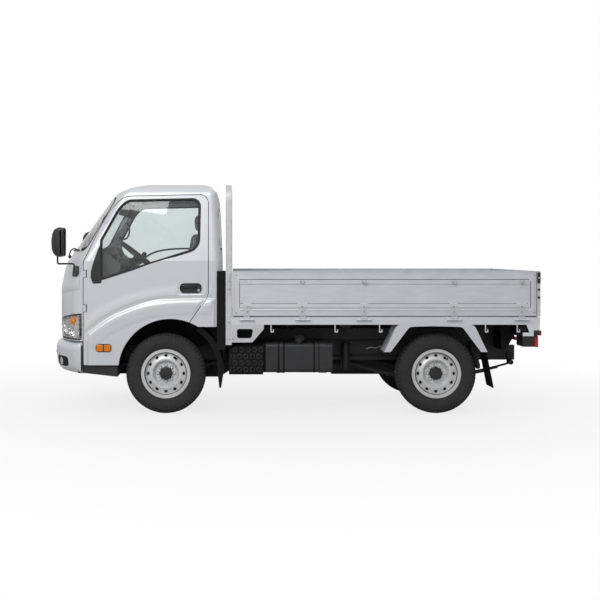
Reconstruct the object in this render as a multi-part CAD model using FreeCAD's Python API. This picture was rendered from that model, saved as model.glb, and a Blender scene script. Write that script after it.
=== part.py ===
"""A small two-seat cab-over truck with a flat drop-side deck.

The origin is on the ground, midway along and across the truck. +X runs to the tail, +Y to the right-hand
side and +Z up. All lengths are in millimetres. "near" is the left-hand side, at negative Y.
"""

import FreeCAD
import Part
import math
import os

V = FreeCAD.Vector
AXIS_X = V(1, 0, 0)
AXIS_Y = V(0, 1, 0)
AXIS_Z = V(0, 0, 1)
NEAR = -1
FAR = 1
SIDES = {"left": NEAR, "right": FAR}

# Whole truck
WHEELBASE = 2300.0
FRONT_OVERHANG = 1002.0
REAR_OVERHANG = 888.0
LENGTH = FRONT_OVERHANG + WHEELBASE + REAR_OVERHANG
FRONT_END_X = -LENGTH / 2
REAR_END_X = LENGTH / 2
FRONT_AXLE_X = FRONT_END_X + FRONT_OVERHANG
REAR_AXLE_X = FRONT_AXLE_X + WHEELBASE
GAP = 6.0
FIT = 0.3
OVERRUN = 20.0

# Wheels
TYRE_R = 341.0
TYRE_W = 190.0
TREAD_CROWN = 5.0
TYRE_SHOULDER_R = 34.0
BEAD_R = 190.0
FLANGE_R = 209.0
FLANGE_T = 7.0
RIM_W = 146.0
RIM_WALL = 7.0
WELL_R = 166.0
WELL_W = 70.0
DISC_T = 8.0
VENT_RING_R = 152.0
VENT_COUNT = 12
VENT_L = 27.0
VENT_H = 21.0
DISC_RIDGE_R = 121.0
DISC_FACE_R = 88.0
DISC_DISH = 30.0
DISC_SET_IN = 20.0
NUT_RING_R = 68.0
NUT_COUNT = 8
NUT_R = 10.0
NUT_H = 12.0
HUB_R = 50.0
HUB_NOSE = 34.0
HUB_BACK = 45.0
SPINDLE_R = 24.0
SPINDLE_TIP_DEPTH = 10.0
TRACK = 1400.0
WHEEL_Y = TRACK / 2
AXLE_Z = TYRE_R

# Steering knuckles and front axle
KINGPIN_IN = 62.0
KINGPIN_Y = WHEEL_Y - KINGPIN_IN
KINGPIN_R = 14.0
KNUCKLE_EYE_R = 28.0
KNUCKLE_H = 130.0
KNUCKLE_JAW = 24.0
AXLE_END_H = KNUCKLE_H - 2 * KNUCKLE_JAW - 2 * FIT
BEAM_W = 60.0
BEAM_H = 64.0
BEAM_WEB = 16.0
BEAM_FLANGE = 14.0
BEAM_DROP = 30.0
BACKPLATE_R = 135.0
BACKPLATE_T = 6.0

# Ladder frame
RAIL_Y = 350.0
RAIL_W = 60.0
RAIL_H = 130.0
RAIL_T = 7.0
RAIL_BOTTOM_Z = 420.0
RAIL_TOP_Z = RAIL_BOTTOM_Z + RAIL_H
FRAME_FRONT_X = FRONT_END_X + 150.0
FRAME_REAR_X = REAR_END_X - 120.0
CROSS_R = 30.0
CROSS_WALL = 5.0
CROSS_SHARES = ((0.03, 0.5), (0.14, 0.5), (0.50, 0.28), (0.70, 0.72), (0.88, 0.5), (0.97, 0.5))

# Springs
SPRING_Y = 395.0
SPRING_W = 60.0
LEAF_T = 9.0
FRONT_SPRING_HALF = 540.0
REAR_SPRING_HALF = 720.0
FRONT_LEAVES = 3
REAR_LEAVES = 5
LEAF_SHRINK = 0.16
SPRING_EYE_R = 22.0
FRONT_SPRING_RISE = 60.0
REAR_SPRING_RISE = 110.0

# Rear axle
REAR_TUBE_R = 46.0
DIFF_R = 150.0
DIFF_W = 210.0
DIFF_NOSE_R = 62.0
DIFF_NOSE_L = 260.0
DRUM_R = 130.0
DRUM_W = 60.0

# Driveline and engine
SHAFT_R = 35.0
SHAFT_YOKE_R = 48.0
SHAFT_YOKE_L = 50.0
ENGINE_L = 620.0
ENGINE_W = 460.0
ENGINE_H = 330.0
ENGINE_TOP_Z = 790.0
GEARBOX_L = 560.0
GEARBOX_R = 130.0
GEARBOX_END_R = 62.0

# Cab
CAB_HALF_W = 835.0
CAB_WALL = 45.0
CAB_BASE_Z = 420.0
BELT_Z = 1300.0
ROOF_EDGE_Z = 1850.0
ROOF_RISE = 105.0
NOSE_X = FRONT_END_X + 50.0
NOSE_TUCK = 60.0
NOSE_HEIGHT_SHARES = (0.0, 0.22, 0.5, 0.75, 0.9, 1.0)
NOSE_TUCK_SHARES = (0.5, 0.12, 0.0, 0.12, 0.5, 1.0)
SCREEN_RUN = 405.0
CAB_BACK_X = -625.0
CAB_BACK_LEAN = 28.0
TUMBLEHOME = 67.0
FRONT_FLAT_SHARE = 0.62
SHOULDER_DEPTH = 190.0
SHOULDER_DEPTH_TOP = 110.0
CROWN_R = 900.0
CORNER_R = 110.0
CORNER_R_TOP = 62.0
BACK_CORNER_R = 60.0
ROOF_STEPS = 6
ROOF_FRONT_SLOPE = 80.0
ROOF_FRONT_ROUND = 170.0
ROOF_SIDE_ROUND = 170.0
ROOF_REAR_ROUND = 130.0
PANEL_BOTTOM_Z = 744.0

# Doors
DOOR_FRONT_X = NOSE_X + 261.0
DOOR_REAR_X = -733.0
DOOR_TOP_Z = 1864.0
DOOR_L = DOOR_REAR_X - DOOR_FRONT_X
DOOR_H = DOOR_TOP_Z - CAB_BASE_Z
HINGE_R = 14.0
HINGE_PIN_R = 6.0
HINGE_PIN_BITE = 30.0
HINGE_LUG_H = 56.0
HINGE_LUG_T = 16.0
HINGE_NOTCH_R = 21.0
DOOR_HINGE_ZS = (900.0, 1190.0)
DOOR_OUTLINE_SHARES = (
    (0.0, 0.0, 0.01),
    (0.0, 0.604, 0.04),
    (0.177, 0.884, 0.42),
    (0.318, 0.988, 0.15),
    (1.0, 1.0, 0.07),
    (1.0, 0.409, 0.08),
    (0.79, 0.19, 0.02),
    (0.4, 0.0, 0.02),
)
WINDOW_SHARES = (
    (0.137, 0.499, 0.01),
    (0.137, 0.731, 0.03),
    (0.283, 0.925, 0.23),
    (0.354, 0.966, 0.10),
    (0.936, 0.975, 0.06),
    (0.929, 0.682, 0.11),
)
GLASS_T = 6.0
GLASS_INSET = 9.0
ARCH_X = FRONT_AXLE_X + 43.0
ARCH_Z = 370.0
ARCH_R = 441.0
FLARE_T = 12.0
FLARE_CHAMFER = 16.0
FLARE_FRONT_X = DOOR_FRONT_X + 30.0
FLARE_FRONT_Z = 690.0
FLARE_CREST_Z = 984.0

# Windscreen and rear window
SCREEN_BOTTOM_Z = 1385.0
SCREEN_TOP_Z = 1838.0
SCREEN_HALF_BOTTOM = 770.0
SCREEN_HALF_TOP = 640.0
SCREEN_CORNER_R = 60.0
REAR_WINDOW_HALF = 560.0
REAR_WINDOW_BOTTOM_Z = 1400.0
REAR_WINDOW_TOP_Z = 1760.0
REAR_WINDOW_R = 60.0

# Nose, lamps, grille and bumper
NOSE_BOTTOM_Z = 622.0
LAMP_IN_Y = 470.0
LAMP_OUT_X = DOOR_FRONT_X - 14.0
LAMP_BOTTOM_Z = 634.0
LAMP_TOP_IN_Z = 800.0
LAMP_TOP_OUT_Z = 858.0
LAMP_DEPTH = 60.0
LAMP_CORNER_R = 24.0
GRILLE_HALF = 400.0
GRILLE_BOTTOM_Z = 690.0
GRILLE_TOP_Z = 800.0
GRILLE_BARS = 3
GRILLE_BAR_H = 14.0
GRILLE_R = 18.0
BUMPER_BOTTOM_Z = 352.0
BUMPER_TOP_Z = 612.0
BUMPER_T = 10.0
BUMPER_HEIGHT_SHARES = (0.0, 0.2, 0.6, 0.9, 1.0)
BUMPER_TUCK_SHARES = (1.0, 0.25, 0.0, 0.25, 1.0)
BUMPER_TUCK = 50.0
BUMPER_HALF_W = 843.0
BUMPER_REAR_X = DOOR_FRONT_X - 10.0
INTAKE_HALF = 430.0
INTAKE_BOTTOM_Z = 405.0
INTAKE_TOP_Z = 500.0
BUMPER_ARM_W = 60.0

# Cab floor, steps and arch liners
FLOOR_Z = 575.0
FLOOR_T = 25.0
SEAT_DECK_T = 26.0
LINER_T = 8.0
SEAT_DECK_Z = ARCH_Z + ARCH_R + LINER_T
RISER_X = ARCH_X - ARCH_R
STEP_DROP = 94.0
STEP_RISE = 32.0
STEP_IN_Y = 600.0
STEP_T = 22.0
LINER_IN_Y = 432.0
LINER_FRONT_DEG = 178.0
LINER_REAR_DEG = -4.0
FLAP_T = 8.0
FRONT_FLAP_L = 117.0
FRONT_FLAP_LEAN = -20.0
LIP_W = 42.0
LIP_T = 12.0
LIP_TOP_DEG = 57.0
WALL_BOTTOM_Z = 560.0

# Cab inside
SEAT_W = 560.0
SEAT_L = 480.0
SEAT_T = 120.0
SEAT_BACK_T = 130.0
SEAT_BACK_H = 640.0
SEAT_BACK_LEAN = 90.0
SEAT_Y = 430.0
SEAT_R = 36.0
SEAT_STAND_OFF = 45.0
HEADREST_W = 260.0
HEADREST_H = 160.0
DASH_TOP_Z = 1365.0
DASH_BOTTOM_Z = 900.0
DASH_DEPTH = 330.0
DASH_END_GAP = 75.0
STEER_R = 205.0
STEER_RIM_R = 15.0
STEER_TILT_DEG = 38.0
STEER_X = -1342.0
STEER_Z = 1332.0
STEER_Y = -430.0
STEER_HUB_R = 48.0
STEER_HUB_T = 40.0
COLUMN_R = 26.0

# Mirrors
MIRROR_H = 250.0
MIRROR_W = 175.0
MIRROR_DEPTH = 103.0
MIRROR_R = 40.0
MIRROR_X = NOSE_X + 59.0
MIRROR_Y = 940.0
MIRROR_Z = 1458.0
MIRROR_TUBE_R = 9.0
MIRROR_BASE_X = NOSE_X + 184.0
MIRROR_BASE_Z = 1213.0
MIRROR_BASE_H = 95.0
MIRROR_BASE_W = 71.0
MIRROR_ARM_Z = 1277.0

# Deck
DECK_HALF_W = 845.0
DECK_FRONT_X = -583.0
HEADBOARD_T = 50.0
DECK_TOP_Z = 824.0
SIDE_RAIL_H = 62.0
SIDE_RAIL_T = 40.0
DECK_FLOOR_T = 28.0
SIDE_GATE_X = DECK_FRONT_X + HEADBOARD_T + GAP
GATE_T = 30.0
HINGE_AXIS_OUT = 14.0
KNUCKLE_R = 9.0
TAIL_GATE_X = REAR_END_X - KNUCKLE_R - HINGE_AXIS_OUT - GATE_T
DECK_REAR_X = TAIL_GATE_X - 4.0
BEARER_H = 100.0
BEARER_W = 50.0
BEARER_TIP_H = 30.0
BEARER_TAPER = 60.0
BEARER_COUNT = 6
SILL_W = 60.0
SILL_H = DECK_TOP_Z - DECK_FLOOR_T - BEARER_H - RAIL_TOP_Z

# Gates and their hinges
GATE_BOTTOM_Z = 830.0
GATE_TOP_Z = 1214.0
GATE_H = GATE_TOP_Z - GATE_BOTTOM_Z
GATE_L = TAIL_GATE_X - GAP - SIDE_GATE_X
GATE_TOP_RAIL = 68.0
GATE_LOW_RAIL = 70.0
GATE_STILE = 58.0
GATE_PANEL_IN = 11.0
GATE_PANEL_T = 12.0
GATE_RIB_H = 45.0
GATE_RIB_OUT = 6.0
HINGE_AXIS_Z = 805.0
GATE_PIN_R = 4.0
STRAP_W = 50.0
STRAP_H = 86.0
STRAP_T = 3.0
EAR_W = 36.0
SIDE_HINGE_SHARES = (0.048, 0.231, 0.433, 0.730, 0.952)
TAIL_HINGE_SHARES = (0.12, 0.5, 0.88)
STAPLE_SHARES = (0.0535, 0.4346, 0.7291, 0.9526)
STAPLE_W = 22.0
STAPLE_H = 28.0
STAPLE_DROP = 83.0
STAPLE_OUT = 7.0
LATCH_T = 9.0
LATCH_W = 30.0
LATCH_H = 95.0
LEVER_W = 20.0
LEVER_H = 178.0
LEVER_T = 14.0
HOOK_SHARES = (0.128, 0.336, 0.480, 0.824, 0.927)
HOOK_R = 5.0
HOOK_DROP = 62.0
HOOK_THROAT = 20.0
HOOK_LIP = 18.0

# Headboard and guard frame
GUARD_TOP_Z = 1946.0
GUARD_TUBE = 50.0
GUARD_CORNER_R = 130.0
GUARD_BAR = 36.0
GUARD_BAR_SHARES = (0.35, 0.68)
GUARD_UPRIGHTS = 4
HEAD_PANEL_T = 20.0
POST_BOTTOM_Z = 591.0
BRACKET_L = 272.0
BRACKET_H = 150.0
BRACKET_T = 6.0
BRACKET_HOLE_L = 140.0
BRACKET_HOLE_H = 78.0
BRACKET_HOLE_R = 20.0

# Tank, battery box, intake and exhaust
TANK_X = -243.0
TANK_L = 564.0
TANK_H = 250.0
TANK_W = 330.0
TANK_BOTTOM_Z = 352.0
TANK_OUT_Y = 800.0
TANK_R = 34.0
STRAP_BAND_W = 62.0
STRAP_BAND_T = 4.0
TANK_STRAP_SHARES = (0.215, 0.86)
FILLER_SHARE = 0.5
FILLER_R = 36.0
FILLER_CAP_T = 26.0
BOX_X = -556.0
BOX_L = 290.0
BOX_H = 250.0
BOX_W = 300.0
BOX_BOTTOM_Z = 334.0
BOX_OUT_Y = 790.0
BOX_R = 22.0
BOX_RIBS = 5
BOX_RIB_T = 6.0
DUCT_WRAP = 33.0
DUCT_TOP_Z = 1214.0
DUCT_OUT_Y = 833.0
DUCT_IN_Y = 600.0
MUFFLER_R = 85.0
MUFFLER_L = 560.0
MUFFLER_X = 385.0
MUFFLER_Y = 175.0
MUFFLER_Z = 322.0
HANGER_W = 56.0
PIPE_R = 24.0

# Rear mudguards, flaps and lamps
GUARD_OUT_Y = DECK_HALF_W + 9.0
FENDER_T = 6.0
FENDER_IN_Y = 590.0
FENDER_FRONT_X = REAR_AXLE_X - 454.0
FENDER_REAR_X = REAR_AXLE_X + 417.0
FENDER_LEG_Z = 532.0
FENDER_SHOULDER_Z = 750.0
FENDER_CREST_Z = 804.0
FENDER_SHOULDER_IN = 110.0
FENDER_CREST_X = REAR_AXLE_X - 57.0
FENDER_LEG_W = 54.0
FENDER_TOP_W = 104.0
REAR_FLAP_L = 305.0
REAR_FLAP_LEAN = 62.0
LAMP_BAR_X = REAR_END_X - 171.0
TAIL_LAMP_W = 210.0
TAIL_LAMP_H = 92.0
TAIL_LAMP_D = 129.0
TAIL_LAMP_Z = 573.0
TAIL_LAMP_Y = 620.0
TAIL_LAMP_R = 10.0
LAMP_PLATE_IN = 30.0
LAMP_PLATE_SHARES = ((0.0, 0.0), (1.0, 0.0), (0.96, 0.62), (0.64, 1.0), (0.33, 1.0))
MARKER_L = 62.0
MARKER_H = 42.0
MARKER_W = 36.0
MARKER_R = 6.0


def plan(points, z):
    """Points (x, y) in a level plane at height z."""
    return [V(x, y, z) for x, y in points]


def side(points, y):
    """Points (x, z) in an upright plane along the truck, at offset y."""
    return [V(x, y, z) for x, z in points]


def front(points, x):
    """Points (y, z) in an upright plane across the truck, at place x."""
    return [V(x, y, z) for y, z in points]


def rounded(points, radii):
    """A closed wire through the points, with each corner rounded to its own radius."""
    count = len(points)
    edges = []
    starts = []
    ends = []
    middles = []
    for i, corner in enumerate(points):
        before = (points[i - 1] - corner).normalize()
        after = (points[(i + 1) % count] - corner).normalize()
        turn = math.pi - before.getAngle(after)
        radius = radii[i]
        if radius <= 0 or turn < 1e-4:
            starts.append(corner)
            ends.append(corner)
            middles.append(None)
            continue
        run = radius * math.tan(turn / 2)
        inward = (before + after).normalize()
        reach = radius / math.cos(turn / 2) - radius
        starts.append(corner + before * run)
        ends.append(corner + after * run)
        middles.append(corner + inward * reach)
    for i in range(count):
        if middles[i] is not None:
            edges.append(Part.Arc(starts[i], middles[i], ends[i]).toShape())
        j = (i + 1) % count
        if (starts[j] - ends[i]).Length > 1e-6:
            edges.append(Part.LineSegment(ends[i], starts[j]).toShape())
    return Part.Wire(edges)


def offset(points, distance):
    """The polygon (list of pairs) with every side moved outward by a distance."""
    count = len(points)
    area = sum(
        points[i - 1][0] * points[i][1] - points[i][0] * points[i - 1][1]
        for i in range(count)
    )
    turn = 1 if area > 0 else -1
    lines = []
    for i in range(count):
        (ax, ay), (bx, by) = points[i - 1], points[i]
        length = math.hypot(bx - ax, by - ay)
        nx, ny = turn * (by - ay) / length, -turn * (bx - ax) / length
        lines.append((nx, ny, nx * ax + ny * ay + distance))
    moved = []
    for i in range(count):
        a1, b1, c1 = lines[i]
        a2, b2, c2 = lines[(i + 1) % count]
        cross = a1 * b2 - a2 * b1
        moved.append(((c1 * b2 - c2 * b1) / cross, (a1 * c2 - a2 * c1) / cross))
    return moved


def prism(wire, direction):
    """A solid made by moving the face inside a closed wire along a direction."""
    return Part.Face(wire).extrude(direction)


def box(x0, y0, z0, x1, y1, z1):
    """A block between two opposite corners."""
    low = V(min(x0, x1), min(y0, y1), min(z0, z1))
    return Part.makeBox(abs(x1 - x0), abs(y1 - y0), abs(z1 - z0), low)


def soft_box(x0, y0, z0, x1, y1, z1, radius):
    """A block with all its edges rounded."""
    block = box(x0, y0, z0, x1, y1, z1)
    return block.makeFillet(radius, block.Edges)


def rod(radius, start, end):
    """A round bar between two points."""
    return Part.makeCylinder(radius, (end - start).Length, start, end - start)


def turned(profile, centre, axis):
    """A solid made by turning a closed profile once round an axis."""
    return Part.Face(profile).revolve(centre, axis, 360)


def mirrored(shape):
    """The same shape on the truck's other side."""
    return shape.mirror(V(0, 0, 0), AXIS_Y)


def both(shape):
    """The shape and its mirror image, as separate solids of one piece."""
    return Part.makeCompound([shape, mirrored(shape)])


def fused(shapes):
    """One solid from several that touch."""
    return shapes[0].multiFuse(shapes[1:]).removeSplitter()


def tyre(x, y):
    """A road tyre with rounded shoulders, its axis along Y through (x, y)."""
    half = TYRE_W / 2
    seat = RIM_W / 2 - FIT
    points = [
        (x, y - seat, AXLE_Z + BEAD_R + FIT),
        (x, y - seat, AXLE_Z + FLANGE_R + FIT),
        (x, y - half, AXLE_Z + (FLANGE_R + TYRE_R) / 2),
        (x, y - half + TREAD_CROWN, AXLE_Z + TYRE_R - TREAD_CROWN),
        (x, y, AXLE_Z + TYRE_R),
        (x, y + half - TREAD_CROWN, AXLE_Z + TYRE_R - TREAD_CROWN),
        (x, y + half, AXLE_Z + (FLANGE_R + TYRE_R) / 2),
        (x, y + seat, AXLE_Z + FLANGE_R + FIT),
        (x, y + seat, AXLE_Z + BEAD_R + FIT),
    ]
    shoulder = TYRE_SHOULDER_R
    radii = [0, 0, shoulder * 1.6, shoulder, 0, shoulder, shoulder * 1.6, 0, 0]
    return turned(rounded([V(*p) for p in points], radii), V(x, y, AXLE_Z), AXIS_Y)


def wheel_disc(x, y, out):
    """The pressed wheel: flanged rim, dished disc, vent holes and nuts. out is the outer side."""
    def at(radius, depth):
        return V(x, y + out * (RIM_W / 2 - depth), AXLE_Z + radius)

    lip = FLANGE_R
    rim = [
        at(BEAD_R, 0),
        at(lip, 0),
        at(lip, -FLANGE_T),
        at(BEAD_R - RIM_WALL, -FLANGE_T),
        at(BEAD_R - RIM_WALL, (RIM_W - WELL_W) / 2 - RIM_WALL),
        at(WELL_R - RIM_WALL, (RIM_W - WELL_W) / 2),
        at(WELL_R - RIM_WALL, (RIM_W + WELL_W) / 2),
        at(BEAD_R - RIM_WALL, (RIM_W + WELL_W) / 2 + RIM_WALL),
        at(BEAD_R - RIM_WALL, RIM_W + FLANGE_T),
        at(lip, RIM_W + FLANGE_T),
        at(lip, RIM_W),
        at(BEAD_R, RIM_W),
        at(BEAD_R, (RIM_W + WELL_W) / 2 + RIM_WALL),
        at(WELL_R, (RIM_W + WELL_W) / 2),
        at(WELL_R, (RIM_W - WELL_W) / 2),
        at(BEAD_R, (RIM_W - WELL_W) / 2 - RIM_WALL),
    ]
    body = turned(Part.makePolygon(rim + rim[:1]), V(x, y, AXLE_Z), AXIS_Y)
    front_line = [
        (0.0, DISC_SET_IN + DISC_DISH),
        (DISC_FACE_R, DISC_SET_IN + DISC_DISH),
        (DISC_RIDGE_R - RIM_WALL, DISC_SET_IN - RIM_WALL / 2),
        (DISC_RIDGE_R + RIM_WALL, DISC_SET_IN - RIM_WALL / 2),
        (VENT_RING_R, DISC_SET_IN + RIM_WALL),
        (BEAD_R - RIM_WALL, DISC_SET_IN + 2 * RIM_WALL),
    ]
    outer = [at(r, d) for r, d in front_line]
    inner = [at(r, d + DISC_T) for r, d in reversed(front_line)]
    disc = turned(Part.makePolygon(outer + inner + outer[:1]), V(x, y, AXLE_Z), AXIS_Y)
    for i in range(VENT_COUNT):
        hole = box(
            x - VENT_L / 2, y + out * RIM_W / 2, AXLE_Z + VENT_RING_R - VENT_H / 2,
            x + VENT_L / 2, y, AXLE_Z + VENT_RING_R + VENT_H / 2,
        )
        upright = [e for e in hole.Edges if abs(e.tangentAt(0).y) > 0.9]
        hole = hole.makeFillet(VENT_H * 0.45, upright)
        hole.rotate(V(x, y, AXLE_Z), AXIS_Y, 360 / VENT_COUNT * i)
        disc = disc.cut(hole)
    face_y = y + out * (RIM_W / 2 - DISC_SET_IN - DISC_DISH)
    shapes = [body, disc]
    for i in range(NUT_COUNT):
        angle = 2 * math.pi * i / NUT_COUNT
        seat = V(x + NUT_RING_R * math.sin(angle), face_y - out * DISC_T / 2,
            AXLE_Z + NUT_RING_R * math.cos(angle))
        shapes.append(rod(NUT_R, seat, seat + V(0, out * (NUT_H + DISC_T / 2), 0)))
    nose = V(x, face_y + out * HUB_NOSE, AXLE_Z)
    back = V(x, face_y - out * HUB_BACK, AXLE_Z)
    hub = rod(HUB_R, back, nose)
    rim_edge = [e for e in hub.Edges if abs(e.BoundBox.YMin - nose.y) < 1e-3 and e.BoundBox.YLength < 1e-3]
    hub = hub.makeFillet(HUB_R / 4, rim_edge)
    whole = fused(shapes + [hub])
    bore = rod(SPINDLE_R + FIT, back - V(0, out * OVERRUN, 0),
        V(x, face_y + out * SPINDLE_TIP_DEPTH, AXLE_Z))
    return whole.cut(bore)


def spindle(x, y, out, root_y):
    """The stub shaft that a wheel turns on, from root_y to just inside the hub cap."""
    face_y = y + out * (RIM_W / 2 - DISC_SET_IN - DISC_DISH)
    tip = V(x, face_y + out * (SPINDLE_TIP_DEPTH - FIT), AXLE_Z)
    return rod(SPINDLE_R, V(x, root_y, AXLE_Z), tip)


def knuckle(out):
    """The front steering knuckle: a jaw on the kingpin, a back plate and the wheel's spindle."""
    pin_y = out * KINGPIN_Y
    eye = rod(KNUCKLE_EYE_R, V(FRONT_AXLE_X, pin_y, AXLE_Z - KNUCKLE_H / 2),
        V(FRONT_AXLE_X, pin_y, AXLE_Z + KNUCKLE_H / 2))
    plate_y = out * (KINGPIN_Y + KNUCKLE_EYE_R)
    web = box(
        FRONT_AXLE_X - KNUCKLE_EYE_R, pin_y, AXLE_Z - KNUCKLE_H / 2,
        FRONT_AXLE_X + KNUCKLE_EYE_R, plate_y + out * BACKPLATE_T, AXLE_Z + KNUCKLE_H / 2,
    )
    plate = rod(BACKPLATE_R, V(FRONT_AXLE_X, plate_y, AXLE_Z),
        V(FRONT_AXLE_X, plate_y + out * BACKPLATE_T, AXLE_Z))
    whole = fused([eye, web, plate, spindle(FRONT_AXLE_X, out * WHEEL_Y, out, plate_y)])
    gap = AXLE_END_H / 2 + FIT
    slot = box(
        FRONT_AXLE_X - KNUCKLE_EYE_R * 2, pin_y - out * KNUCKLE_EYE_R * 2, AXLE_Z - gap,
        FRONT_AXLE_X + KNUCKLE_EYE_R * 2, plate_y - out * FIT, AXLE_Z + gap,
    )
    bore = rod(KINGPIN_R + FIT, V(FRONT_AXLE_X, pin_y, AXLE_Z - KNUCKLE_H),
        V(FRONT_AXLE_X, pin_y, AXLE_Z + KNUCKLE_H))
    return whole.cut(slot).cut(bore)


def front_axle():
    """The dropped I-beam with its kingpins."""
    def beam_section(y, z):
        half = BEAM_W / 2
        web = BEAM_WEB / 2
        rise = BEAM_H / 2
        inner = rise - BEAM_FLANGE
        pairs = [
            (-half, rise), (half, rise), (half, inner), (web, inner), (web, -inner), (half, -inner),
            (half, -rise), (-half, -rise), (-half, -inner), (-web, -inner), (-web, inner),
            (-half, inner),
        ]
        points = [V(FRONT_AXLE_X + px, y, z + pz) for px, pz in pairs]
        return Part.makePolygon(points + points[:1])

    low = AXLE_Z - BEAM_DROP
    flat = SPRING_Y + SPRING_W / 2
    rise_y = KINGPIN_Y - KNUCKLE_EYE_R
    middle = prism(beam_section(-flat, low), V(0, 2 * flat, 0))
    shapes = [middle]
    for out in SIDES.values():
        sections = [beam_section(out * flat, low), beam_section(out * rise_y, AXLE_Z)]
        shapes.append(Part.makeLoft(sections, True, True))
        centre = V(FRONT_AXLE_X, out * KINGPIN_Y, AXLE_Z)
        lift = V(0, 0, AXLE_END_H / 2)
        shapes.append(rod(KNUCKLE_EYE_R - FIT, centre - lift, centre + lift))
        reach = V(0, 0, KNUCKLE_H / 2)
        shapes.append(rod(KINGPIN_R, centre - reach, centre + reach))
        shapes.append(box(
            FRONT_AXLE_X - BEAM_WEB, out * (rise_y - BEAM_FLANGE), AXLE_Z - BEAM_H / 2,
            FRONT_AXLE_X + BEAM_WEB, out * KINGPIN_Y, AXLE_Z + BEAM_H / 2,
        ))
    return fused(shapes)


def rear_axle():
    """The rear axle: banjo casing, tubes, brake drums and the wheels' spindles."""
    centre = V(REAR_AXLE_X, 0, AXLE_Z)
    across = V(0, WHEEL_Y, 0)
    drum_y = WHEEL_Y - RIM_W / 2 - DRUM_W / 2
    shapes = [rod(REAR_TUBE_R, centre - V(0, drum_y, 0), centre + V(0, drum_y, 0))]
    casing = Part.makeSphere(DIFF_R, centre)
    shapes.append(casing.common(box(
        REAR_AXLE_X - DIFF_R, -DIFF_W / 2, AXLE_Z - DIFF_R,
        REAR_AXLE_X + DIFF_R, DIFF_W / 2, AXLE_Z + DIFF_R,
    )))
    shapes.append(rod(DIFF_NOSE_R, centre, centre - V(DIFF_NOSE_L, 0, 0)))
    for out in SIDES.values():
        root = V(REAR_AXLE_X, out * drum_y, AXLE_Z)
        shapes.append(rod(DRUM_R, root - V(0, out * DRUM_W / 2, 0), root + V(0, out * DRUM_W / 2, 0)))
        shapes.append(spindle(REAR_AXLE_X, out * WHEEL_Y, out, root.y))
    return fused(shapes)


def spring(axle_x, half, leaves, seat_z, eye_z):
    """A half-elliptic leaf pack on the near side, with its eyes, hangers and shackle."""
    y0 = -SPRING_Y - SPRING_W / 2
    shapes = []
    for i in range(leaves):
        reach = half * (1 - LEAF_SHRINK * i)
        drop = LEAF_T * i
        lift = (eye_z - seat_z) * (reach / half) ** 2
        top = Part.Arc(
            V(axle_x - reach, y0, seat_z + lift - drop),
            V(axle_x, y0, seat_z - drop),
            V(axle_x + reach, y0, seat_z + lift - drop),
        ).toShape()
        under = Part.Arc(
            V(axle_x + reach, y0, seat_z + lift - drop - LEAF_T),
            V(axle_x, y0, seat_z - drop - LEAF_T),
            V(axle_x - reach, y0, seat_z + lift - drop - LEAF_T),
        ).toShape()
        ends = [
            Part.LineSegment(top.Vertexes[-1].Point, under.Vertexes[0].Point).toShape(),
            Part.LineSegment(under.Vertexes[-1].Point, top.Vertexes[0].Point).toShape(),
        ]
        shapes.append(prism(Part.Wire([top, ends[0], under, ends[1]]), V(0, SPRING_W, 0)))
    for end in (-1, 1):
        x = axle_x + end * half
        shapes.append(rod(SPRING_EYE_R, V(x, y0, eye_z), V(x, y0 + SPRING_W, eye_z)))
        hanger_top = RAIL_BOTTOM_Z + RAIL_H / 2
        inner_y = y0 + SPRING_W
        shapes.append(box(
            x - SPRING_EYE_R, inner_y, eye_z - SPRING_EYE_R,
            x + SPRING_EYE_R, -RAIL_Y - FIT, hanger_top,
        ))
    return fused(shapes)


def leaf_springs():
    """The four leaf packs."""
    front_seat = AXLE_Z - BEAM_DROP + BEAM_H / 2 + LEAF_T * FRONT_LEAVES
    rear_seat = AXLE_Z - REAR_TUBE_R
    front_pack = spring(FRONT_AXLE_X, FRONT_SPRING_HALF, FRONT_LEAVES, front_seat,
        front_seat + FRONT_SPRING_RISE)
    rear_pack = spring(REAR_AXLE_X, REAR_SPRING_HALF, REAR_LEAVES, rear_seat,
        rear_seat + REAR_SPRING_RISE)
    return Part.makeCompound([front_pack, mirrored(front_pack), rear_pack, mirrored(rear_pack)])


def channel(x0, x1):
    """One C-section frame rail on the near side, open towards the middle."""
    outer = box(x0, -RAIL_Y, RAIL_BOTTOM_Z, x1, -RAIL_Y + RAIL_W, RAIL_TOP_Z)
    hollow = box(
        x0 - OVERRUN, -RAIL_Y + RAIL_T, RAIL_BOTTOM_Z + RAIL_T,
        x1 + OVERRUN, -RAIL_Y + RAIL_W + OVERRUN, RAIL_TOP_Z - RAIL_T,
    )
    return outer.cut(hollow)


def ladder_frame():
    """The two rails, their cross-members, the cab mounts and the brackets that carry what hangs outside."""
    rail = channel(FRAME_FRONT_X, FRAME_REAR_X)
    shapes = [rail, mirrored(rail)]
    length = FRAME_REAR_X - FRAME_FRONT_X
    inner = RAIL_Y - RAIL_T / 2
    for share, height_share in CROSS_SHARES:
        x = FRAME_FRONT_X + share * length
        z = RAIL_BOTTOM_Z + height_share * RAIL_H
        tube = rod(CROSS_R, V(x, -inner, z), V(x, inner, z))
        bore = rod(CROSS_R - CROSS_WALL, V(x, -inner, z), V(x, inner, z))
        shapes.append(tube.cut(bore))
    return fused(shapes)


def cab_section(z, front_x, rear_x, half, shoulder, corner_r, inset):
    """A level cut through the cab: a crowned front, rounded corners and straight sides."""
    x0 = front_x + inset
    x1 = rear_x - inset
    w = half - inset
    flat = half * FRONT_FLAT_SHARE - inset / 2
    pairs = [(x0, -flat), (x0, flat), (x0 + shoulder, w), (x1, w), (x1, -w), (x0 + shoulder, -w)]
    crown = CROWN_R - inset
    corner = corner_r - inset
    back = BACK_CORNER_R - inset
    return rounded(plan(pairs, z), [crown, crown, corner, back, back, corner])


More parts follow.
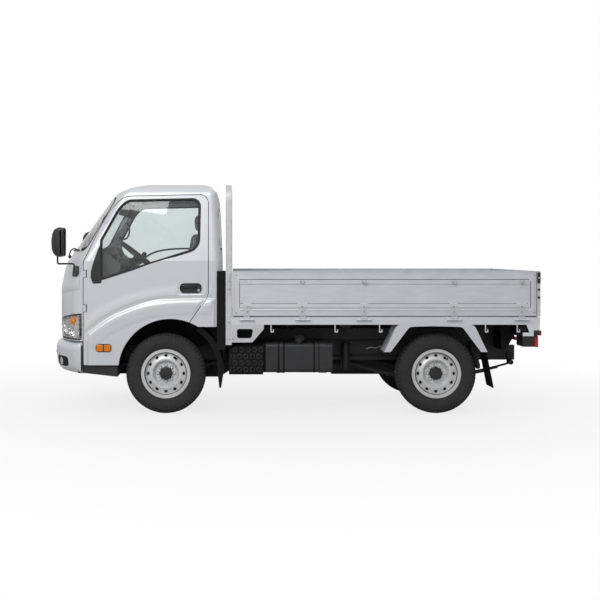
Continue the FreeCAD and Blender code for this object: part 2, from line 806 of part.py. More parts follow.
def cab_form(inset):
    """The whole cab as one block, drawn in by an inset on every side but the bottom."""
    height = BELT_Z - CAB_BASE_Z
    lower = []
    for rise, tuck in zip(NOSE_HEIGHT_SHARES, NOSE_TUCK_SHARES):
        lower.append(cab_section(
            CAB_BASE_Z + rise * height, NOSE_X + tuck * NOSE_TUCK, CAB_BACK_X, CAB_HALF_W,
            SHOULDER_DEPTH, CORNER_R, inset,
        ))
    belt_x = NOSE_X + NOSE_TUCK
    edge_x = belt_x + SCREEN_RUN
    edge_half = CAB_HALF_W - TUMBLEHOME
    edge_back = CAB_BACK_X - CAB_BACK_LEAN
    upper = [
        lower[-1],
        cab_section(ROOF_EDGE_Z, edge_x, edge_back, edge_half, SHOULDER_DEPTH_TOP, CORNER_R_TOP, inset),
    ]
    rise = ROOF_RISE - inset
    cap = []
    for i in range(ROOF_STEPS):
        angle = math.pi / 2 * i / (ROOF_STEPS - 1)
        up = math.sin(angle)
        bend = 1 - math.cos(angle)
        cap.append(cab_section(
            ROOF_EDGE_Z + rise * up,
            edge_x + ROOF_FRONT_SLOPE * up + ROOF_FRONT_ROUND * bend,
            edge_back - ROOF_REAR_ROUND * bend,
            edge_half - ROOF_SIDE_ROUND * bend,
            SHOULDER_DEPTH_TOP, CORNER_R_TOP, inset,
        ))
    parts = [
        Part.makeLoft(lower, True, False),
        Part.makeLoft(upper, True, True),
        Part.makeLoft(cap, True, False),
    ]
    return parts[0].fuse(parts[1]).fuse(parts[2])


def flare():
    """The near side's raised wheel-arch panel, chamfered along its crest, before it is trimmed."""
    rear = CAB_BACK_X - BACK_CORNER_R + FLARE_CHAMFER
    crest = [
        (FLARE_FRONT_X, FLARE_FRONT_Z),
        (FLARE_FRONT_X + DOOR_L * 0.19, FLARE_FRONT_Z + DOOR_H * 0.10),
        (FLARE_FRONT_X + DOOR_L * 0.53, FLARE_CREST_Z - DOOR_H * 0.006),
        (rear, FLARE_CREST_Z),
        (rear, CAB_BASE_Z - OVERRUN * 2),
        (FLARE_FRONT_X, CAB_BASE_Z - OVERRUN * 2),
    ]
    radii = [0, DOOR_L * 0.45, DOOR_L * 0.6, 0, 0, 0]
    foot = rounded(side(crest, -CAB_HALF_W + FIT), radii)
    drawn = offset(crest, -FLARE_CHAMFER)
    drawn_wire = rounded(side(drawn, -CAB_HALF_W - FLARE_T), radii)
    return Part.makeLoft([foot, drawn_wire], True, True)


def door_points(shares):
    """An outline in the door's own shares of length and height, as places and radii."""
    pairs = [(DOOR_FRONT_X + u * DOOR_L, CAB_BASE_Z + v * DOOR_H) for u, v, r in shares]
    radii = [r * DOOR_L for u, v, r in shares]
    return pairs, radii


def door_prism(grow):
    """The space a near-side door takes, grown by a gap, from outside the skin to inside the wall."""
    pairs, radii = door_points(DOOR_OUTLINE_SHARES)
    wire = rounded(side(offset(pairs, grow), -CAB_HALF_W - OVERRUN * 2),
        [max(r + grow, 0) for r in radii])
    block = prism(wire, V(0, OVERRUN * 2 + CAB_WALL + TUMBLEHOME * 2, 0))
    return block


def arch_cutter(grow):
    """The round space of the front wheel arch, right across the cab."""
    return rod(ARCH_R + grow, V(ARCH_X, -CAB_HALF_W * 2, ARCH_Z), V(ARCH_X, CAB_HALF_W * 2, ARCH_Z))


def window_prism(grow, y0, depth):
    """The space of the near-side door window."""
    pairs, radii = door_points(WINDOW_SHARES)
    wire = rounded(side(offset(pairs, grow), y0), radii)
    return prism(wire, V(0, depth, 0))


def screen_prism(grow):
    """The space of the windscreen, seen from the front."""
    pairs = [
        (-SCREEN_HALF_BOTTOM, SCREEN_BOTTOM_Z), (-SCREEN_HALF_TOP, SCREEN_TOP_Z),
        (SCREEN_HALF_TOP, SCREEN_TOP_Z), (SCREEN_HALF_BOTTOM, SCREEN_BOTTOM_Z),
    ]
    wire = rounded(front(offset(pairs, grow), FRONT_END_X), [SCREEN_CORNER_R] * 4)
    return prism(wire, V(FRONT_OVERHANG * 0.75, 0, 0))


def rear_window_prism():
    """The space of the cab's rear window."""
    pairs = [
        (-REAR_WINDOW_HALF, REAR_WINDOW_BOTTOM_Z), (-REAR_WINDOW_HALF, REAR_WINDOW_TOP_Z),
        (REAR_WINDOW_HALF, REAR_WINDOW_TOP_Z), (REAR_WINDOW_HALF, REAR_WINDOW_BOTTOM_Z),
    ]
    wire = rounded(front(pairs, CAB_BACK_X - CAB_WALL * 3), [REAR_WINDOW_R] * 4)
    return prism(wire, V(CAB_WALL * 4, 0, 0))


def lamp_prism(grow):
    """The space of the near-side headlamp, which wraps from the nose onto the corner."""
    pairs = [
        (-CAB_HALF_W - OVERRUN, LAMP_BOTTOM_Z), (-CAB_HALF_W - OVERRUN, LAMP_TOP_OUT_Z),
        (-LAMP_IN_Y, LAMP_TOP_IN_Z), (-LAMP_IN_Y - LAMP_CORNER_R, LAMP_BOTTOM_Z),
    ]
    radii = [0, 0, LAMP_CORNER_R, LAMP_CORNER_R]
    wire = rounded(front(offset(pairs, grow), FRONT_END_X), radii)
    return prism(wire, V(LAMP_OUT_X + grow - FRONT_END_X, 0, 0))


def cab_pieces():
    """The cab's outer panels, doors and glass, cut from one hollow form."""
    outer = cab_form(0)
    pad = flare()
    dressed = outer.fuse(pad).fuse(mirrored(pad))
    walls = dressed.cut(cab_form(CAB_WALL))
    arch = arch_cutter(0)
    walls = walls.cut(arch)

    pieces = {}
    hinge_x = DOOR_FRONT_X + HINGE_R
    hinge_y = -CAB_HALF_W + HINGE_R
    door = walls.common(door_prism(0))
    edge = box(
        DOOR_FRONT_X - OVERRUN, -CAB_HALF_W - OVERRUN, CAB_BASE_Z - OVERRUN,
        hinge_x, hinge_y, BELT_Z,
    )
    barrel = rod(HINGE_R, V(hinge_x, hinge_y, CAB_BASE_Z - OVERRUN),
        V(hinge_x, hinge_y, BELT_Z + OVERRUN))
    door = door.cut(edge.cut(barrel))
    lugs = []
    for z in DOOR_HINGE_ZS:
        centre = V(hinge_x, hinge_y, z)
        half = AXIS_Z * (HINGE_LUG_H / 2)
        bite = AXIS_Z * (HINGE_LUG_H / 2 + GAP + HINGE_PIN_BITE)
        door = door.cut(rod(HINGE_NOTCH_R, centre - half - AXIS_Z * GAP, centre + half + AXIS_Z * GAP))
        door = door.cut(rod(HINGE_PIN_R + FIT, centre - bite, centre + bite))
        lug = box(
            DOOR_FRONT_X - HINGE_LUG_T, hinge_y - HINGE_LUG_T / 2, z - HINGE_LUG_H / 2,
            hinge_x, hinge_y + HINGE_LUG_T / 2, z + HINGE_LUG_H / 2,
        )
        lugs += [lug, rod(HINGE_LUG_T / 2, centre - half, centre + half),
            rod(HINGE_PIN_R, centre - bite, centre + bite)]
    opening = window_prism(0, -CAB_HALF_W - OVERRUN, OVERRUN + CAB_WALL + TUMBLEHOME * 2)
    pane = cab_form(GLASS_INSET).cut(cab_form(GLASS_INSET + GLASS_T)).common(opening)
    pane = max(pane.Solids, key=lambda solid: solid.Volume)
    door = max(door.cut(opening).Solids, key=lambda solid: solid.Volume)
    pieces["door_left"] = door
    pieces["door_right"] = mirrored(door)
    pieces["door_glass_left"] = pane
    pieces["door_glass_right"] = mirrored(pane)

    hole = door_prism(GAP)
    body = walls.cut(hole).cut(mirrored(hole))
    split_x = DOOR_FRONT_X + HINGE_R * 2
    nose_space = box(
        FRONT_END_X - OVERRUN, -CAB_HALF_W * 2, NOSE_BOTTOM_Z,
        split_x, CAB_HALF_W * 2, BELT_Z,
    )
    nose = body.common(nose_space)
    lamp = cab_form(FIT).cut(cab_form(LAMP_DEPTH)).common(lamp_prism(0))
    lamp = max(lamp.Solids, key=lambda solid: solid.Volume)
    pieces["headlamps"] = both(lamp)
    nose = nose.cut(lamp_prism(0)).cut(mirrored(lamp_prism(0)))
    slot_h = (GRILLE_TOP_Z - GRILLE_BOTTOM_Z - GRILLE_BAR_H * (GRILLE_BARS - 1)) / GRILLE_BARS
    for i in range(GRILLE_BARS):
        z0 = GRILLE_BOTTOM_Z + i * (slot_h + GRILLE_BAR_H)
        slot = box(NOSE_X - OVERRUN, -GRILLE_HALF, z0, NOSE_X + CAB_WALL + OVERRUN * 2, GRILLE_HALF,
            z0 + slot_h)
        lengthwise = [e for e in slot.Edges if abs(e.tangentAt(0).x) > 0.9]
        nose = nose.cut(slot.makeFillet(min(GRILLE_R, slot_h * 0.45), lengthwise))
    nose = max(nose.Solids, key=lambda solid: solid.Volume)
    pieces["front_panel"] = fused([nose] + lugs + [mirrored(lug) for lug in lugs])

    glass = cab_form(FIT).cut(cab_form(GLASS_T)).common(screen_prism(0))
    pieces["windscreen"] = max(glass.Solids, key=lambda solid: solid.Volume)
    back_glass = cab_form(FIT).cut(cab_form(GLASS_T)).common(rear_window_prism())
    pieces["rear_window"] = max(back_glass.Solids, key=lambda solid: solid.Volume)

    shell = body.cut(nose_space).cut(screen_prism(0)).cut(rear_window_prism())
    below = box(
        FRONT_END_X - OVERRUN, -CAB_HALF_W * 2, CAB_BASE_Z - OVERRUN,
        CAB_BACK_X + OVERRUN, CAB_HALF_W * 2, PANEL_BOTTOM_Z,
    )
    pieces["cab_shell"] = max(shell.cut(below).Solids, key=lambda solid: solid.Volume)
    return pieces


def front_bumper():
    """The wrap-round bumper shell with its lower intake and two arms back to the frame."""
    def section(rise, tuck, inset):
        z = BUMPER_BOTTOM_Z + rise * (BUMPER_TOP_Z - BUMPER_BOTTOM_Z)
        return cab_section(
            z, FRONT_END_X + tuck * BUMPER_TUCK, CAB_BACK_X, BUMPER_HALF_W - tuck * BUMPER_TUCK / 4,
            SHOULDER_DEPTH + (NOSE_X - FRONT_END_X), CORNER_R, inset,
        )

    outer = Part.makeLoft([section(r, t, 0) for r, t in zip(BUMPER_HEIGHT_SHARES, BUMPER_TUCK_SHARES)],
        True, False)
    inner_sections = [section(r, t, BUMPER_T) for r, t in zip(BUMPER_HEIGHT_SHARES, BUMPER_TUCK_SHARES)]
    inner = Part.makeLoft(inner_sections, True, False)
    shell = outer.cut(inner)
    keep = box(
        FRONT_END_X - OVERRUN, -CAB_HALF_W * 2, BUMPER_BOTTOM_Z - OVERRUN,
        BUMPER_REAR_X, CAB_HALF_W * 2, BUMPER_TOP_Z + OVERRUN,
    )
    shell = shell.common(keep)
    intake = box(FRONT_END_X - OVERRUN, -INTAKE_HALF, INTAKE_BOTTOM_Z, NOSE_X + OVERRUN, INTAKE_HALF,
        INTAKE_TOP_Z)
    lengthwise = [e for e in intake.Edges if abs(e.tangentAt(0).x) > 0.9]
    shell = shell.cut(intake.makeFillet(GRILLE_R, lengthwise))
    arms = []
    for out in SIDES.values():
        y = out * (RAIL_Y - RAIL_W / 2)
        arm = box(
            FRONT_END_X + BUMPER_T / 2, y - BUMPER_ARM_W / 2, INTAKE_TOP_Z - BUMPER_T,
            FRAME_FRONT_X, y + BUMPER_ARM_W / 2, RAIL_TOP_Z,
        )
        arms.append(arm.common(outer))
    return fused([shell] + arms)


def cab_floor():
    """The footwell floor, the riser and the seat deck, with the cab's mounts on the frame."""
    inner_half = CAB_HALF_W - CAB_WALL - GAP
    front_x = NOSE_X + SHOULDER_DEPTH
    back_x = CAB_BACK_X - CAB_WALL
    shapes = [
        box(front_x, -inner_half, FLOOR_Z, RISER_X, inner_half, FLOOR_Z + FLOOR_T),
        box(RISER_X - FLOOR_T, -inner_half, FLOOR_Z, RISER_X, inner_half, SEAT_DECK_Z + SEAT_DECK_T),
        box(RISER_X - FLOOR_T, -inner_half, SEAT_DECK_Z, back_x, inner_half, SEAT_DECK_Z + SEAT_DECK_T),
        box(
            NOSE_X + CAB_WALL * 2, -LAMP_IN_Y, FLOOR_Z,
            front_x, LAMP_IN_Y, FLOOR_Z + FLOOR_T,
        ),
    ]
    for out in SIDES.values():
        y = out * (RAIL_Y - RAIL_W / 2)
        half = RAIL_W / 2
        shapes.append(box(front_x, y - half, RAIL_TOP_Z, front_x + RAIL_W * 2, y + half, FLOOR_Z))
        shapes.append(box(back_x - RAIL_W * 2, y - half, RAIL_TOP_Z, back_x, y + half, SEAT_DECK_Z))
    return fused(shapes).common(cab_form(CAB_WALL + FIT))


def cab_steps():
    """The dark step below each door, carried by the cab floor."""
    top = CAB_BASE_Z - GAP
    rear = RISER_X - LINER_T - FIT
    skin = -CAB_HALF_W + GAP * 2
    pairs = [
        (DOOR_FRONT_X, top), (rear, top), (rear, top - STEP_DROP),
        (DOOR_FRONT_X, top - STEP_DROP + STEP_RISE),
    ]
    tread = prism(rounded(side(pairs, skin), [0] * 4), V(0, CAB_HALF_W - GAP * 2 - STEP_IN_Y, 0))
    riser = box(DOOR_FRONT_X, -STEP_IN_Y - STEP_T, top - STEP_DROP / 2, rear, -STEP_IN_Y, FLOOR_Z)
    return both(fused([tread, riser]))


def arch_liners():
    """The dark lining over each front wheel, ending in a flap behind it."""
    outer_y = -CAB_HALF_W + CAB_WALL + GAP
    start = V(ARCH_X, outer_y, ARCH_Z)
    end = V(ARCH_X, -LINER_IN_Y, ARCH_Z)
    whole = rod(ARCH_R + LINER_T, start, end)
    lip_end = start + AXIS_Y * LIP_T
    lip = rod(ARCH_R + FIT, start, lip_end).cut(rod(ARCH_R - LIP_W, start, lip_end))
    ring = whole.cut(rod(ARCH_R, start, end)).common(arch_wedge(LINER_FRONT_DEG, outer_y))
    lip = lip.common(arch_wedge(LIP_TOP_DEG, outer_y))
    wall = rod(ARCH_R + LINER_T, end - AXIS_Y * LINER_T, end)
    wall = wall.common(box(
        ARCH_X - ARCH_R * 2, -CAB_HALF_W, WALL_BOTTOM_Z, ARCH_X + ARCH_R * 2, CAB_HALF_W,
        ARCH_Z + ARCH_R * 2,
    ))
    foot = math.radians(LINER_REAR_DEG)
    x = ARCH_X + ARCH_R * math.cos(foot)
    z = ARCH_Z + ARCH_R * math.sin(foot)
    low_x = x + FRONT_FLAP_LEAN
    flap_points = [
        (x, z + FLAP_T), (x + LINER_T, z + FLAP_T), (low_x + LINER_T, z - FRONT_FLAP_L),
        (low_x, z - FRONT_FLAP_L),
    ]
    flap = prism(rounded(side(flap_points, outer_y), [0] * 4), V(0, -LINER_IN_Y - outer_y, 0))
    edge_points = [(x - LIP_W, z + FLAP_T), (x + FIT, z + FLAP_T), (low_x + FIT, z - FRONT_FLAP_L),
        (low_x - FLAP_T, z - FRONT_FLAP_L)]
    edge = prism(rounded(side(edge_points, outer_y), [0] * 4), V(0, LIP_T, 0))
    return both(fused([ring, lip, wall, flap, edge]))


def arch_wedge(top_deg, outer_y):
    """The block that keeps an arch ring between its rear foot and a given angle."""
    reach = ARCH_R * 2
    middle = (LINER_REAR_DEG + top_deg) / 2
    points = [V(ARCH_X, outer_y, ARCH_Z)]
    for degrees in (LINER_REAR_DEG, middle - (middle - LINER_REAR_DEG) / 2,
        middle + (top_deg - middle) / 2, top_deg):
        angle = math.radians(degrees)
        points.append(V(ARCH_X + reach * math.cos(angle), outer_y, ARCH_Z + reach * math.sin(angle)))
    return prism(Part.makePolygon(points + points[:1]), V(0, -LINER_IN_Y - outer_y, 0))


def seats():
    """Two seats with cushions, backs and head rests, on the seat deck."""
    base_z = SEAT_DECK_Z + SEAT_DECK_T
    back_x = CAB_BACK_X - CAB_WALL - CAB_BACK_LEAN - SEAT_STAND_OFF - SEAT_BACK_LEAN
    shapes = []
    cushion = soft_box(
        back_x - SEAT_L - SEAT_BACK_T / 2, -SEAT_Y - SEAT_W / 2, base_z,
        back_x, -SEAT_Y + SEAT_W / 2, base_z + SEAT_T, SEAT_R,
    )
    half = SEAT_W / 2
    low = base_z + SEAT_T / 2
    high = low + SEAT_BACK_H
    pairs = [
        (back_x - SEAT_BACK_T, low), (back_x, low),
        (back_x + SEAT_BACK_LEAN, high), (back_x + SEAT_BACK_LEAN - SEAT_BACK_T * 0.8, high),
    ]
    radii = [0, 0, SEAT_R, SEAT_R]
    back = prism(rounded(side(pairs, -SEAT_Y - half), radii), V(0, SEAT_W, 0))
    rest_x = back_x + SEAT_BACK_LEAN
    rest = soft_box(
        rest_x - SEAT_BACK_T * 0.8, -SEAT_Y - HEADREST_W / 2, high - SEAT_R,
        rest_x, -SEAT_Y + HEADREST_W / 2, high + HEADREST_H, SEAT_R,
    )
    shapes = fused([cushion, back, rest])
    return both(shapes)


def dashboard():
    """The dashboard across the cab, with its lower column shroud."""
    half = CAB_HALF_W - CAB_WALL - DASH_END_GAP
    x0 = NOSE_X + SHOULDER_DEPTH + CAB_WALL
    pairs = [
        (x0, DASH_BOTTOM_Z), (x0, DASH_TOP_Z), (x0 + DASH_DEPTH * 0.65, DASH_TOP_Z),
        (x0 + DASH_DEPTH, DASH_TOP_Z - DASH_DEPTH * 0.3), (x0 + DASH_DEPTH * 0.7, DASH_BOTTOM_Z),
    ]
    radii = [0, 0, SEAT_R, SEAT_R, 0]
    block = prism(rounded(side(pairs, -half), radii), V(0, half * 2, 0))
    tie = box(NOSE_X + CAB_WALL / 2, -LAMP_IN_Y, DASH_BOTTOM_Z, x0, LAMP_IN_Y,
        DASH_TOP_Z - DASH_DEPTH / 4)
    whole = fused([block.common(cab_form(CAB_WALL + GAP)), tie.common(cab_form(CAB_WALL + FIT))])
    centre, axis = steering_line()
    return whole.cut(rod(COLUMN_R + FIT, centre - axis * (STEER_R * 3), centre))


def steering_line():
    """The middle of the steering wheel and the way its column points."""
    tilt = math.radians(STEER_TILT_DEG)
    return V(STEER_X, STEER_Y, STEER_Z), V(math.sin(tilt), 0, math.cos(tilt))


def steering_wheel():
    """The tilted steering wheel with its spokes and column."""
    tilt = math.radians(STEER_TILT_DEG)
    centre, axis = steering_line()
    rim = Part.makeTorus(STEER_R, STEER_RIM_R, centre, axis)
    hub = rod(STEER_HUB_R, centre - axis * STEER_HUB_T, centre)
    shapes = [rim, hub]
    slope = V(math.cos(tilt), 0, -math.sin(tilt))
    for angle in (90.0, 210.0, 330.0):
        turn = math.radians(angle)
        reach = slope * math.sin(turn) + AXIS_Y * math.cos(turn)
        shapes.append(rod(STEER_RIM_R * 0.7, centre - axis * STEER_HUB_T / 2, centre + reach * STEER_R))
    foot = centre - axis * (STEER_R * 1.6)
    shapes.append(rod(COLUMN_R, foot, centre - axis * STEER_HUB_T / 2))
    return fused(shapes)


def mirrors():
    """The door mirrors on bent tube arms, each with a base on the cab's front corner."""
    y = -MIRROR_Y
    head = soft_box(
        MIRROR_X - MIRROR_DEPTH / 2, y - MIRROR_W / 2, MIRROR_Z - MIRROR_H / 2,
        MIRROR_X + MIRROR_DEPTH / 2, y + MIRROR_W / 2, MIRROR_Z + MIRROR_H / 2, MIRROR_R,
    )
    arm_y = -CAB_HALF_W - MIRROR_TUBE_R - FIT
    path = [
        V(MIRROR_X, y, MIRROR_Z - MIRROR_H / 2 + MIRROR_R),
        V(MIRROR_X, y, MIRROR_ARM_Z),
        V(MIRROR_BASE_X, arm_y, MIRROR_ARM_Z),
        V(MIRROR_BASE_X, arm_y, MIRROR_BASE_Z),
    ]
    shapes = [head]
    for a, b in zip(path, path[1:]):
        shapes.append(rod(MIRROR_TUBE_R, a, b))
        shapes.append(Part.makeSphere(MIRROR_TUBE_R, b))
    foot = box(
        MIRROR_BASE_X - MIRROR_BASE_W / 2, arm_y - MIRROR_TUBE_R / 2, MIRROR_BASE_Z - MIRROR_BASE_H / 2,
        MIRROR_BASE_X + MIRROR_BASE_W / 2, arm_y + CORNER_R / 2, MIRROR_BASE_Z + MIRROR_BASE_H / 2,
    )
    foot = foot.cut(cab_form(0))
    foot = min(foot.Solids, key=lambda solid: solid.CenterOfMass.y)
    return both(fused(shapes + [foot]))


def hinge_knuckle(place, along, half, bored):
    """A round hinge barrel of a half-length along an axis, with a bore for the pin if asked."""
    barrel = rod(KNUCKLE_R, place - along * half, place + along * half)
    if not bored:
        return barrel
    bore = rod(GATE_PIN_R + FIT, place - along * (half + OVERRUN), place + along * (half + OVERRUN))
    return barrel.cut(bore)


def deck_hinges(places, along, outward, face):
    """The deck's half of each gate hinge: two ears on the rail and the pin between them."""
    shapes = []
    half = STRAP_W / 2
    for place in places:
        pin_half = half + EAR_W
        shapes.append(rod(GATE_PIN_R, place - along * pin_half, place + along * pin_half))
        for end in (-1, 1):
            centre = place + along * (end * (half + FIT * 2 + EAR_W / 2))
            shapes.append(hinge_knuckle(centre, along, EAR_W / 2 - FIT, False))
            a = centre - along * (EAR_W / 2 - FIT) - AXIS_Z * KNUCKLE_R
            b = centre + along * (EAR_W / 2 - FIT) + AXIS_Z * KNUCKLE_R - outward * face
            shapes.append(box(a.x, a.y, a.z, b.x, b.y, b.z))
    return shapes


def gate_hinges(places, along, outward, face):
    """The gate's half of each hinge: a bored barrel and the strap up the gate's outer face."""
    shapes = []
    half = STRAP_W / 2
    for place in places:
        barrel = rod(KNUCKLE_R, place - along * half, place + along * half)
        foot = place - outward * (face - STRAP_T)
        a = foot - along * half + AXIS_Z * (GATE_BOTTOM_Z - HINGE_AXIS_Z)
        b = foot - outward * (STRAP_T * 2) + along * half + AXIS_Z * (GATE_BOTTOM_Z - HINGE_AXIS_Z + STRAP_H)
        strap = box(a.x, a.y, a.z, b.x, b.y, b.z)
        c = place - along * half - outward * (face - STRAP_T / 3)
        d = place + along * half + AXIS_Z * (GATE_BOTTOM_Z - HINGE_AXIS_Z + STRAP_T)
        lug = box(c.x, c.y, c.z, d.x, d.y, d.z)
        bore = rod(GATE_PIN_R + FIT, place - along * (half + OVERRUN), place + along * (half + OVERRUN))
        shapes.append(strap)
        shapes.append(barrel.fuse(lug).cut(bore))
    return shapes


def side_hinge_places():
    """Where the near-side gate's hinge axis crosses each hinge."""
    y = -DECK_HALF_W - HINGE_AXIS_OUT
    return [V(SIDE_GATE_X + share * GATE_L, y, HINGE_AXIS_Z) for share in SIDE_HINGE_SHARES]


def tail_hinge_places():
    """Where the tail gate's hinge axis crosses each hinge."""
    x = TAIL_GATE_X + GATE_T + HINGE_AXIS_OUT
    width = 2 * DECK_HALF_W
    return [V(x, -DECK_HALF_W + share * width, HINGE_AXIS_Z) for share in TAIL_HINGE_SHARES]


def gate_panel(length):
    """A drop-side gate lying along X from 0, its outer face at Y 0 and its inner face at Y GATE_T."""
    frame = box(0, 0, 0, length, GATE_T, GATE_H)
    field = box(
        GATE_STILE, -OVERRUN, GATE_LOW_RAIL,
        length - GATE_STILE, GATE_PANEL_IN, GATE_H - GATE_TOP_RAIL,
    )
    inner_field = box(
        GATE_STILE, GATE_PANEL_IN + GATE_PANEL_T, GATE_LOW_RAIL,
        length - GATE_STILE, GATE_T + OVERRUN, GATE_H - GATE_TOP_RAIL,
    )
    panel = frame.cut(field).cut(inner_field)
    for z0 in (GATE_LOW_RAIL, GATE_H - GATE_TOP_RAIL - GATE_RIB_H):
        points = [
            V(GATE_STILE, GATE_PANEL_IN, z0),
            V(GATE_STILE, GATE_PANEL_IN - GATE_RIB_OUT, z0 + GATE_RIB_OUT),
            V(GATE_STILE, GATE_PANEL_IN - GATE_RIB_OUT, z0 + GATE_RIB_H - GATE_RIB_OUT),
            V(GATE_STILE, GATE_PANEL_IN, z0 + GATE_RIB_H),
        ]
        rib = prism(Part.makePolygon(points + points[:1]), V(length - 2 * GATE_STILE, 0, 0))
        panel = panel.fuse(rib)
    return panel.removeSplitter()


def side_gate():
    """The near-side gate with its hinge straps."""
    panel = gate_panel(GATE_L)
    panel.translate(V(SIDE_GATE_X, -DECK_HALF_W, GATE_BOTTOM_Z))
    shapes = gate_hinges(side_hinge_places(), AXIS_X, -AXIS_Y, HINGE_AXIS_OUT)
    face_y = -DECK_HALF_W + GATE_PANEL_IN - GATE_RIB_OUT
    top = GATE_TOP_Z - STAPLE_DROP
    for share in STAPLE_SHARES:
        x = SIDE_GATE_X + share * GATE_L
        shapes.append(soft_box(
            x - STAPLE_W / 2, face_y - STAPLE_OUT, top - STAPLE_H, x + STAPLE_W / 2,
            face_y + STAPLE_OUT, top, STAPLE_OUT / 2,
        ))
    return fused([panel] + shapes)


def tail_gate():
    """The tail gate with its hinge straps."""
    panel = gate_panel(2 * DECK_HALF_W)
    panel.rotate(V(0, 0, 0), AXIS_Z, 90)
    panel.translate(V(TAIL_GATE_X + GATE_T, -DECK_HALF_W, GATE_BOTTOM_Z))
    shapes = gate_hinges(tail_hinge_places(), AXIS_Y, AXIS_X, HINGE_AXIS_OUT)
    for out in SIDES.values():
        shapes.append(box(
            TAIL_GATE_X, out * (DECK_HALF_W - LATCH_T), GATE_TOP_Z - LATCH_H,
            TAIL_GATE_X + LATCH_W, out * (DECK_HALF_W + LATCH_T), GATE_TOP_Z - LATCH_T,
        ))
    return fused([panel] + shapes)


def rope_hook(x):
    """One round-bar rope hook below the near-side deck rail."""
    y = -DECK_HALF_W + SIDE_RAIL_T / 4
    top = DECK_TOP_Z - SIDE_RAIL_H
    bends = [V(x, y, top + FIT), V(x, y, top - HOOK_DROP), V(x + HOOK_THROAT, y, top - HOOK_DROP)]
    bends.append(bends[-1] + AXIS_Z * HOOK_LIP)
    shapes = [rod(HOOK_R, a, b) for a, b in zip(bends, bends[1:])]
    return shapes + [Part.makeSphere(HOOK_R, bend) for bend in bends[1:]]


def deck():
    """The load deck: floor, edge rails, cross-bearers and sills, with the gates' fixed hinge halves."""
    front_x = DECK_FRONT_X + HEADBOARD_T
    floor_bottom = DECK_TOP_Z - DECK_FLOOR_T
    rail_bottom = DECK_TOP_Z - SIDE_RAIL_H
    shapes = [box(front_x, -DECK_HALF_W, floor_bottom, DECK_REAR_X + GATE_T, DECK_HALF_W, DECK_TOP_Z)]
    for out in SIDES.values():
        shapes.append(box(
            front_x, out * (DECK_HALF_W - SIDE_RAIL_T), rail_bottom,
            DECK_REAR_X + GATE_T, out * DECK_HALF_W, DECK_TOP_Z,
        ))
        y = out * (RAIL_Y - RAIL_W / 2)
        shapes.append(box(
            front_x, y - SILL_W / 2, RAIL_TOP_Z,
            LAMP_BAR_X - GAP, y + SILL_W / 2, RAIL_TOP_Z + SILL_H,
        ))
    shapes.append(box(
        DECK_REAR_X + GATE_T - SIDE_RAIL_T, -DECK_HALF_W, rail_bottom,
        DECK_REAR_X + GATE_T, DECK_HALF_W, DECK_TOP_Z,
    ))
    run = DECK_REAR_X - SIDE_RAIL_T - BEARER_W - front_x
    for i in range(BEARER_COUNT):
        x = front_x + run * i / (BEARER_COUNT - 1)
        reach = DECK_HALF_W - SIDE_RAIL_T
        step = FENDER_IN_Y - GAP
        low, tip = floor_bottom - BEARER_H, floor_bottom - BEARER_TIP_H
        half = [(reach, floor_bottom), (reach, tip), (step, tip), (step - BEARER_TAPER, low)]
        across = [(-py, pz) for py, pz in reversed(half)]
        shapes.append(prism(rounded(front(across[1:] + half + across[:1], x), [0] * 8),
            V(BEARER_W, 0, 0)))
    near_hinges = deck_hinges(side_hinge_places(), AXIS_X, -AXIS_Y, HINGE_AXIS_OUT + STRAP_T)
    shapes += near_hinges + [mirrored(s) for s in near_hinges]
    for share in HOOK_SHARES:
        hook = rope_hook(front_x + share * (DECK_REAR_X + GATE_T - front_x))
        shapes += hook + [mirrored(s) for s in hook]
    tail_face = HINGE_AXIS_OUT + TAIL_GATE_X - DECK_REAR_X + STRAP_T
    shapes += deck_hinges(tail_hinge_places(), AXIS_Y, AXIS_X, tail_face)
    return fused(shapes)


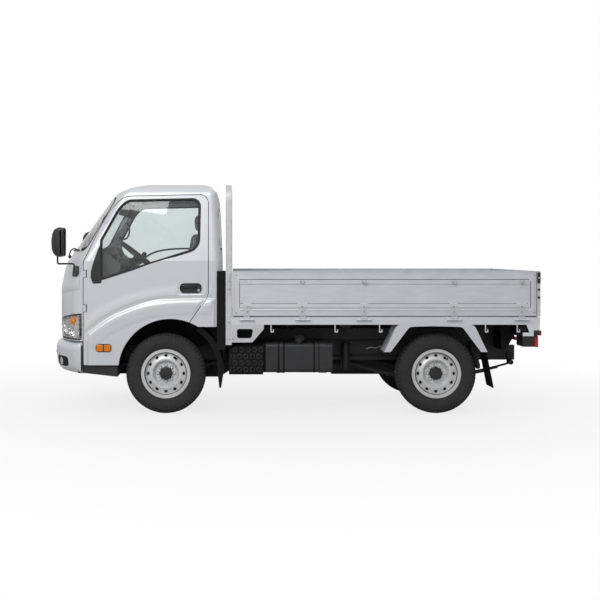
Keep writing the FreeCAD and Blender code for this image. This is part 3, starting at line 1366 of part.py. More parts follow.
def guard_frame():
    """The headboard: side posts down to the frame brackets, a hoop above with bars, and the lower panel."""
    x0 = DECK_FRONT_X
    depth = V(HEADBOARD_T, 0, 0)
    half = DECK_HALF_W
    pairs = [(-half, POST_BOTTOM_Z), (-half, GUARD_TOP_Z), (half, GUARD_TOP_Z), (half, POST_BOTTOM_Z)]
    inner_half = half - GUARD_TUBE
    inner = [
        (-inner_half, POST_BOTTOM_Z - OVERRUN), (-inner_half, GUARD_TOP_Z - GUARD_TUBE),
        (inner_half, GUARD_TOP_Z - GUARD_TUBE), (inner_half, POST_BOTTOM_Z - OVERRUN),
    ]
    inner_r = GUARD_CORNER_R - GUARD_TUBE
    hoop = prism(rounded(front(pairs, x0), [0, GUARD_CORNER_R, GUARD_CORNER_R, 0]), depth)
    hoop = hoop.cut(prism(rounded(front(inner, x0), [0, inner_r, inner_r, 0]), depth))
    shapes = [hoop]
    middle_x = x0 + HEADBOARD_T / 2
    bar = GUARD_BAR / 2
    low_bar = GATE_TOP_Z - GUARD_BAR
    for share in GUARD_BAR_SHARES:
        z = GATE_TOP_Z + share * (GUARD_TOP_Z - GATE_TOP_Z)
        shapes.append(box(middle_x - bar, -inner_half, z - bar, middle_x + bar, inner_half, z + bar))
    for i in range(GUARD_UPRIGHTS):
        y = inner_half * 2 * ((i + 1) / (GUARD_UPRIGHTS + 1) - 0.5)
        shapes.append(box(middle_x - bar, y - bar, low_bar, middle_x + bar, y + bar,
            GUARD_TOP_Z - GUARD_TUBE))
    floor_bottom = DECK_TOP_Z - SIDE_RAIL_H
    shapes.append(box(
        x0 + HEADBOARD_T - HEAD_PANEL_T, -inner_half, floor_bottom,
        x0 + HEADBOARD_T, inner_half, GATE_TOP_Z,
    ))
    shapes.append(box(x0, -inner_half, low_bar, x0 + HEADBOARD_T, inner_half, GATE_TOP_Z))
    shapes.append(box(x0, -inner_half, floor_bottom, x0 + HEADBOARD_T, inner_half, DECK_TOP_Z))
    rail_bottom = DECK_TOP_Z - SIDE_RAIL_H
    plate_x = x0 + HEADBOARD_T
    slope = BRACKET_L - BRACKET_H * 0.65
    plate = [
        (plate_x - HEADBOARD_T / 2, rail_bottom), (plate_x + BRACKET_L, rail_bottom),
        (plate_x + BRACKET_L, rail_bottom - BRACKET_H * 0.24),
        (plate_x + slope, rail_bottom - BRACKET_H),
        (plate_x - HEADBOARD_T / 2, rail_bottom - BRACKET_H),
    ]
    radii = [0, 0, BRACKET_HOLE_R, BRACKET_HOLE_R, 0]
    hole_x = plate_x + BRACKET_HOLE_L * 0.32
    hole_z = rail_bottom - BRACKET_H * 0.5
    hole = [
        (hole_x, hole_z + BRACKET_HOLE_H / 2), (hole_x + BRACKET_HOLE_L, hole_z + BRACKET_HOLE_H / 2),
        (hole_x + BRACKET_HOLE_L * 0.86, hole_z - BRACKET_HOLE_H / 2),
        (hole_x, hole_z - BRACKET_HOLE_H / 2),
    ]
    for out in SIDES.values():
        inward = V(0, -out * BRACKET_T, 0)
        sheet = prism(rounded(side(plate, out * half), radii), inward)
        window = prism(rounded(side(hole, out * half), [BRACKET_HOLE_R] * 4), inward)
        shapes.append(sheet.cut(window))
        lever = (GATE_TOP_Z + GATE_BOTTOM_Z + LEVER_H) / 2
        shapes.append(box(
            middle_x - LEVER_W / 2, out * (half - LEVER_T), lever - LEVER_H / 2,
            middle_x + LEVER_W / 2, out * (half + LEVER_T), lever + LEVER_H / 2,
        ))
    return fused(shapes)


def fuel_tank():
    """The strapped fuel tank with its filler, and the arms that hang it on the frame."""
    y0, y1 = -TANK_OUT_Y, -TANK_OUT_Y + TANK_W
    top = TANK_BOTTOM_Z + TANK_H
    pairs = [(y0, TANK_BOTTOM_Z), (y0, top), (y1, top), (y1, TANK_BOTTOM_Z)]
    body = prism(rounded(front(pairs, TANK_X), [TANK_R] * 4), V(TANK_L, 0, 0))
    shapes = [body]
    band = rounded(front(offset(pairs, STRAP_BAND_T), 0), [TANK_R + STRAP_BAND_T] * 4)
    for share in TANK_STRAP_SHARES:
        x = TANK_X + share * TANK_L - STRAP_BAND_W / 2
        strap = prism(band, V(STRAP_BAND_W, 0, 0))
        strap.translate(V(x, 0, 0))
        shapes.append(strap)
        shapes.append(box(
            x, y1 - TANK_R, RAIL_BOTTOM_Z, x + STRAP_BAND_W, -RAIL_Y, RAIL_BOTTOM_Z + RAIL_W,
        ))
    neck = V(TANK_X + FILLER_SHARE * TANK_L, y0 + FILLER_R * 1.4, top - OVERRUN)
    lean = V(0, -FILLER_R * 0.7, FILLER_R * 1.6)
    shapes.append(rod(FILLER_R * 0.75, neck, neck + lean))
    shapes.append(rod(FILLER_R, neck + lean * 0.8, neck + lean * 0.8 + lean.normalize() * FILLER_CAP_T))
    return fused(shapes)


def battery_box():
    """The ribbed dark box between cab and tank, on the frame's near side."""
    y0, y1 = -BOX_OUT_Y, -BOX_OUT_Y + BOX_W
    body = box(BOX_X, y0, BOX_BOTTOM_Z, BOX_X + BOX_L, y1, BOX_BOTTOM_Z + BOX_H)
    lengthwise = [e for e in body.Edges if abs(e.tangentAt(0).x) > 0.9]
    shapes = [body.makeFillet(BOX_R, lengthwise)]
    for i in range(BOX_RIBS):
        x = BOX_X + BOX_L * (i + 0.5) / BOX_RIBS
        shapes.append(box(
            x - BOX_RIB_T / 2, y0 - BOX_RIB_T, BOX_BOTTOM_Z + BOX_R,
            x + BOX_RIB_T / 2, y0 + BOX_RIB_T, BOX_BOTTOM_Z + BOX_H - BOX_R,
        ))
    shapes.append(box(BOX_X + BOX_L / 3, y1, RAIL_BOTTOM_Z, BOX_X + BOX_L * 2 / 3, -RAIL_Y,
        RAIL_BOTTOM_Z + RAIL_W))
    return fused(shapes)


def intake_duct():
    """The upright air duct between the cab and the headboard."""
    x1 = DECK_FRONT_X - FIT
    body = box(CAB_BACK_X - DUCT_WRAP, -DUCT_OUT_Y, RAIL_TOP_Z, x1, -DUCT_IN_Y,
        DUCT_TOP_Z).cut(cab_form(-FIT))
    foot = box(CAB_BACK_X + FIT, -DUCT_IN_Y - OVERRUN, RAIL_TOP_Z, x1, -RAIL_Y + RAIL_W,
        RAIL_TOP_Z + RAIL_W)
    return fused([body, foot])


def exhaust():
    """The silencer and its pipes, hung inside the right-hand frame rail."""
    x0, y, z = MUFFLER_X, MUFFLER_Y, MUFFLER_Z
    silencer = rod(MUFFLER_R, V(x0, y, z), V(x0 + MUFFLER_L, y, z))
    ends = [e for e in silencer.Edges if e.BoundBox.XLength < 1e-3]
    silencer = silencer.makeFillet(MUFFLER_R / 4, ends)
    front_pipe = rod(PIPE_R, V(x0 - MUFFLER_L * 0.55, y, z), V(x0 + OVERRUN, y, z))
    tail_a = V(x0 + MUFFLER_L - OVERRUN, y, z)
    tail_b = V(x0 + MUFFLER_L * 1.15, y, z)
    tail_c = V(x0 + MUFFLER_L * 1.25, y, z - MUFFLER_R)
    shapes = [silencer, front_pipe, rod(PIPE_R, tail_a, tail_b), Part.makeSphere(PIPE_R, tail_b)]
    shapes.append(rod(PIPE_R, tail_b, tail_c))
    hang = box(
        x0 + MUFFLER_L / 2, y + MUFFLER_R / 2, z + PIPE_R,
        x0 + MUFFLER_L / 2 + HANGER_W, RAIL_Y - RAIL_W / 2, RAIL_BOTTOM_Z - FIT,
    )
    return fused(shapes + [hang])


def engine_block():
    """The engine and gearbox as plain masses between the rails."""
    x0 = FRONT_AXLE_X - ENGINE_L * 0.35
    half = ENGINE_W / 2
    block = box(x0, -half, ENGINE_TOP_Z - ENGINE_H, x0 + ENGINE_L, half, ENGINE_TOP_Z)
    z = ENGINE_TOP_Z - ENGINE_H * 0.7
    box_start = V(x0 + ENGINE_L - OVERRUN, 0, z)
    gearbox = Part.makeCone(GEARBOX_R, GEARBOX_END_R, GEARBOX_L, box_start, AXIS_X)
    mounts = []
    for out in SIDES.values():
        mounts.append(box(
            x0 + ENGINE_L * 0.4, out * (half - OVERRUN), RAIL_TOP_Z,
            x0 + ENGINE_L * 0.5, out * (RAIL_Y - RAIL_T), RAIL_TOP_Z + RAIL_W / 2,
        ))
    return fused([block, gearbox] + mounts)


def propeller_shaft():
    """The shaft from the gearbox to the rear axle, with a yoke at each end."""
    z0 = ENGINE_TOP_Z - ENGINE_H * 0.7
    start = V(FRONT_AXLE_X + ENGINE_L * 0.65 - OVERRUN + GEARBOX_L, 0, z0)
    end = V(REAR_AXLE_X - DIFF_NOSE_L, 0, AXLE_Z)
    run = (end - start).normalize()
    tube = rod(SHAFT_R, start + run * SHAFT_YOKE_L, end - run * SHAFT_YOKE_L)
    fore = rod(SHAFT_YOKE_R, start, start + AXIS_X * SHAFT_YOKE_L)
    aft = rod(SHAFT_YOKE_R, end - AXIS_X * SHAFT_YOKE_L, end)
    return fused([tube, fore, aft, rod(SHAFT_R, start + run * SHAFT_R, end - run * SHAFT_R)])


def fender_outline():
    """The rear mudguard's outer edge, from its front foot over the crest to its rear foot."""
    return [
        (FENDER_FRONT_X, FENDER_LEG_Z),
        (FENDER_FRONT_X + FENDER_SHOULDER_IN, FENDER_SHOULDER_Z),
        (FENDER_CREST_X, FENDER_CREST_Z),
        (FENDER_REAR_X - FENDER_SHOULDER_IN, FENDER_SHOULDER_Z),
        (FENDER_REAR_X, FENDER_LEG_Z),
    ]


def rear_fenders():
    """The painted mudguard over each rear wheel: a face plate and the shelf behind it."""
    edge = fender_outline()
    inside = [
        (FENDER_REAR_X - FENDER_LEG_W, FENDER_LEG_Z),
        (FENDER_REAR_X - FENDER_SHOULDER_IN - FENDER_TOP_W, FENDER_SHOULDER_Z - FENDER_T),
        (FENDER_CREST_X, FENDER_SHOULDER_Z),
        (FENDER_FRONT_X + FENDER_SHOULDER_IN + FENDER_TOP_W, FENDER_SHOULDER_Z - FENDER_T),
        (FENDER_FRONT_X + FENDER_LEG_W, FENDER_LEG_Z),
    ]
    round_r = FENDER_SHOULDER_IN / 2
    radii = [0, round_r, FENDER_TOP_W * 4, round_r, 0, 0, round_r, 0, round_r, 0]
    face = prism(rounded(side(edge + inside, -GUARD_OUT_Y), radii), V(0, FENDER_T, 0))
    shelf_top = DECK_TOP_Z - SIDE_RAIL_H - FIT
    outer = [
        (FENDER_FRONT_X, FENDER_LEG_Z), (FENDER_FRONT_X + FENDER_SHOULDER_IN, shelf_top),
        (FENDER_REAR_X - FENDER_SHOULDER_IN, shelf_top), (FENDER_REAR_X, FENDER_LEG_Z),
    ]
    inner = [
        (FENDER_REAR_X - FENDER_T, FENDER_LEG_Z),
        (FENDER_REAR_X - FENDER_SHOULDER_IN - FENDER_T, shelf_top - FENDER_T),
        (FENDER_FRONT_X + FENDER_SHOULDER_IN + FENDER_T, shelf_top - FENDER_T),
        (FENDER_FRONT_X + FENDER_T, FENDER_LEG_Z),
    ]
    radii = [0, round_r, round_r, 0, 0, round_r, round_r, 0]
    shelf = prism(rounded(side(outer + inner, -GUARD_OUT_Y + FENDER_T), radii),
        V(0, GUARD_OUT_Y - FENDER_T - FENDER_IN_Y, 0))
    return both(face.fuse(shelf).removeSplitter())


def mud_flaps():
    """Both rear flaps, each seated on the inside of its mudguard."""
    lean = REAR_FLAP_LEAN / REAR_FLAP_L
    top = FENDER_LEG_Z - FIT
    foot = top - REAR_FLAP_L
    x = FENDER_REAR_X - FENDER_T - FLAP_T
    pairs = [(x, top), (x + FLAP_T, top), (x + FLAP_T + lean * REAR_FLAP_L, foot),
        (x + lean * REAR_FLAP_L, foot)]
    depth = GUARD_OUT_Y - FENDER_T * 2 - FENDER_IN_Y
    flap = prism(rounded(side(pairs, -GUARD_OUT_Y + FENDER_T * 2), [0] * 4), V(0, depth, 0))
    return both(flap)


def tail_lamps():
    """The two rear lamp units with the bar and brackets that hang them from the deck's rear rail."""
    z0 = TAIL_LAMP_Z
    shapes = []
    bar = box(
        LAMP_BAR_X, -TAIL_LAMP_Y - TAIL_LAMP_W, z0 + TAIL_LAMP_H,
        LAMP_BAR_X + BRACKET_T * 5, TAIL_LAMP_Y + TAIL_LAMP_W, z0 + TAIL_LAMP_H + BRACKET_T * 5,
    )
    shapes.append(bar)
    rail_bottom = DECK_TOP_Z - SIDE_RAIL_H
    for out in SIDES.values():
        y = out * TAIL_LAMP_Y
        unit = soft_box(
            LAMP_BAR_X, y, z0, LAMP_BAR_X + TAIL_LAMP_D, y + out * TAIL_LAMP_W,
            z0 + TAIL_LAMP_H + BRACKET_T, TAIL_LAMP_R,
        )
        shapes.append(unit)
        plate_x = LAMP_BAR_X + LAMP_PLATE_IN
        run = DECK_REAR_X + GATE_T - plate_x
        drop = rail_bottom - z0 - TAIL_LAMP_H
        pairs = [(plate_x + along * run, rail_bottom - down * drop) for along,
            down in LAMP_PLATE_SHARES]
        plate = prism(rounded(side(pairs, out * (DECK_HALF_W - BRACKET_T)), [0] * 5),
            V(0, out * BRACKET_T, 0))
        shapes.append(plate)
        web = box(
            LAMP_BAR_X, out * (TAIL_LAMP_Y + TAIL_LAMP_W - BRACKET_T), z0 + TAIL_LAMP_H,
            LAMP_BAR_X + TAIL_LAMP_D * 0.7, out * DECK_HALF_W, z0 + TAIL_LAMP_H + BRACKET_T * 5,
        )
        shapes.append(web)
        marker_x = DECK_REAR_X + GATE_T + OVERRUN / 2
        marker_z = z0 + TAIL_LAMP_H + GAP
        shapes.append(soft_box(
            marker_x - MARKER_L, out * (DECK_HALF_W + GAP), marker_z,
            marker_x, out * (DECK_HALF_W + GAP - MARKER_W), marker_z + MARKER_H, MARKER_R,
        ))
    return fused(shapes)


def build():
    """Every piece of the truck, by name."""
    pieces = {}
    pieces.update(cab_pieces())
    pieces["front_bumper"] = front_bumper()
    pieces["cab_floor"] = cab_floor()
    pieces["cab_steps"] = cab_steps()
    pieces["arch_liners"] = arch_liners()
    pieces["seats"] = seats()
    pieces["dashboard"] = dashboard()
    pieces["steering_wheel"] = steering_wheel()
    pieces["mirrors"] = mirrors()
    pieces["ladder_frame"] = ladder_frame()
    pieces["front_axle"] = front_axle()
    pieces["rear_axle"] = rear_axle()
    pieces["leaf_springs"] = leaf_springs()
    pieces["propeller_shaft"] = propeller_shaft()
    pieces["engine_block"] = engine_block()
    pieces["fuel_tank"] = fuel_tank()
    pieces["battery_box"] = battery_box()
    pieces["intake_duct"] = intake_duct()
    pieces["exhaust"] = exhaust()
    pieces["deck"] = deck()
    pieces["guard_frame"] = guard_frame()
    gate = side_gate()
    pieces["side_gate_left"] = gate
    pieces["side_gate_right"] = mirrored(gate)
    pieces["tail_gate"] = tail_gate()
    pieces["rear_fenders"] = rear_fenders()
    pieces["mud_flaps"] = mud_flaps()
    pieces["tail_lamps"] = tail_lamps()
    for name, out in SIDES.items():
        pieces["knuckle_" + name] = knuckle(out)
        pieces["tyre_front_" + name] = tyre(FRONT_AXLE_X, out * WHEEL_Y)
        pieces["rim_front_" + name] = wheel_disc(FRONT_AXLE_X, out * WHEEL_Y, out)
        pieces["tyre_rear_" + name] = tyre(REAR_AXLE_X, out * WHEEL_Y)
        pieces["rim_rear_" + name] = wheel_disc(REAR_AXLE_X, out * WHEEL_Y, out)
    return pieces


def main():
    os.makedirs("parts", exist_ok=True)
    for name, shape in build().items():
        solids = shape.Solids
        print(name, len(solids), shape.isValid(), round(shape.Volume))
        shape.exportStep("parts/" + name + ".step")


main()
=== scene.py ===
"""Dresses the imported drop-side light truck and sets it in a plain studio.

Lengths are in metres in the model's own frame: +X to the tail, +Y to the right-hand side, +Z up.
"""

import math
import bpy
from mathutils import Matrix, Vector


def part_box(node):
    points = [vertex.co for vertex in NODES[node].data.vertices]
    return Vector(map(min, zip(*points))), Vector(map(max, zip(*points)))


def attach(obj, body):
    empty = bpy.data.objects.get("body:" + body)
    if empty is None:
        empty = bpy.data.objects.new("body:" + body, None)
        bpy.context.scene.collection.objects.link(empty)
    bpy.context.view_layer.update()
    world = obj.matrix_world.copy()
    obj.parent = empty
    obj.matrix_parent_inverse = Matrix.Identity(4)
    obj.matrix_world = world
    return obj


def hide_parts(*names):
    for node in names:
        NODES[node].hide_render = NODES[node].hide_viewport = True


bl_info = {
    "name": "Drop-side light truck",
    "version": (1, 0, 0),
    "blender": (4, 5, 0),
    "location": "3D View > Sidebar > Truck",
    "description": "Finishes and details for the drop-side light truck",
    "category": "Object",
}

from contextlib import contextmanager

import bmesh
import bpy
from bpy.props import FloatProperty, FloatVectorProperty, PointerProperty
from bpy.types import Operator, Panel, PropertyGroup
from mathutils import Vector, noise
from mathutils.bvhtree import BVHTree

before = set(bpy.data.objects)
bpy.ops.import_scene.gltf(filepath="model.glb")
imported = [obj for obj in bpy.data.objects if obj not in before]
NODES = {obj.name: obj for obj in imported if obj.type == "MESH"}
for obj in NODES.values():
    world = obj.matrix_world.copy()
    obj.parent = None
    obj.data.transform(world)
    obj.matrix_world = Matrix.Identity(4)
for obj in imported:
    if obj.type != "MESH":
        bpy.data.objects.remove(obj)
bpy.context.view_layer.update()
SIDES = {"left": -1, "right": 1}
CORNERS = ["%s_%s" % (end, side) for end in ("front", "rear") for side in SIDES]
BODY = "truck"

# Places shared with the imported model, in metres
DOOR_FRONT, DOOR_LENGTH, DOOR_BASE, DOOR_HEIGHT = -1.784, 1.051, 0.42, 1.444
DOOR_OUT = 0.835
FAR_OUT, AHEAD_X = 1.5, -3.0
ARCH_X, ARCH_Z, ARCH_R = -1.05, 0.37, 0.441
DECK_RAIL_LOW_Z, DECK_RAIL_IN_Y = 0.795, 0.812
DOOR_SHARES = (
    (0.0, 0.0, 0.01), (0.0, 0.604, 0.04), (0.177, 0.884, 0.42), (0.318, 0.988, 0.15),
    (1.0, 1.0, 0.07), (1.0, 0.409, 0.08), (0.79, 0.19, 0.02), (0.4, 0.0, 0.02),
)
WINDOW_SHARES = (
    (0.137, 0.499, 0.01), (0.137, 0.731, 0.03), (0.283, 0.925, 0.23),
    (0.354, 0.966, 0.10), (0.936, 0.975, 0.06), (0.929, 0.682, 0.11),
)
QUARTER_PANEL = [
    (-1.705, 1.106), (-1.7245, 1.160), (-1.7215, 1.213), (-1.699, 1.296), (-1.667, 1.390), (-1.6335, 1.458),
    (-1.6325, 1.112),
]
QUARTER_RADII = [0.020, 0.03, 0.05, 0.10, 0.10, 0.003, 0.008]
SCREEN = [(-0.770, 1.385), (-0.640, 1.838), (0.640, 1.838), (0.770, 1.385)]
SCREEN_R = 0.06
REAR_WINDOW = [(-0.56, 1.40), (-0.56, 1.76), (0.56, 1.76), (0.56, 1.40)]
REAR_WINDOW_R = 0.06
HANDLE = [(-0.971, 1.028), (-0.786, 1.028), (-0.786, 1.112), (-0.971, 1.112)]
HANDLE_R = 0.036
REPEATER = [(-1.674, 0.536), (-1.552, 0.536), (-1.552, 0.594), (-1.674, 0.594)]
MIRROR_Y, MIRROR_Z = 0.940, 1.458
MIRROR_HALF_W, MIRROR_HALF_H = 0.073, 0.110
MIRROR_BACK_X = -1.9345

# Tyres: half a section, each point with its offset from the middle plane, its radius and its kind: plain, in
# a shoulder lug or on a groove's edge
PLAIN, LUG, GROOVE = range(3)
TYRE_PROFILE = (
    (0.0, 0.3405, PLAIN), (0.0145, 0.3403, GROOVE), (0.0165, 0.3330, GROOVE), (0.0225, 0.3330, GROOVE),
    (0.0245, 0.3398, GROOVE), (0.0420, 0.3388, GROOVE), (0.0440, 0.3318, GROOVE), (0.0495, 0.3315, GROOVE),
    (0.0515, 0.3380, GROOVE), (0.0640, 0.3362, LUG), (0.0740, 0.3318, LUG), (0.0810, 0.3240, LUG),
    (0.0862, 0.3130, LUG), (0.0880, 0.3030, PLAIN), (0.0902, 0.3020, PLAIN), (0.0922, 0.2900, PLAIN),
    (0.0935, 0.2760, PLAIN), (0.0938, 0.2740, PLAIN), (0.0930, 0.2600, PLAIN), (0.0905, 0.2440, PLAIN),
    (0.0865, 0.2310, PLAIN), (0.0862, 0.2285, PLAIN), (0.0830, 0.2275, PLAIN), (0.0775, 0.2180, PLAIN),
    (0.0740, 0.2105, PLAIN), (0.0725, 0.2060, PLAIN), (0.0725, 0.1905, PLAIN),
)
TYRE_LUGS = 64
LUG_PHASES = (0.0, 0.60, 0.66, 0.94)
LUG_DEPTH = 0.008
ZIGZAG = 0.0012
DISC_FACE_OUT = 0.023
HUB_CAP = (
    (0.0, -0.002), (0.0535, -0.002), (0.0535, 0.030), (0.0520, 0.0352), (0.048, 0.0372), (0.038, 0.0378),
    (0.0365, 0.0366), (0.030, 0.0385), (0.018, 0.0392), (0.0165, 0.0382), (0.0, 0.0388),
)
VALVE_R, VALVE_OUT, VALVE_LEAN, VALVE_THICK = 0.165, 0.062, (0.012, 0.018, 0.016), 0.005


# Mesh helpers

# The slot for each finish; a finish that isn't named here has none
SLOTS = {
    "body": "body_paint", "gate": "body_paint", "deck_floor": "deck_floor", "wheel": "wheel_paint",
    "rubber": "tyre", "cloth": "seat_fabric", "cast": "cast", "chassis": "chassis_paint",
    "black_plastic": "black_plastic", "gloss_black": "black_plastic", "pod_black": "black_plastic",
    "black_rubber": "black_plastic", "shade_darkened_black": "black_plastic", "grey_plastic": "grey_plastic",
    "lens": "lamp_lens", "amber": "lamp_lens", "red": "tail_lens",
}


def finish_mesh(bm, name, finish, body=BODY, slot=None, sharp=35.0, bevel=0.0, segments=2):
    """Turns a bmesh into a smooth-shaded piece that rides on a body."""
    bmesh.ops.remove_doubles(bm, verts=bm.verts, dist=1e-5)
    bmesh.ops.recalc_face_normals(bm, faces=bm.faces)
    mesh = bpy.data.meshes.new(name)
    bm.to_mesh(mesh)
    bm.free()
    obj = bpy.data.objects.new(name, mesh)
    bpy.context.scene.collection.objects.link(obj)
    mesh.materials.append(MATERIALS[finish])
    if bevel > 0:
        mod = obj.modifiers.new("rounding", "BEVEL")
        mod.width = bevel
        mod.segments = segments
        mod.limit_method = "ANGLE"
        mod.angle_limit = math.radians(30)
        mod.use_clamp_overlap = True
        with bpy.context.temp_override(object=obj, active_object=obj, selected_objects=[obj]):
            bpy.ops.object.modifier_apply(modifier=mod.name)
    mesh = obj.data
    for face in mesh.polygons:
        face.use_smooth = True
    mesh.set_sharp_from_angle(angle=math.radians(sharp))
    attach(obj, body)
    slot = slot or SLOTS.get(finish)
    return obj


@contextmanager
def piece(name, finish, body=BODY, stands_for=None, **edges):
    """A new mesh to fill in a with block, which then becomes a piece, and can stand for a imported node."""
    bm = bmesh.new()
    yield bm
    obj = finish_mesh(bm, name, finish, body, **edges)
    if stands_for:
        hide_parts(stands_for)


def runs_of(rows):
    """The stretches of at least two rows between the gaps, which are None."""
    runs = [[]]
    for row in rows:
        if row is None:
            runs.append([])
        else:
            runs[-1].append(row)
    return [run for run in runs if len(run) > 1]


def add_skin(bm, rings, closed_ring=True, cap=True):
    """Skins rows of points, each row a ring, into faces. Returns the vertex rows."""
    rows = [[bm.verts.new(p) for p in ring] for ring in rings]
    for a, b in zip(rows, rows[1:]):
        n = len(a)
        for i in range(n if closed_ring else n - 1):
            j = (i + 1) % n
            bm.faces.new((a[i], a[j], b[j], b[i]))
    if cap:
        bm.faces.new(rows[0])
        bm.faces.new(list(reversed(rows[-1])))
    return rows


def add_prism(bm, outline, move):
    """Adds a closed prism: a flat outline of points, and its copy moved by a vector."""
    lower = [bm.verts.new(p) for p in outline]
    upper = [bm.verts.new(Vector(p) + Vector(move)) for p in outline]
    n = len(lower)
    bm.faces.new(lower)
    bm.faces.new(list(reversed(upper)))
    for i in range(n):
        j = (i + 1) % n
        bm.faces.new((lower[i], upper[i], upper[j], lower[j]))


def add_box(bm, low, high):
    """Adds a block between two corners."""
    (x0, y0, z0), (x1, y1, z1) = low, high
    add_prism(bm, [(x0, y0, z0), (x1, y0, z0), (x1, y1, z0), (x0, y1, z0)], (0, 0, z1 - z0))


def rectangle(x0, z0, x1, z1):
    """A rectangle's corners, from its lowest place to its highest."""
    return [(x0, z0), (x1, z0), (x1, z1), (x0, z1)]


def fan_out(degrees, side):
    """The level way out at an angle from straight ahead toward one side."""
    angle = math.radians(degrees)
    return Vector((-math.cos(angle), side * math.sin(angle), 0))


def rounded(points, radii, steps=6):
    """A flat 2D outline with each corner rounded to its own radius."""
    out = []
    n = len(points)
    for i in range(n):
        p = Vector(points[i])
        a = (Vector(points[i - 1]) - p).normalized()
        b = (Vector(points[(i + 1) % n]) - p).normalized()
        turn = math.pi - a.angle(b)
        r = radii[i] if hasattr(radii, "__len__") else radii
        if r <= 0 or turn < 1e-3:
            out.append(tuple(p))
            continue
        run = r * math.tan(turn / 2)
        start, end = p + a * run, p + b * run
        centre = p + (a + b).normalized() * (r / math.cos(turn / 2))
        u, v = (start - centre), (end - centre)
        for k in range(steps + 1):
            t = k / steps
            w = u * math.sin((1 - t) * turn) + v * math.sin(t * turn)
            out.append(tuple(centre + w / math.sin(turn)))
    return out


def xz(points, y):
    """2D points as an upright outline along the truck at offset y."""
    return [(px, y, pz) for px, pz in points]


def yz(points, x):
    """2D points as an upright outline across the truck at place x."""
    return [(x, py, pz) for py, pz in points]


def smooth_path(points, steps=8):
    """A Catmull-Rom curve through the points."""
    pts = [Vector(p) for p in points]
    pts = [pts[0] * 2 - pts[1]] + pts + [pts[-1] * 2 - pts[-2]]
    out = []
    for i in range(1, len(pts) - 2):
        p0, p1, p2, p3 = pts[i - 1:i + 3]
        for k in range(steps):
            t = k / steps
            out.append(0.5 * (2 * p1 + (p2 - p0) * t + (2 * p0 - 5 * p1 + 4 * p2 - p3) * t * t
                              + (3 * p1 - p0 - 3 * p2 + p3) * t ** 3))
    out.append(pts[-2])
    return out


def add_tube(bm, path, radius, sides=14):
    """Adds a closed round tube along a path of points."""
    path = [Vector(p) for p in path]
    rings = []
    side = None
    for i, p in enumerate(path):
        ahead = path[min(i + 1, len(path) - 1)] - path[max(i - 1, 0)]
        ahead.normalize()
        if side is None:
            side = ahead.orthogonal().normalized()
        side = (side - ahead * side.dot(ahead)).normalized()
        other = ahead.cross(side)
        rings.append([p + (side * math.cos(t) + other * math.sin(t)) * radius
                      for t in (2 * math.pi * k / sides for k in range(sides))])
    add_skin(bm, rings)


def spokes(axis, shares):
    """The ways out from an axis, at shares of a full turn round it."""
    u = axis.orthogonal().normalized()
    v = axis.cross(u)
    return [u * math.cos(2 * math.pi * t) + v * math.sin(2 * math.pi * t) for t in shares]


def add_lathe(bm, centre, axis, profile, steps=48):
    """Turns a profile of (radius, distance along the axis) round an axis through the centre."""
    axis, centre = Vector(axis).normalized(), Vector(centre)
    ways = spokes(axis, [k / steps for k in range(steps)])
    add_skin(bm, [[centre + axis * d + out * max(r, 1e-5) for out in ways] for r, d in profile])


def add_closed_grid(bm, rings):
    """Skins closed rings of points that themselves go round in a circle."""
    grid = [[bm.verts.new(p) for p in ring] for ring in rings]
    for a, b in zip(grid, grid[1:] + grid[:1]):
        for i in range(len(a)):
            j = (i + 1) % len(a)
            bm.faces.new((a[i], a[j], b[j], b[i]))


def add_ring(bm, centre, axis, profile, steps=48):
    """Turns a closed profile of (radius, distance along the axis) round an axis, leaving the middle open."""
    axis, centre = Vector(axis).normalized(), Vector(centre)
    ways = spokes(axis, [k / steps for k in range(steps)])
    add_closed_grid(bm, [[centre + axis * d + out * r for r, d in profile] for out in ways])


def mirrored(half):
    """Rows that start at a middle, with their mirror image put before them."""
    return [(-place, *rest) for place, *rest in reversed(half)] + list(half[1:])


def ramp_of(places, at):
    """Reads a row of (place, value) pairs, eased between the places."""
    if at <= places[0][0]:
        return places[0][1]
    for (a, v), (b, w) in zip(places, places[1:]):
        if at <= b:
            t = (at - a) / (b - a)
            t = t * t * (3 - 2 * t)
            return v + (w - v) * t
    return places[-1][1]


def add_sheet(bm, grid, under):
    """Closes a grid of points, some of them None, into a thin sheet; under gives the point below each one."""
    top, low = {}, {}
    for i, row in enumerate(grid):
        for k, p in enumerate(row):
            if p is not None:
                top[i, k] = bm.verts.new(p)
                low[i, k] = bm.verts.new(under(p))
    edges = {}
    for i in range(len(grid) - 1):
        for k in range(len(grid[0]) - 1):
            cell = ((i, k), (i + 1, k), (i + 1, k + 1), (i, k + 1))
            if all(c in top for c in cell):
                bm.faces.new([top[c] for c in cell])
                bm.faces.new([low[c] for c in reversed(cell)])
                for a, b in zip(cell, cell[1:] + cell[:1]):
                    if (b, a) in edges:
                        del edges[b, a]
                    else:
                        edges[a, b] = True
    for a, b in edges:
        bm.faces.new((top[b], top[a], low[a], low[b]))
    bmesh.ops.delete(bm, geom=[v for v in bm.verts if not v.link_faces], context="VERTS")


# Materials


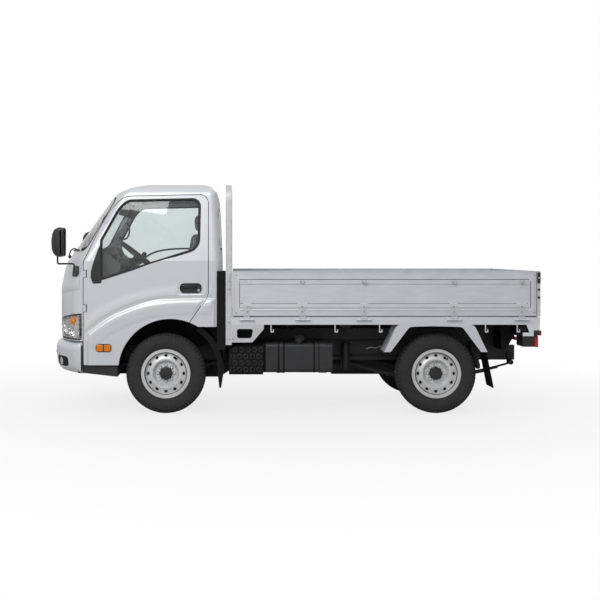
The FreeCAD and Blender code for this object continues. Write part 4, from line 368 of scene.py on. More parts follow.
class Finish:
    """A node material: a principled surface with colour variation and fine relief in object space."""

    def __init__(self, name, colour, roughness, metallic=0.0):
        self.mat = bpy.data.materials.new(name)
        self.mat.use_nodes = True
        self.tree = self.mat.node_tree
        self.tree.nodes.clear()
        self.out = self.node("ShaderNodeOutputMaterial")
        self.shader = self.node("ShaderNodeBsdfPrincipled")
        self.link(self.shader.outputs[0], self.out.inputs[0])
        self.colour = (*colour[:3], 1.0)
        self.set("Base Color", self.colour)
        self.set("Roughness", roughness)
        self.set("Metallic", metallic)
        self.coord = self.node("ShaderNodeTexCoord").outputs["Object"]
        self.bumped = None

    def link(self, a, b):
        self.tree.links.new(a, b)

    def plug(self, socket, value):
        """Links what a node gives to a socket, or sets a plain number or colour there."""
        if hasattr(value, "is_linked"):
            self.link(value, socket)
        else:
            socket.default_value = (*value[:3], 1.0) if hasattr(value, "__len__") else value

    def set(self, socket, value):
        self.shader.inputs[socket].default_value = value
        return self

    def node(self, kind, **values):
        made = self.tree.nodes.new(kind)
        for key, value in values.items():
            if key in made.inputs.keys():
                made.inputs[key].default_value = value
            else:
                setattr(made, key, value)
        return made

    def noise(self, scale, detail=4.0, roughness=0.55, stretch=(1, 1, 1)):
        mapping = self.node("ShaderNodeMapping", Scale=stretch)
        self.link(self.coord, mapping.inputs["Vector"])
        made = self.node("ShaderNodeTexNoise", Scale=scale, Detail=detail, Roughness=roughness)
        self.link(mapping.outputs[0], made.inputs["Vector"])
        return made.outputs["Fac"]

    def ramp(self, value, stops):
        made = self.node("ShaderNodeValToRGB")
        elements = made.color_ramp.elements
        while len(elements) < len(stops):
            elements.new(0.5)
        for element, (place, colour) in zip(elements, stops):
            element.position = place
            element.color = (*colour[:3], 1.0) if hasattr(colour, "__len__") else (colour,) * 3 + (1.0,)
        self.link(value, made.inputs[0])
        return made.outputs[0]

    def mix(self, factor, a, b):
        made = self.node("ShaderNodeMix", data_type="RGBA")
        for index, value in ((0, factor), (6, a), (7, b)):
            self.plug(made.inputs[index], value)
        return made.outputs[2]

    def maths(self, operation, a, b=0.5):
        made = self.node("ShaderNodeMath", operation=operation)
        for socket, value in zip(made.inputs, (a, b)):
            self.plug(socket, value)
        return made.outputs[0]

    def axis(self, index):
        made = self.node("ShaderNodeSeparateXYZ")
        self.link(self.coord, made.inputs[0])
        return made.outputs[index]

    def tint(self, value):
        self.link(value, self.shader.inputs["Base Color"])
        return self

    def rough(self, value, low, high):
        made = self.node("ShaderNodeMapRange", **{"To Min": low, "To Max": high})
        self.link(value, made.inputs[0])
        self.link(made.outputs[0], self.shader.inputs["Roughness"])
        return self

    def bump(self, value, strength, distance):
        made = self.node("ShaderNodeBump", Strength=strength, Distance=distance)
        self.link(value, made.inputs["Height"])
        if self.bumped is not None:
            self.link(self.bumped, made.inputs["Normal"])
        self.bumped = made.outputs[0]
        self.link(self.bumped, self.shader.inputs["Normal"])
        return self

    def worn_edges(self, base, edge_colour, amount):
        """Paler or darker edges, where the surface turns sharply."""
        geometry = self.node("ShaderNodeNewGeometry")
        edge = self.ramp(geometry.outputs["Pointiness"], [(0.52, 0.0), (0.60, 1.0)])
        patch = self.maths("MULTIPLY", edge, self.noise(14.0))
        return self.mix(self.maths("MULTIPLY", patch, amount), base, edge_colour)


def shade(colour, factor):
    """The colour made lighter or darker."""
    return tuple(c * factor for c in colour[:3])


MATERIALS = {}
DIRT_TOP_Z, DIRT_FULL_Z = 0.75, 0.35
LAMP_PLATE_Y, MARKER_X, MARKER_TOP_Z = 0.8375, 2.0145, 0.7145


def silver_paint(paint):
    """The cab's metallic paint: fine flake under a clear coat, with some dirt low down."""
    made = Finish("silver_paint", paint, 0.30, 0.3)
    low_down = made.node("ShaderNodeMapRange")
    low_down.inputs["From Min"].default_value = DIRT_TOP_Z
    low_down.inputs["From Max"].default_value = DIRT_FULL_Z
    made.link(made.axis(2), low_down.inputs[0])
    patches = made.ramp(made.noise(5.0), [(0.35, 0.0), (0.75, 1.0)])
    dirt = made.maths("MULTIPLY", low_down.outputs[0], patches)
    flake = made.ramp(made.noise(900.0, 2.0), [(0.3, shade(paint, 0.95)), (0.7, shade(paint, 1.04))])
    made.tint(made.mix(made.maths("MULTIPLY", dirt, 0.22), flake, (0.30, 0.29, 0.27)))
    made.rough(made.noise(3.0), 0.30, 0.38)
    made.set("Coat Weight", 0.3).set("Coat Roughness", 0.28)
    made.bump(made.noise(600.0, 2.0), 0.02, 0.0003)
    return made.mat


def gate_paint(paint):
    """The duller paint of the gates and the guard frame, with faint streaks and rubbed edges."""
    made = Finish("gate_paint", paint, 0.42, 0.3)
    streaks = made.ramp(made.noise(7.0, 5.0, 0.55, (1, 1, 4)),
                        [(0.35, shade(paint, 0.94)), (0.75, shade(paint, 1.03))])
    made.tint(made.worn_edges(streaks, (0.30, 0.29, 0.28), 0.5))
    made.rough(made.noise(6.0), 0.38, 0.5)
    made.bump(made.noise(240.0, 3.0), 0.05, 0.0005)
    return made.mat


def floor_paint(paint):
    """The deck: a scratched and slightly rusted floor, painted side rails and a near-black underside, partly
    the frame's black and partly painted shade under the deck.
    """
    made = Finish("deck_floor_paint", shade(paint, 0.85), 0.5, 0.3)
    scratches = made.ramp(made.noise(26.0, 8.0, 0.7, (0.15, 3.5, 1)),
                          [(0.46, shade(paint, 0.6)), (0.60, shade(paint, 0.9))])
    rust = made.ramp(made.noise(3.2, 8.0, 0.7), [(0.60, 0.0), (0.72, 0.35)])
    worn = made.mix(rust, scratches, (0.22, 0.17, 0.13))
    across = made.maths("ABSOLUTE", made.axis(1))
    outer = made.maths("GREATER_THAN", across, DECK_RAIL_IN_Y)
    above = made.maths("GREATER_THAN", made.axis(2), DECK_RAIL_LOW_Z)
    rail = made.mix(outer, worn, paint)
    # Inside the rails and below them the colour is near black: partly black paint, partly painted shade under
    # the deck.
    made.tint(made.mix(made.maths("MAXIMUM", outer, above), (0.016, 0.016, 0.017), rail))
    made.rough(made.noise(12.0), 0.42, 0.6)
    made.bump(made.noise(60.0, 6.0), 0.06, 0.0012)
    return made.mat


def wheel_paint(paint):
    """The steel wheels' paint, with brake dust and rubbed edges."""
    made = Finish("wheel_paint", paint, 0.36, 0.35)
    dust = made.ramp(made.noise(18.0, 6.0, 0.65), [(0.4, 0.0), (0.8, 0.6)])
    dusty = made.mix(dust, paint, shade(paint, 0.72))
    made.tint(made.worn_edges(dusty, (0.24, 0.17, 0.12), 0.5))
    made.rough(made.noise(20.0), 0.3, 0.5)
    made.bump(made.noise(300.0), 0.05, 0.0006)
    return made.mat


def tyre_rubber(colour):
    """Dusty black rubber."""
    made = Finish("tyre_rubber", colour, 0.82)
    dust = made.ramp(made.noise(7.0, 8.0, 0.65), [(0.38, 0.0), (0.85, 0.4)])
    made.tint(made.mix(dust, colour, (0.036, 0.034, 0.032)))
    made.rough(made.noise(30.0), 0.7, 0.92)
    made.bump(made.noise(420.0, 4.0), 0.18, 0.0008)
    return made.mat


def lamp_bracket(paint):
    """The tail lamps' black housing, with its outer plate in the gates' paint around a black marker."""
    made = Finish("lamp_bracket", (0.012, 0.012, 0.013), 0.5)
    outer = made.maths("GREATER_THAN", made.maths("ABSOLUTE", made.axis(1)), LAMP_PLATE_Y)
    behind = made.maths("GREATER_THAN", made.axis(0), MARKER_X)
    below = made.maths("LESS_THAN", made.axis(2), MARKER_TOP_Z)
    marker = made.maths("MULTIPLY", behind, below)
    plate = made.maths("MULTIPLY", outer, made.maths("SUBTRACT", 1.0, marker))
    grime = made.ramp(made.noise(9.0, 5.0), [(0.35, 0.010), (0.75, 0.018)])
    made.tint(made.mix(plate, grime, paint))
    made.rough(made.noise(14.0), 0.4, 0.6)
    made.bump(made.noise(260.0, 3.0), 0.1, 0.0005)
    return made.mat


def seat_cloth(colour):
    """Woven cloth: two crossed waves of thread."""
    made = Finish("seat_cloth", colour, 0.9)
    warp = made.node("ShaderNodeTexWave", Scale=160.0, Distortion=0.4)
    weft = made.node("ShaderNodeTexWave", Scale=160.0, Distortion=0.4, bands_direction="Z")
    made.link(made.coord, warp.inputs["Vector"])
    made.link(made.coord, weft.inputs["Vector"])
    weave = made.maths("ADD", warp.outputs["Fac"], weft.outputs["Fac"])
    tone = made.ramp(made.noise(30.0), [(0.3, shade(colour, 0.8)), (0.75, shade(colour, 1.25))])
    made.tint(made.mix(made.maths("MULTIPLY", weave, 0.3), tone, shade(colour, 1.5)))
    made.bump(weave, 0.3, 0.0008)
    made.set("Sheen Weight", 0.25)
    return made.mat


def clear(name, colour, weight, roughness, ior=1.5, coat=0.0):
    """Glass or a clear moulding, with an optional hard coat that shows the sky."""
    made = Finish(name, colour, roughness)
    made.set("Transmission Weight", weight).set("IOR", ior)
    if coat:
        made.set("Coat Weight", coat).set("Coat Roughness", 0.02)
    made.tint(made.ramp(made.noise(4.0, 5.0), [(0.4, shade(colour, 0.97)), (0.8, colour)]))
    made.bump(made.noise(2.0), 0.01, 0.0005)
    return made.mat


def plain(name, colour, low, high, metallic=0.0, grain=500.0, relief=0.12, spread=0.82, dust=0.0,
          specular=0.5):
    """A one-colour surface with uneven tone, roughness between low and high, fine grain and some dust."""
    made = Finish(name, colour, (low + high) / 2, metallic)
    tone = made.ramp(made.noise(11.0, 6.0), [(0.35, shade(colour, spread)), (0.7, shade(colour, 1.12))])
    if dust:
        cover = made.ramp(made.noise(5.0, 7.0, 0.65), [(0.42, 0.0), (0.8, dust)])
        tone = made.mix(cover, tone, (0.16, 0.145, 0.125))
    made.tint(tone)
    made.rough(made.noise(24.0), low, high)
    made.bump(made.noise(grain, 3.0), relief, 0.0006)
    made.set("Specular IOR Level", specular)
    return made.mat


def make_materials(colours):
    """All the truck's finishes, by the keys that the pieces name them with."""
    MATERIALS.update({
        "body": silver_paint(colours.body),
        "gate": gate_paint(colours.gate),
        "deck_floor": floor_paint(colours.gate),
        "wheel": wheel_paint(colours.wheel),
        "rubber": tyre_rubber(colours.rubber),
        "lamp_bracket": lamp_bracket(colours.gate),
        "cloth": seat_cloth(colours.seat),
        "glass": clear("safety_glass", colours.glass, 1.0, 0.0, 1.02, 1.0),
        "lens": clear("clear_lens", (0.95, 0.96, 0.97), 0.97, 0.02, 1.12),
        "amber": clear("amber_lens", colours.amber, 0.35, 0.12),
        "red": clear("red_lens", colours.red, 0.3, 0.12),
        "black_plastic": plain("black_moulding", (0.014, 0.014, 0.015), 0.5, 0.7, dust=0.03),
        "grey_plastic": plain("grained_trim", (0.095, 0.105, 0.102), 0.55, 0.75, grain=700.0, relief=0.3),
        "chassis": plain("chassis_black", (0.011, 0.011, 0.012), 0.42, 0.62, 0.1, dust=0.06),
        "cast": plain("rough_casting", (0.022, 0.021, 0.02), 0.6, 0.85, 0.3, grain=180.0, relief=0.5,
                      dust=0.1),
        "spring": plain("spring_steel", (0.016, 0.016, 0.016), 0.5, 0.7, 0.3, dust=0.1),
        "exhaust": plain("heated_steel", (0.055, 0.052, 0.05), 0.45, 0.65, 0.5, grain=90.0, relief=0.25,
                         spread=0.6),
        "tank": plain("tank_black", (0.023, 0.0235, 0.026), 0.26, 0.42, 0.1, relief=0.04, dust=0.03),
        "bare_steel": plain("zinc_plate", (0.46, 0.45, 0.42), 0.32, 0.5, 0.9, relief=0.08),
        "gloss_black": plain("gloss_black", (0.012, 0.012, 0.013), 0.12, 0.2, relief=0.02),
        "pod_black": plain("pod_black", (0.016, 0.016, 0.018), 0.3, 0.45, relief=0.03),
        "black_rubber": plain("seal_rubber", (0.015, 0.015, 0.015), 0.62, 0.8, relief=0.1),
        # Black for the parts under the body and in hollows, darker than the mirrors' black: their own black
        # with painted shade on top.
        "shade_darkened_black": plain("black_darkened_for_shade", (0.006, 0.006, 0.0065), 0.6, 0.8, relief=0.2, dust=0.02,
                             specular=0.18),
        # The mud flaps' rubber, darker than the other black rubber: painted shade on the flaps, which face
        # up.
        "flap_rubber_darkened_for_shade": plain("flap_rubber_darkened_for_shade", (0.006, 0.006, 0.0062), 0.7, 0.9, relief=0.2, specular=0.08),
        "chrome": plain("bright_plate", (0.78, 0.79, 0.80), 0.05, 0.12, 1.0, relief=0.01, specular=0.6),
        "reflector": plain("lamp_reflector", (0.66, 0.65, 0.63), 0.28, 0.42, 0.8, relief=0.02),
        "mirror": plain("mirror_face", (0.85, 0.87, 0.88), 0.01, 0.03, 1.0, relief=0.0),
    })


FINISH_NODES = {
    "body": ["cab_shell", "front_panel", "door_left", "door_right", "front_bumper", "rear_fenders"],
    "glass": ["door_glass_left", "door_glass_right", "windscreen", "rear_window"],
    "lens": ["headlamps"],
    "grey_plastic": ["cab_floor", "dashboard"],
    "black_plastic": ["cab_steps", "steering_wheel", "mirrors"],
    # The arch liners, the battery box and the intake duct take the black darkened with painted shade.
    "shade_darkened_black": ["arch_liners", "battery_box", "intake_duct"],
    "cloth": ["seats"],
    "chassis": ["ladder_frame", "propeller_shaft"],
    "cast": ["front_axle", "rear_axle", "engine_block", "knuckle_left", "knuckle_right"],
    "spring": ["leaf_springs"],
    "tank": ["fuel_tank"],
    "exhaust": ["exhaust"],
    "deck_floor": ["deck"],
    "gate": ["guard_frame", "side_gate_left", "side_gate_right", "tail_gate"],
    "flap_rubber_darkened_for_shade": ["mud_flaps"],
    "lamp_bracket": ["tail_lamps"],
    "rubber": ["tyre_" + corner for corner in CORNERS],
    "wheel": ["rim_" + corner for corner in CORNERS],
}


# Settings that a user would change


def colour_choice(name, description, default):
    """A colour that the panel shows."""
    return FloatVectorProperty(name=name, description=description, subtype="COLOR", size=3, default=default)


def length_choice(name, description, default):
    """A length that the panel shows."""
    return FloatProperty(name=name, description=description, unit="LENGTH", default=default)


class TruckColours(PropertyGroup):
    body: colour_choice("Cab paint", "Silver metallic paint of the cab", (0.600, 0.622, 0.645))
    gate: colour_choice("Gate paint", "Duller silver paint of the deck and gates", (0.605, 0.628, 0.650))
    wheel: colour_choice("Wheel paint", "Paint of the steel wheels", (0.68, 0.69, 0.70))
    rubber: colour_choice("Tyre rubber", "Colour of the tyres", (0.015, 0.015, 0.0155))
    glass: colour_choice("Glass tint", "Tint of the windows", (0.82, 0.87, 0.86))
    amber: colour_choice("Turn lamps", "Colour of the turn lamp lenses", (0.95, 0.27, 0.012))
    red: colour_choice("Tail lamps", "Colour of the tail lamp lenses", (0.62, 0.02, 0.015))
    seat: colour_choice("Seat cloth", "Colour of the woven seat cloth", (0.10, 0.10, 0.11))


class StudioSettings(PropertyGroup):
    camera_x: length_choice("Camera place", "Camera's place along the truck", -0.503)
    camera_away: length_choice("Camera distance", "Camera's distance from the truck's middle plane", 10.25)
    camera_height: length_choice("Camera height", "Camera's height over the ground", 1.36)
    lens_mm: FloatProperty(name="Lens", description="Focal length in millimetres", default=66.9)
    shift_x: FloatProperty(name="Shift across", description="Sideways shift of the picture", default=0.108)
    shift_y: FloatProperty(name="Shift up", description="Upward shift of the picture", default=-0.077)
    floor_half: length_choice("Floor half size", "Half the floor's side", 40.0)
    floor_glow: FloatProperty(
        name="Floor glow", description="How far the floor near the truck is lifted to white",
        default=0.8, min=0.0, max=1.0)
    sky: FloatProperty(name="Sky light", description="Strength of the all-round light", default=0.66)


class TRUCK_OT_finishes(Operator):
    """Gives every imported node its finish"""

    bl_idname = "truck.finishes"
    bl_label = "Finishes"

    def execute(self, context):
        make_materials(context.scene.truck_colours)
        for finish, nodes in FINISH_NODES.items():
            for name in nodes:
                for place in NODES[name].material_slots:
                    place.material = MATERIALS[finish]
        return {"FINISHED"}


# Surfaces to lay trim on


class Skin:
    """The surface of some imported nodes, to lay trim on."""

    def __init__(self, *nodes):
        verts, faces = [], []
        for name in nodes:
            mesh = NODES[name].data
            base = len(verts)
            verts += [v.co.copy() for v in mesh.vertices]
            faces += [[base + i for i in face.vertices] for face in mesh.polygons]
        self.tree = BVHTree.FromPolygons(verts, faces)

    def hit(self, start, toward):
        """The first point met from start, and None where nothing is met."""
        return self.tree.ray_cast(Vector(start), Vector(toward))[0]

    def side_y(self, x, z, side):
        """How far out the surface lies at (x, z), on one side of the truck."""
        point = self.hit((x, side * FAR_OUT, z), (0, -side, 0))
        return point.y if point else None


def grow(points, distance):
    """The outline with every side moved outward by a distance."""
    n = len(points)
    area = sum(points[i - 1][0] * points[i][1] - points[i][0] * points[i - 1][1] for i in range(n))
    turn = 1 if area > 0 else -1
    lines = []
    for i in range(n):
        (ax, ay), (bx, by) = points[i - 1], points[i]
        length = math.hypot(bx - ax, by - ay)
        nx, ny = turn * (by - ay) / length, -turn * (bx - ax) / length
        lines.append((nx, ny, nx * ax + ny * ay + distance))
    moved = []
    for i in range(n):
        a1, b1, c1 = lines[i]
        a2, b2, c2 = lines[(i + 1) % n]
        cross = a1 * b2 - a2 * b1
        moved.append(((c1 * b2 - c2 * b1) / cross, (a1 * c2 - a2 * c1) / cross))
    return moved


def band(outline, radii, offset, steps=6):
    """The outline grown by an offset, with its corners rounded to suit."""
    return rounded(grow(outline, offset), [max(r + offset, 0.001) if r > 0 else 0 for r in radii], steps)


def door_outline(shares):
    """The door's or window's outline in metres, with its corner radii."""
    points = [(DOOR_FRONT + u * DOOR_LENGTH, DOOR_BASE + v * DOOR_HEIGHT) for u, v, r in shares]
    return points, [r * DOOR_LENGTH for u, v, r in shares]


def add_seal(bm, outline, radii, rows, place, reach):
    """A seal round an outline: each row is an offset from it and a height off the surface there."""
    base = [place(p) for p in band(outline, radii, reach)]
    rings = []
    for offset, lift in rows:
        rings.append([skin_point(a, b, point, out, lift)
                      for (a, b), (point, out) in zip(band(outline, radii, offset), base)])
    add_skin(bm, rings + rings[:1], cap=False)


def skin_point(a, b, point, out, lift):
    """A point at outline place (a, b), as far along out as the guide point, lifted by a height."""
    if abs(out.y) > 0.5:
        return Vector((a, point.y + out.y * lift, b))
    return Vector((point.x + out.x * lift, a, b))


PATCH_STEP, PATCH_ROUNDING = 0.014, 0.004


def add_patch(bm, outline, radii, side, skin, lift, sink, steps=6, rings=4):
    """A thin cover laid on a flank of the cab, following its surface."""
    corners = [Vector(p) for p in rounded(outline, radii, steps)]
    edge = []
    for a, b in zip(corners, corners[1:] + corners[:1]):
        parts = max(1, math.ceil((b - a).length / PATCH_STEP))
        edge += [a.lerp(b, k / parts) for k in range(parts)]
    middle = sum(edge, Vector((0, 0))) / len(edge)

    def row(share, height):
        made = []
        for p in edge:
            q = middle + (p - middle) * share
            y = skin.side_y(q.x, q.y, side)
            made.append(Vector((q.x, (y if y is not None else side * DOOR_OUT) + side * height, q.y)))
        return made

    rounding = PATCH_ROUNDING / max((p - middle).length for p in edge)
    rows = [row(1.0, -sink), row(1.0, lift * 0.5), row(1.0 - rounding, lift)]
    rows += [row((1.0 - rounding) * (1 - k / rings), lift) for k in range(1, rings)]
    verts = add_skin(bm, rows, cap=False)
    bm.faces.new(verts[-1])
    bm.faces.new(list(reversed(verts[0])))


# Windows and doors

WINDOW_SEAL_ROWS = (
    (0.008, -0.001), (0.007, 0.003), (0.001, 0.0045), (-0.011, 0.001), (-0.015, -0.0085), (-0.002, -0.0085),
)
WINDOW_SEAL_REACH = 0.009
SCREEN_SEAL_ROWS = ((0.012, -0.004), (0.010, 0.002), (0.0, 0.0045), (-0.022, 0.001), (-0.026, -0.004))
REAR_SEAL_ROWS = ((0.007, -0.004), (0.005, 0.001), (0.0, 0.0025), (-0.010, 0.001), (-0.014, -0.004))
DOOR_SEAL_OFFSETS = (0.013, 0.0008, 0.0052)
DOOR_SEAL_SINK, DOOR_SEAL_THICK = 0.009, 0.012
HINGE_SEAL_SINK, HINGE_SEAL_END_X = 0.027, -1.735
ARCH_ROOM, SILL_ROOM = 0.004, 0.001
COVER_LIFT, COVER_SINK = 0.0042, 0.002


def make_window_seal(name, side, skin):
    """The black seal round a door's window."""
    points, radii = door_outline(WINDOW_SHARES)

    def place(p):
        return Vector((p[0], skin.side_y(p[0], p[1], side), p[1])), Vector((0, side, 0))

    with piece("window_seal_" + name, "black_rubber", "door_" + name) as bm:
        add_seal(bm, points, radii, WINDOW_SEAL_ROWS, place, WINDOW_SEAL_REACH)


def make_door_seal(name, side):
    """The seal in the gap round a door, open at the sill and over the wheel, and deeper at the hinges."""
    skin = Skin("cab_shell", "front_panel", "door_" + name)
    points, radii = door_outline(DOOR_SHARES)
    guide, inner, outer = (band(points, radii, offset, 8) for offset in DOOR_SEAL_OFFSETS)
    rows = []
    for g, a, b in zip(guide, inner, outer):
        over_wheel = math.hypot(a[0] - ARCH_X, a[1] - ARCH_Z) < ARCH_R + ARCH_ROOM
        if over_wheel or a[1] < DOOR_BASE + SILL_ROOM:
            rows.append(None)
            continue
        y = skin.side_y(g[0], g[1], side) or side * DOOR_OUT
        y -= side * (HINGE_SEAL_SINK if g[0] < HINGE_SEAL_END_X else DOOR_SEAL_SINK)
        deep = y - side * DOOR_SEAL_THICK
        rows.append([Vector((a[0], y, a[1])), Vector((b[0], y, b[1])),
                     Vector((b[0], deep, b[1])), Vector((a[0], deep, a[1]))])
    start = rows.index(None)
    with piece("door_seal_" + name, "black_rubber") as bm:
        for run in runs_of(rows[start:] + rows[:start]):
            add_skin(bm, run)


def make_glass_seal(name, nodes, start_x, toward, outline, radius, rows):
    """The seal round the windscreen or the rear window, which looks along the truck."""
    skin = Skin(*nodes)

    def place(p):
        return skin.hit((start_x, p[0], p[1]), (toward, 0, 0)), Vector((-toward, 0, 0))

    with piece(name, "black_rubber") as bm:
        add_seal(bm, outline, [radius] * len(outline), rows, place, 0.0)


class TRUCK_OT_window_trim(Operator):
    """Lays the seals round the doors, the side windows, the windscreen and the rear window"""

    bl_idname = "truck.window_trim"
    bl_label = "Window trim"

    def execute(self, context):
        for name, side in SIDES.items():
            skin = Skin("door_" + name)
            make_window_seal(name, side, skin)
            with piece("quarter_panel_" + name, "black_plastic", "door_" + name) as bm:
                add_patch(bm, QUARTER_PANEL, QUARTER_RADII, side, skin, COVER_LIFT, COVER_SINK, rings=14)
            make_door_seal(name, side)
        make_glass_seal("windscreen_seal", ("windscreen", "cab_shell"), AHEAD_X, 1, SCREEN, SCREEN_R,
                        SCREEN_SEAL_ROWS)
        make_glass_seal("rear_window_seal", ("rear_window", "cab_shell"), 0.0, -1, REAR_WINDOW, REAR_WINDOW_R,
                        REAR_SEAL_ROWS)
        return {"FINISHED"}


# Wheels


def build_tyre(bm, centre):
    """A tyre with circumferential grooves, shoulder lugs and ribbed sidewalls."""
    axis = Vector((0, 1, 0))
    shares = [(lug + phase) / TYRE_LUGS for lug in range(TYRE_LUGS) for phase in LUG_PHASES]
    section = mirrored(TYRE_PROFILE)
    rings = []
    for k, radial in enumerate(spokes(axis, shares)):
        notch = k % len(LUG_PHASES) >= 2
        ring = []
        for d, r, kind in section:
            if kind == LUG and notch:
                r -= LUG_DEPTH
            if kind == GROOVE:
                d += ZIGZAG if notch else -ZIGZAG
            ring.append(centre + axis * d + radial * r)
        rings.append(ring)
    add_closed_grid(bm, rings)


def wheel_place(corner):
    """A wheel's middle, its outward direction and its body."""
    low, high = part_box("tyre_" + corner)
    return (Vector(low) + Vector(high)) / 2, Vector((0, SIDES[corner.split("_")[1]], 0)), "wheel_" + corner


class TRUCK_OT_tyres(Operator):
    """Makes the treaded tyres, the hub caps and the valves"""

    bl_idname = "truck.tyres"
    bl_label = "Tyres"

    def execute(self, context):
        for corner in CORNERS:
            centre, out, body = wheel_place(corner)
            with piece("tyre_tread_" + corner, "rubber", body, "tyre_" + corner, sharp=32.0) as bm:
                build_tyre(bm, centre)
            with piece("hub_cap_" + corner, "black_plastic", body) as bm:
                add_lathe(bm, centre + out * DISC_FACE_OUT, out, HUB_CAP)
            root = centre + out * VALVE_OUT + Vector((VALVE_R * 0.6, 0, VALVE_R * 0.8))
            tip = root + out * VALVE_LEAN[1] - Vector((VALVE_LEAN[0], 0, VALVE_LEAN[2]))
            with piece("valve_" + corner, "black_rubber", body) as bm:
                add_tube(bm, [root, root.lerp(tip, 0.5), tip], VALVE_THICK, 12)
        return {"FINISHED"}


# Mirrors

# Pod: places across it, from its middle, as shares of half its width, each with its depth and height there
POD_SHARES = ((0.0, 1.0, 1.0), (0.5, 0.94, 0.995), (0.82, 0.76, 0.965), (0.96, 0.52, 0.90), (1.0, 0.30, 0.80))
POD_SIDE_SHARES = (
    (0.0, 1.0), (0.38, 0.98), (0.72, 0.86), (0.92, 0.55), (1.0, 0.10), (0.97, -0.38), (0.84, -0.74),
    (0.60, -0.94), (0.32, -1.0), (0.0, -1.0),
)
POD_DEPTH, POD_HALF_W, POD_HALF_H, POD_CORNER_R = 0.100, 0.0865, 0.124, 0.016
MIRROR_CORNER_R, MIRROR_RIM = 0.032, 0.008
MIRROR_ARM = (
    (-1.986, 0.940, 1.340), (-1.986, 0.940, 1.300), (-1.982, 0.936, 1.279), (-1.960, 0.918, 1.277),
    (-1.888, 0.862, 1.277), (-1.866, 0.847, 1.272), (-1.861, 0.8445, 1.250), (-1.861, 0.8445, 1.200),
)
MIRROR_BASE = [
    (-1.896, 1.166), (-1.888, 1.246), (-1.868, 1.260), (-1.829, 1.258), (-1.826, 1.190), (-1.846, 1.166),
]
ARM_R = 0.0075


def make_mirror_head(name, side):
    """The D-shaped pod, its glass and the rim round the glass."""
    y = side * MIRROR_Y
    rings = []
    for across, deep, tall in mirrored(POD_SHARES):
        outline = [(MIRROR_BACK_X - 0.004 - d * deep * POD_DEPTH, MIRROR_Z + h * tall * POD_HALF_H)
                   for d, h in POD_SIDE_SHARES]
        rings.append(xz(rounded(outline, POD_CORNER_R, 3), y + across * POD_HALF_W))
    stands_for = "mirrors" if side < 0 else None
    with piece("mirror_pod_" + name, "pod_black", BODY, stands_for, sharp=40.0) as bm:
        add_skin(bm, rings)

    outline = rectangle(y - MIRROR_HALF_W, MIRROR_Z - MIRROR_HALF_H,
                        y + MIRROR_HALF_W, MIRROR_Z + MIRROR_HALF_H)
    inner = rounded(outline, MIRROR_CORNER_R)
    outer = rounded(grow(outline, MIRROR_RIM), MIRROR_CORNER_R + 0.006)
    with piece("mirror_face_" + name, "mirror", bevel=0.001) as bm:
        add_prism(bm, yz(inner, MIRROR_BACK_X - 0.006), (0.004, 0, 0))
    rows = [yz(outer, MIRROR_BACK_X - 0.007), yz(outer, MIRROR_BACK_X + 0.006),
            yz(inner, MIRROR_BACK_X + 0.008), yz(inner, MIRROR_BACK_X - 0.007)]
    with piece("mirror_rim_" + name, "pod_black", bevel=0.001) as bm:
        add_skin(bm, rows + rows[:1], cap=False)


class TRUCK_OT_mirrors(Operator):
    """Makes the mirrors: D-shaped pods, glass, bent arms and bases"""

    bl_idname = "truck.mirrors"
    bl_label = "Mirrors"

    def execute(self, context):
        for name, side in SIDES.items():
            make_mirror_head(name, side)
            with piece("mirror_arm_" + name, "pod_black") as bm:
                add_tube(bm, smooth_path([(x, side * away, z) for x, away, z in MIRROR_ARM], 5), ARM_R)
            with piece("mirror_base_" + name, "pod_black", bevel=0.004, segments=3) as bm:
                add_patch(bm, MIRROR_BASE, 0.012, side, Skin("cab_shell", "front_panel"), 0.016, 0.004)
        return {"FINISHED"}


# What is on the doors

LENS_GAP = 0.005
LOCK = (
    (0.0115, 0.0), (0.0115, 0.005), (0.010, 0.0065), (0.003, 0.0065), (0.003, 0.0055), (0.0, 0.0055),
)
HANDLE_RIM, HANDLE_RIM_OUT = 0.009, 0.007
GRIP_LOW, GRIP_HIGH, GRIP_OUT = 0.002, 0.027, 0.011


class TRUCK_OT_side_lamps(Operator):
    """Makes the amber lamps on the doors"""

    bl_idname = "truck.side_lamps"
    bl_label = "Side lamps"

    def execute(self, context):
        (x0, z0), (x1, z1) = REPEATER[0], REPEATER[2]
        middle = (x0 + x1) / 2
        for name, side in SIDES.items():
            skin, door = Skin("door_" + name), "door_" + name
            for part, a, b in (("front", x0, middle - LENS_GAP / 2), ("rear", middle + LENS_GAP / 2, x1)):
                label = "side_repeater_%s_%s" % (part, name)
                with piece(label, "amber", door, bevel=0.002) as bm:
                    add_patch(bm, rectangle(a, z0, b, z1), 0.012, side, skin, 0.012, 0.003)
            with piece("repeater_base_" + name, "black_plastic", door) as bm:
                add_patch(bm, grow(REPEATER, 0.006), 0.024, side, skin, 0.003, 0.003)
        return {"FINISHED"}


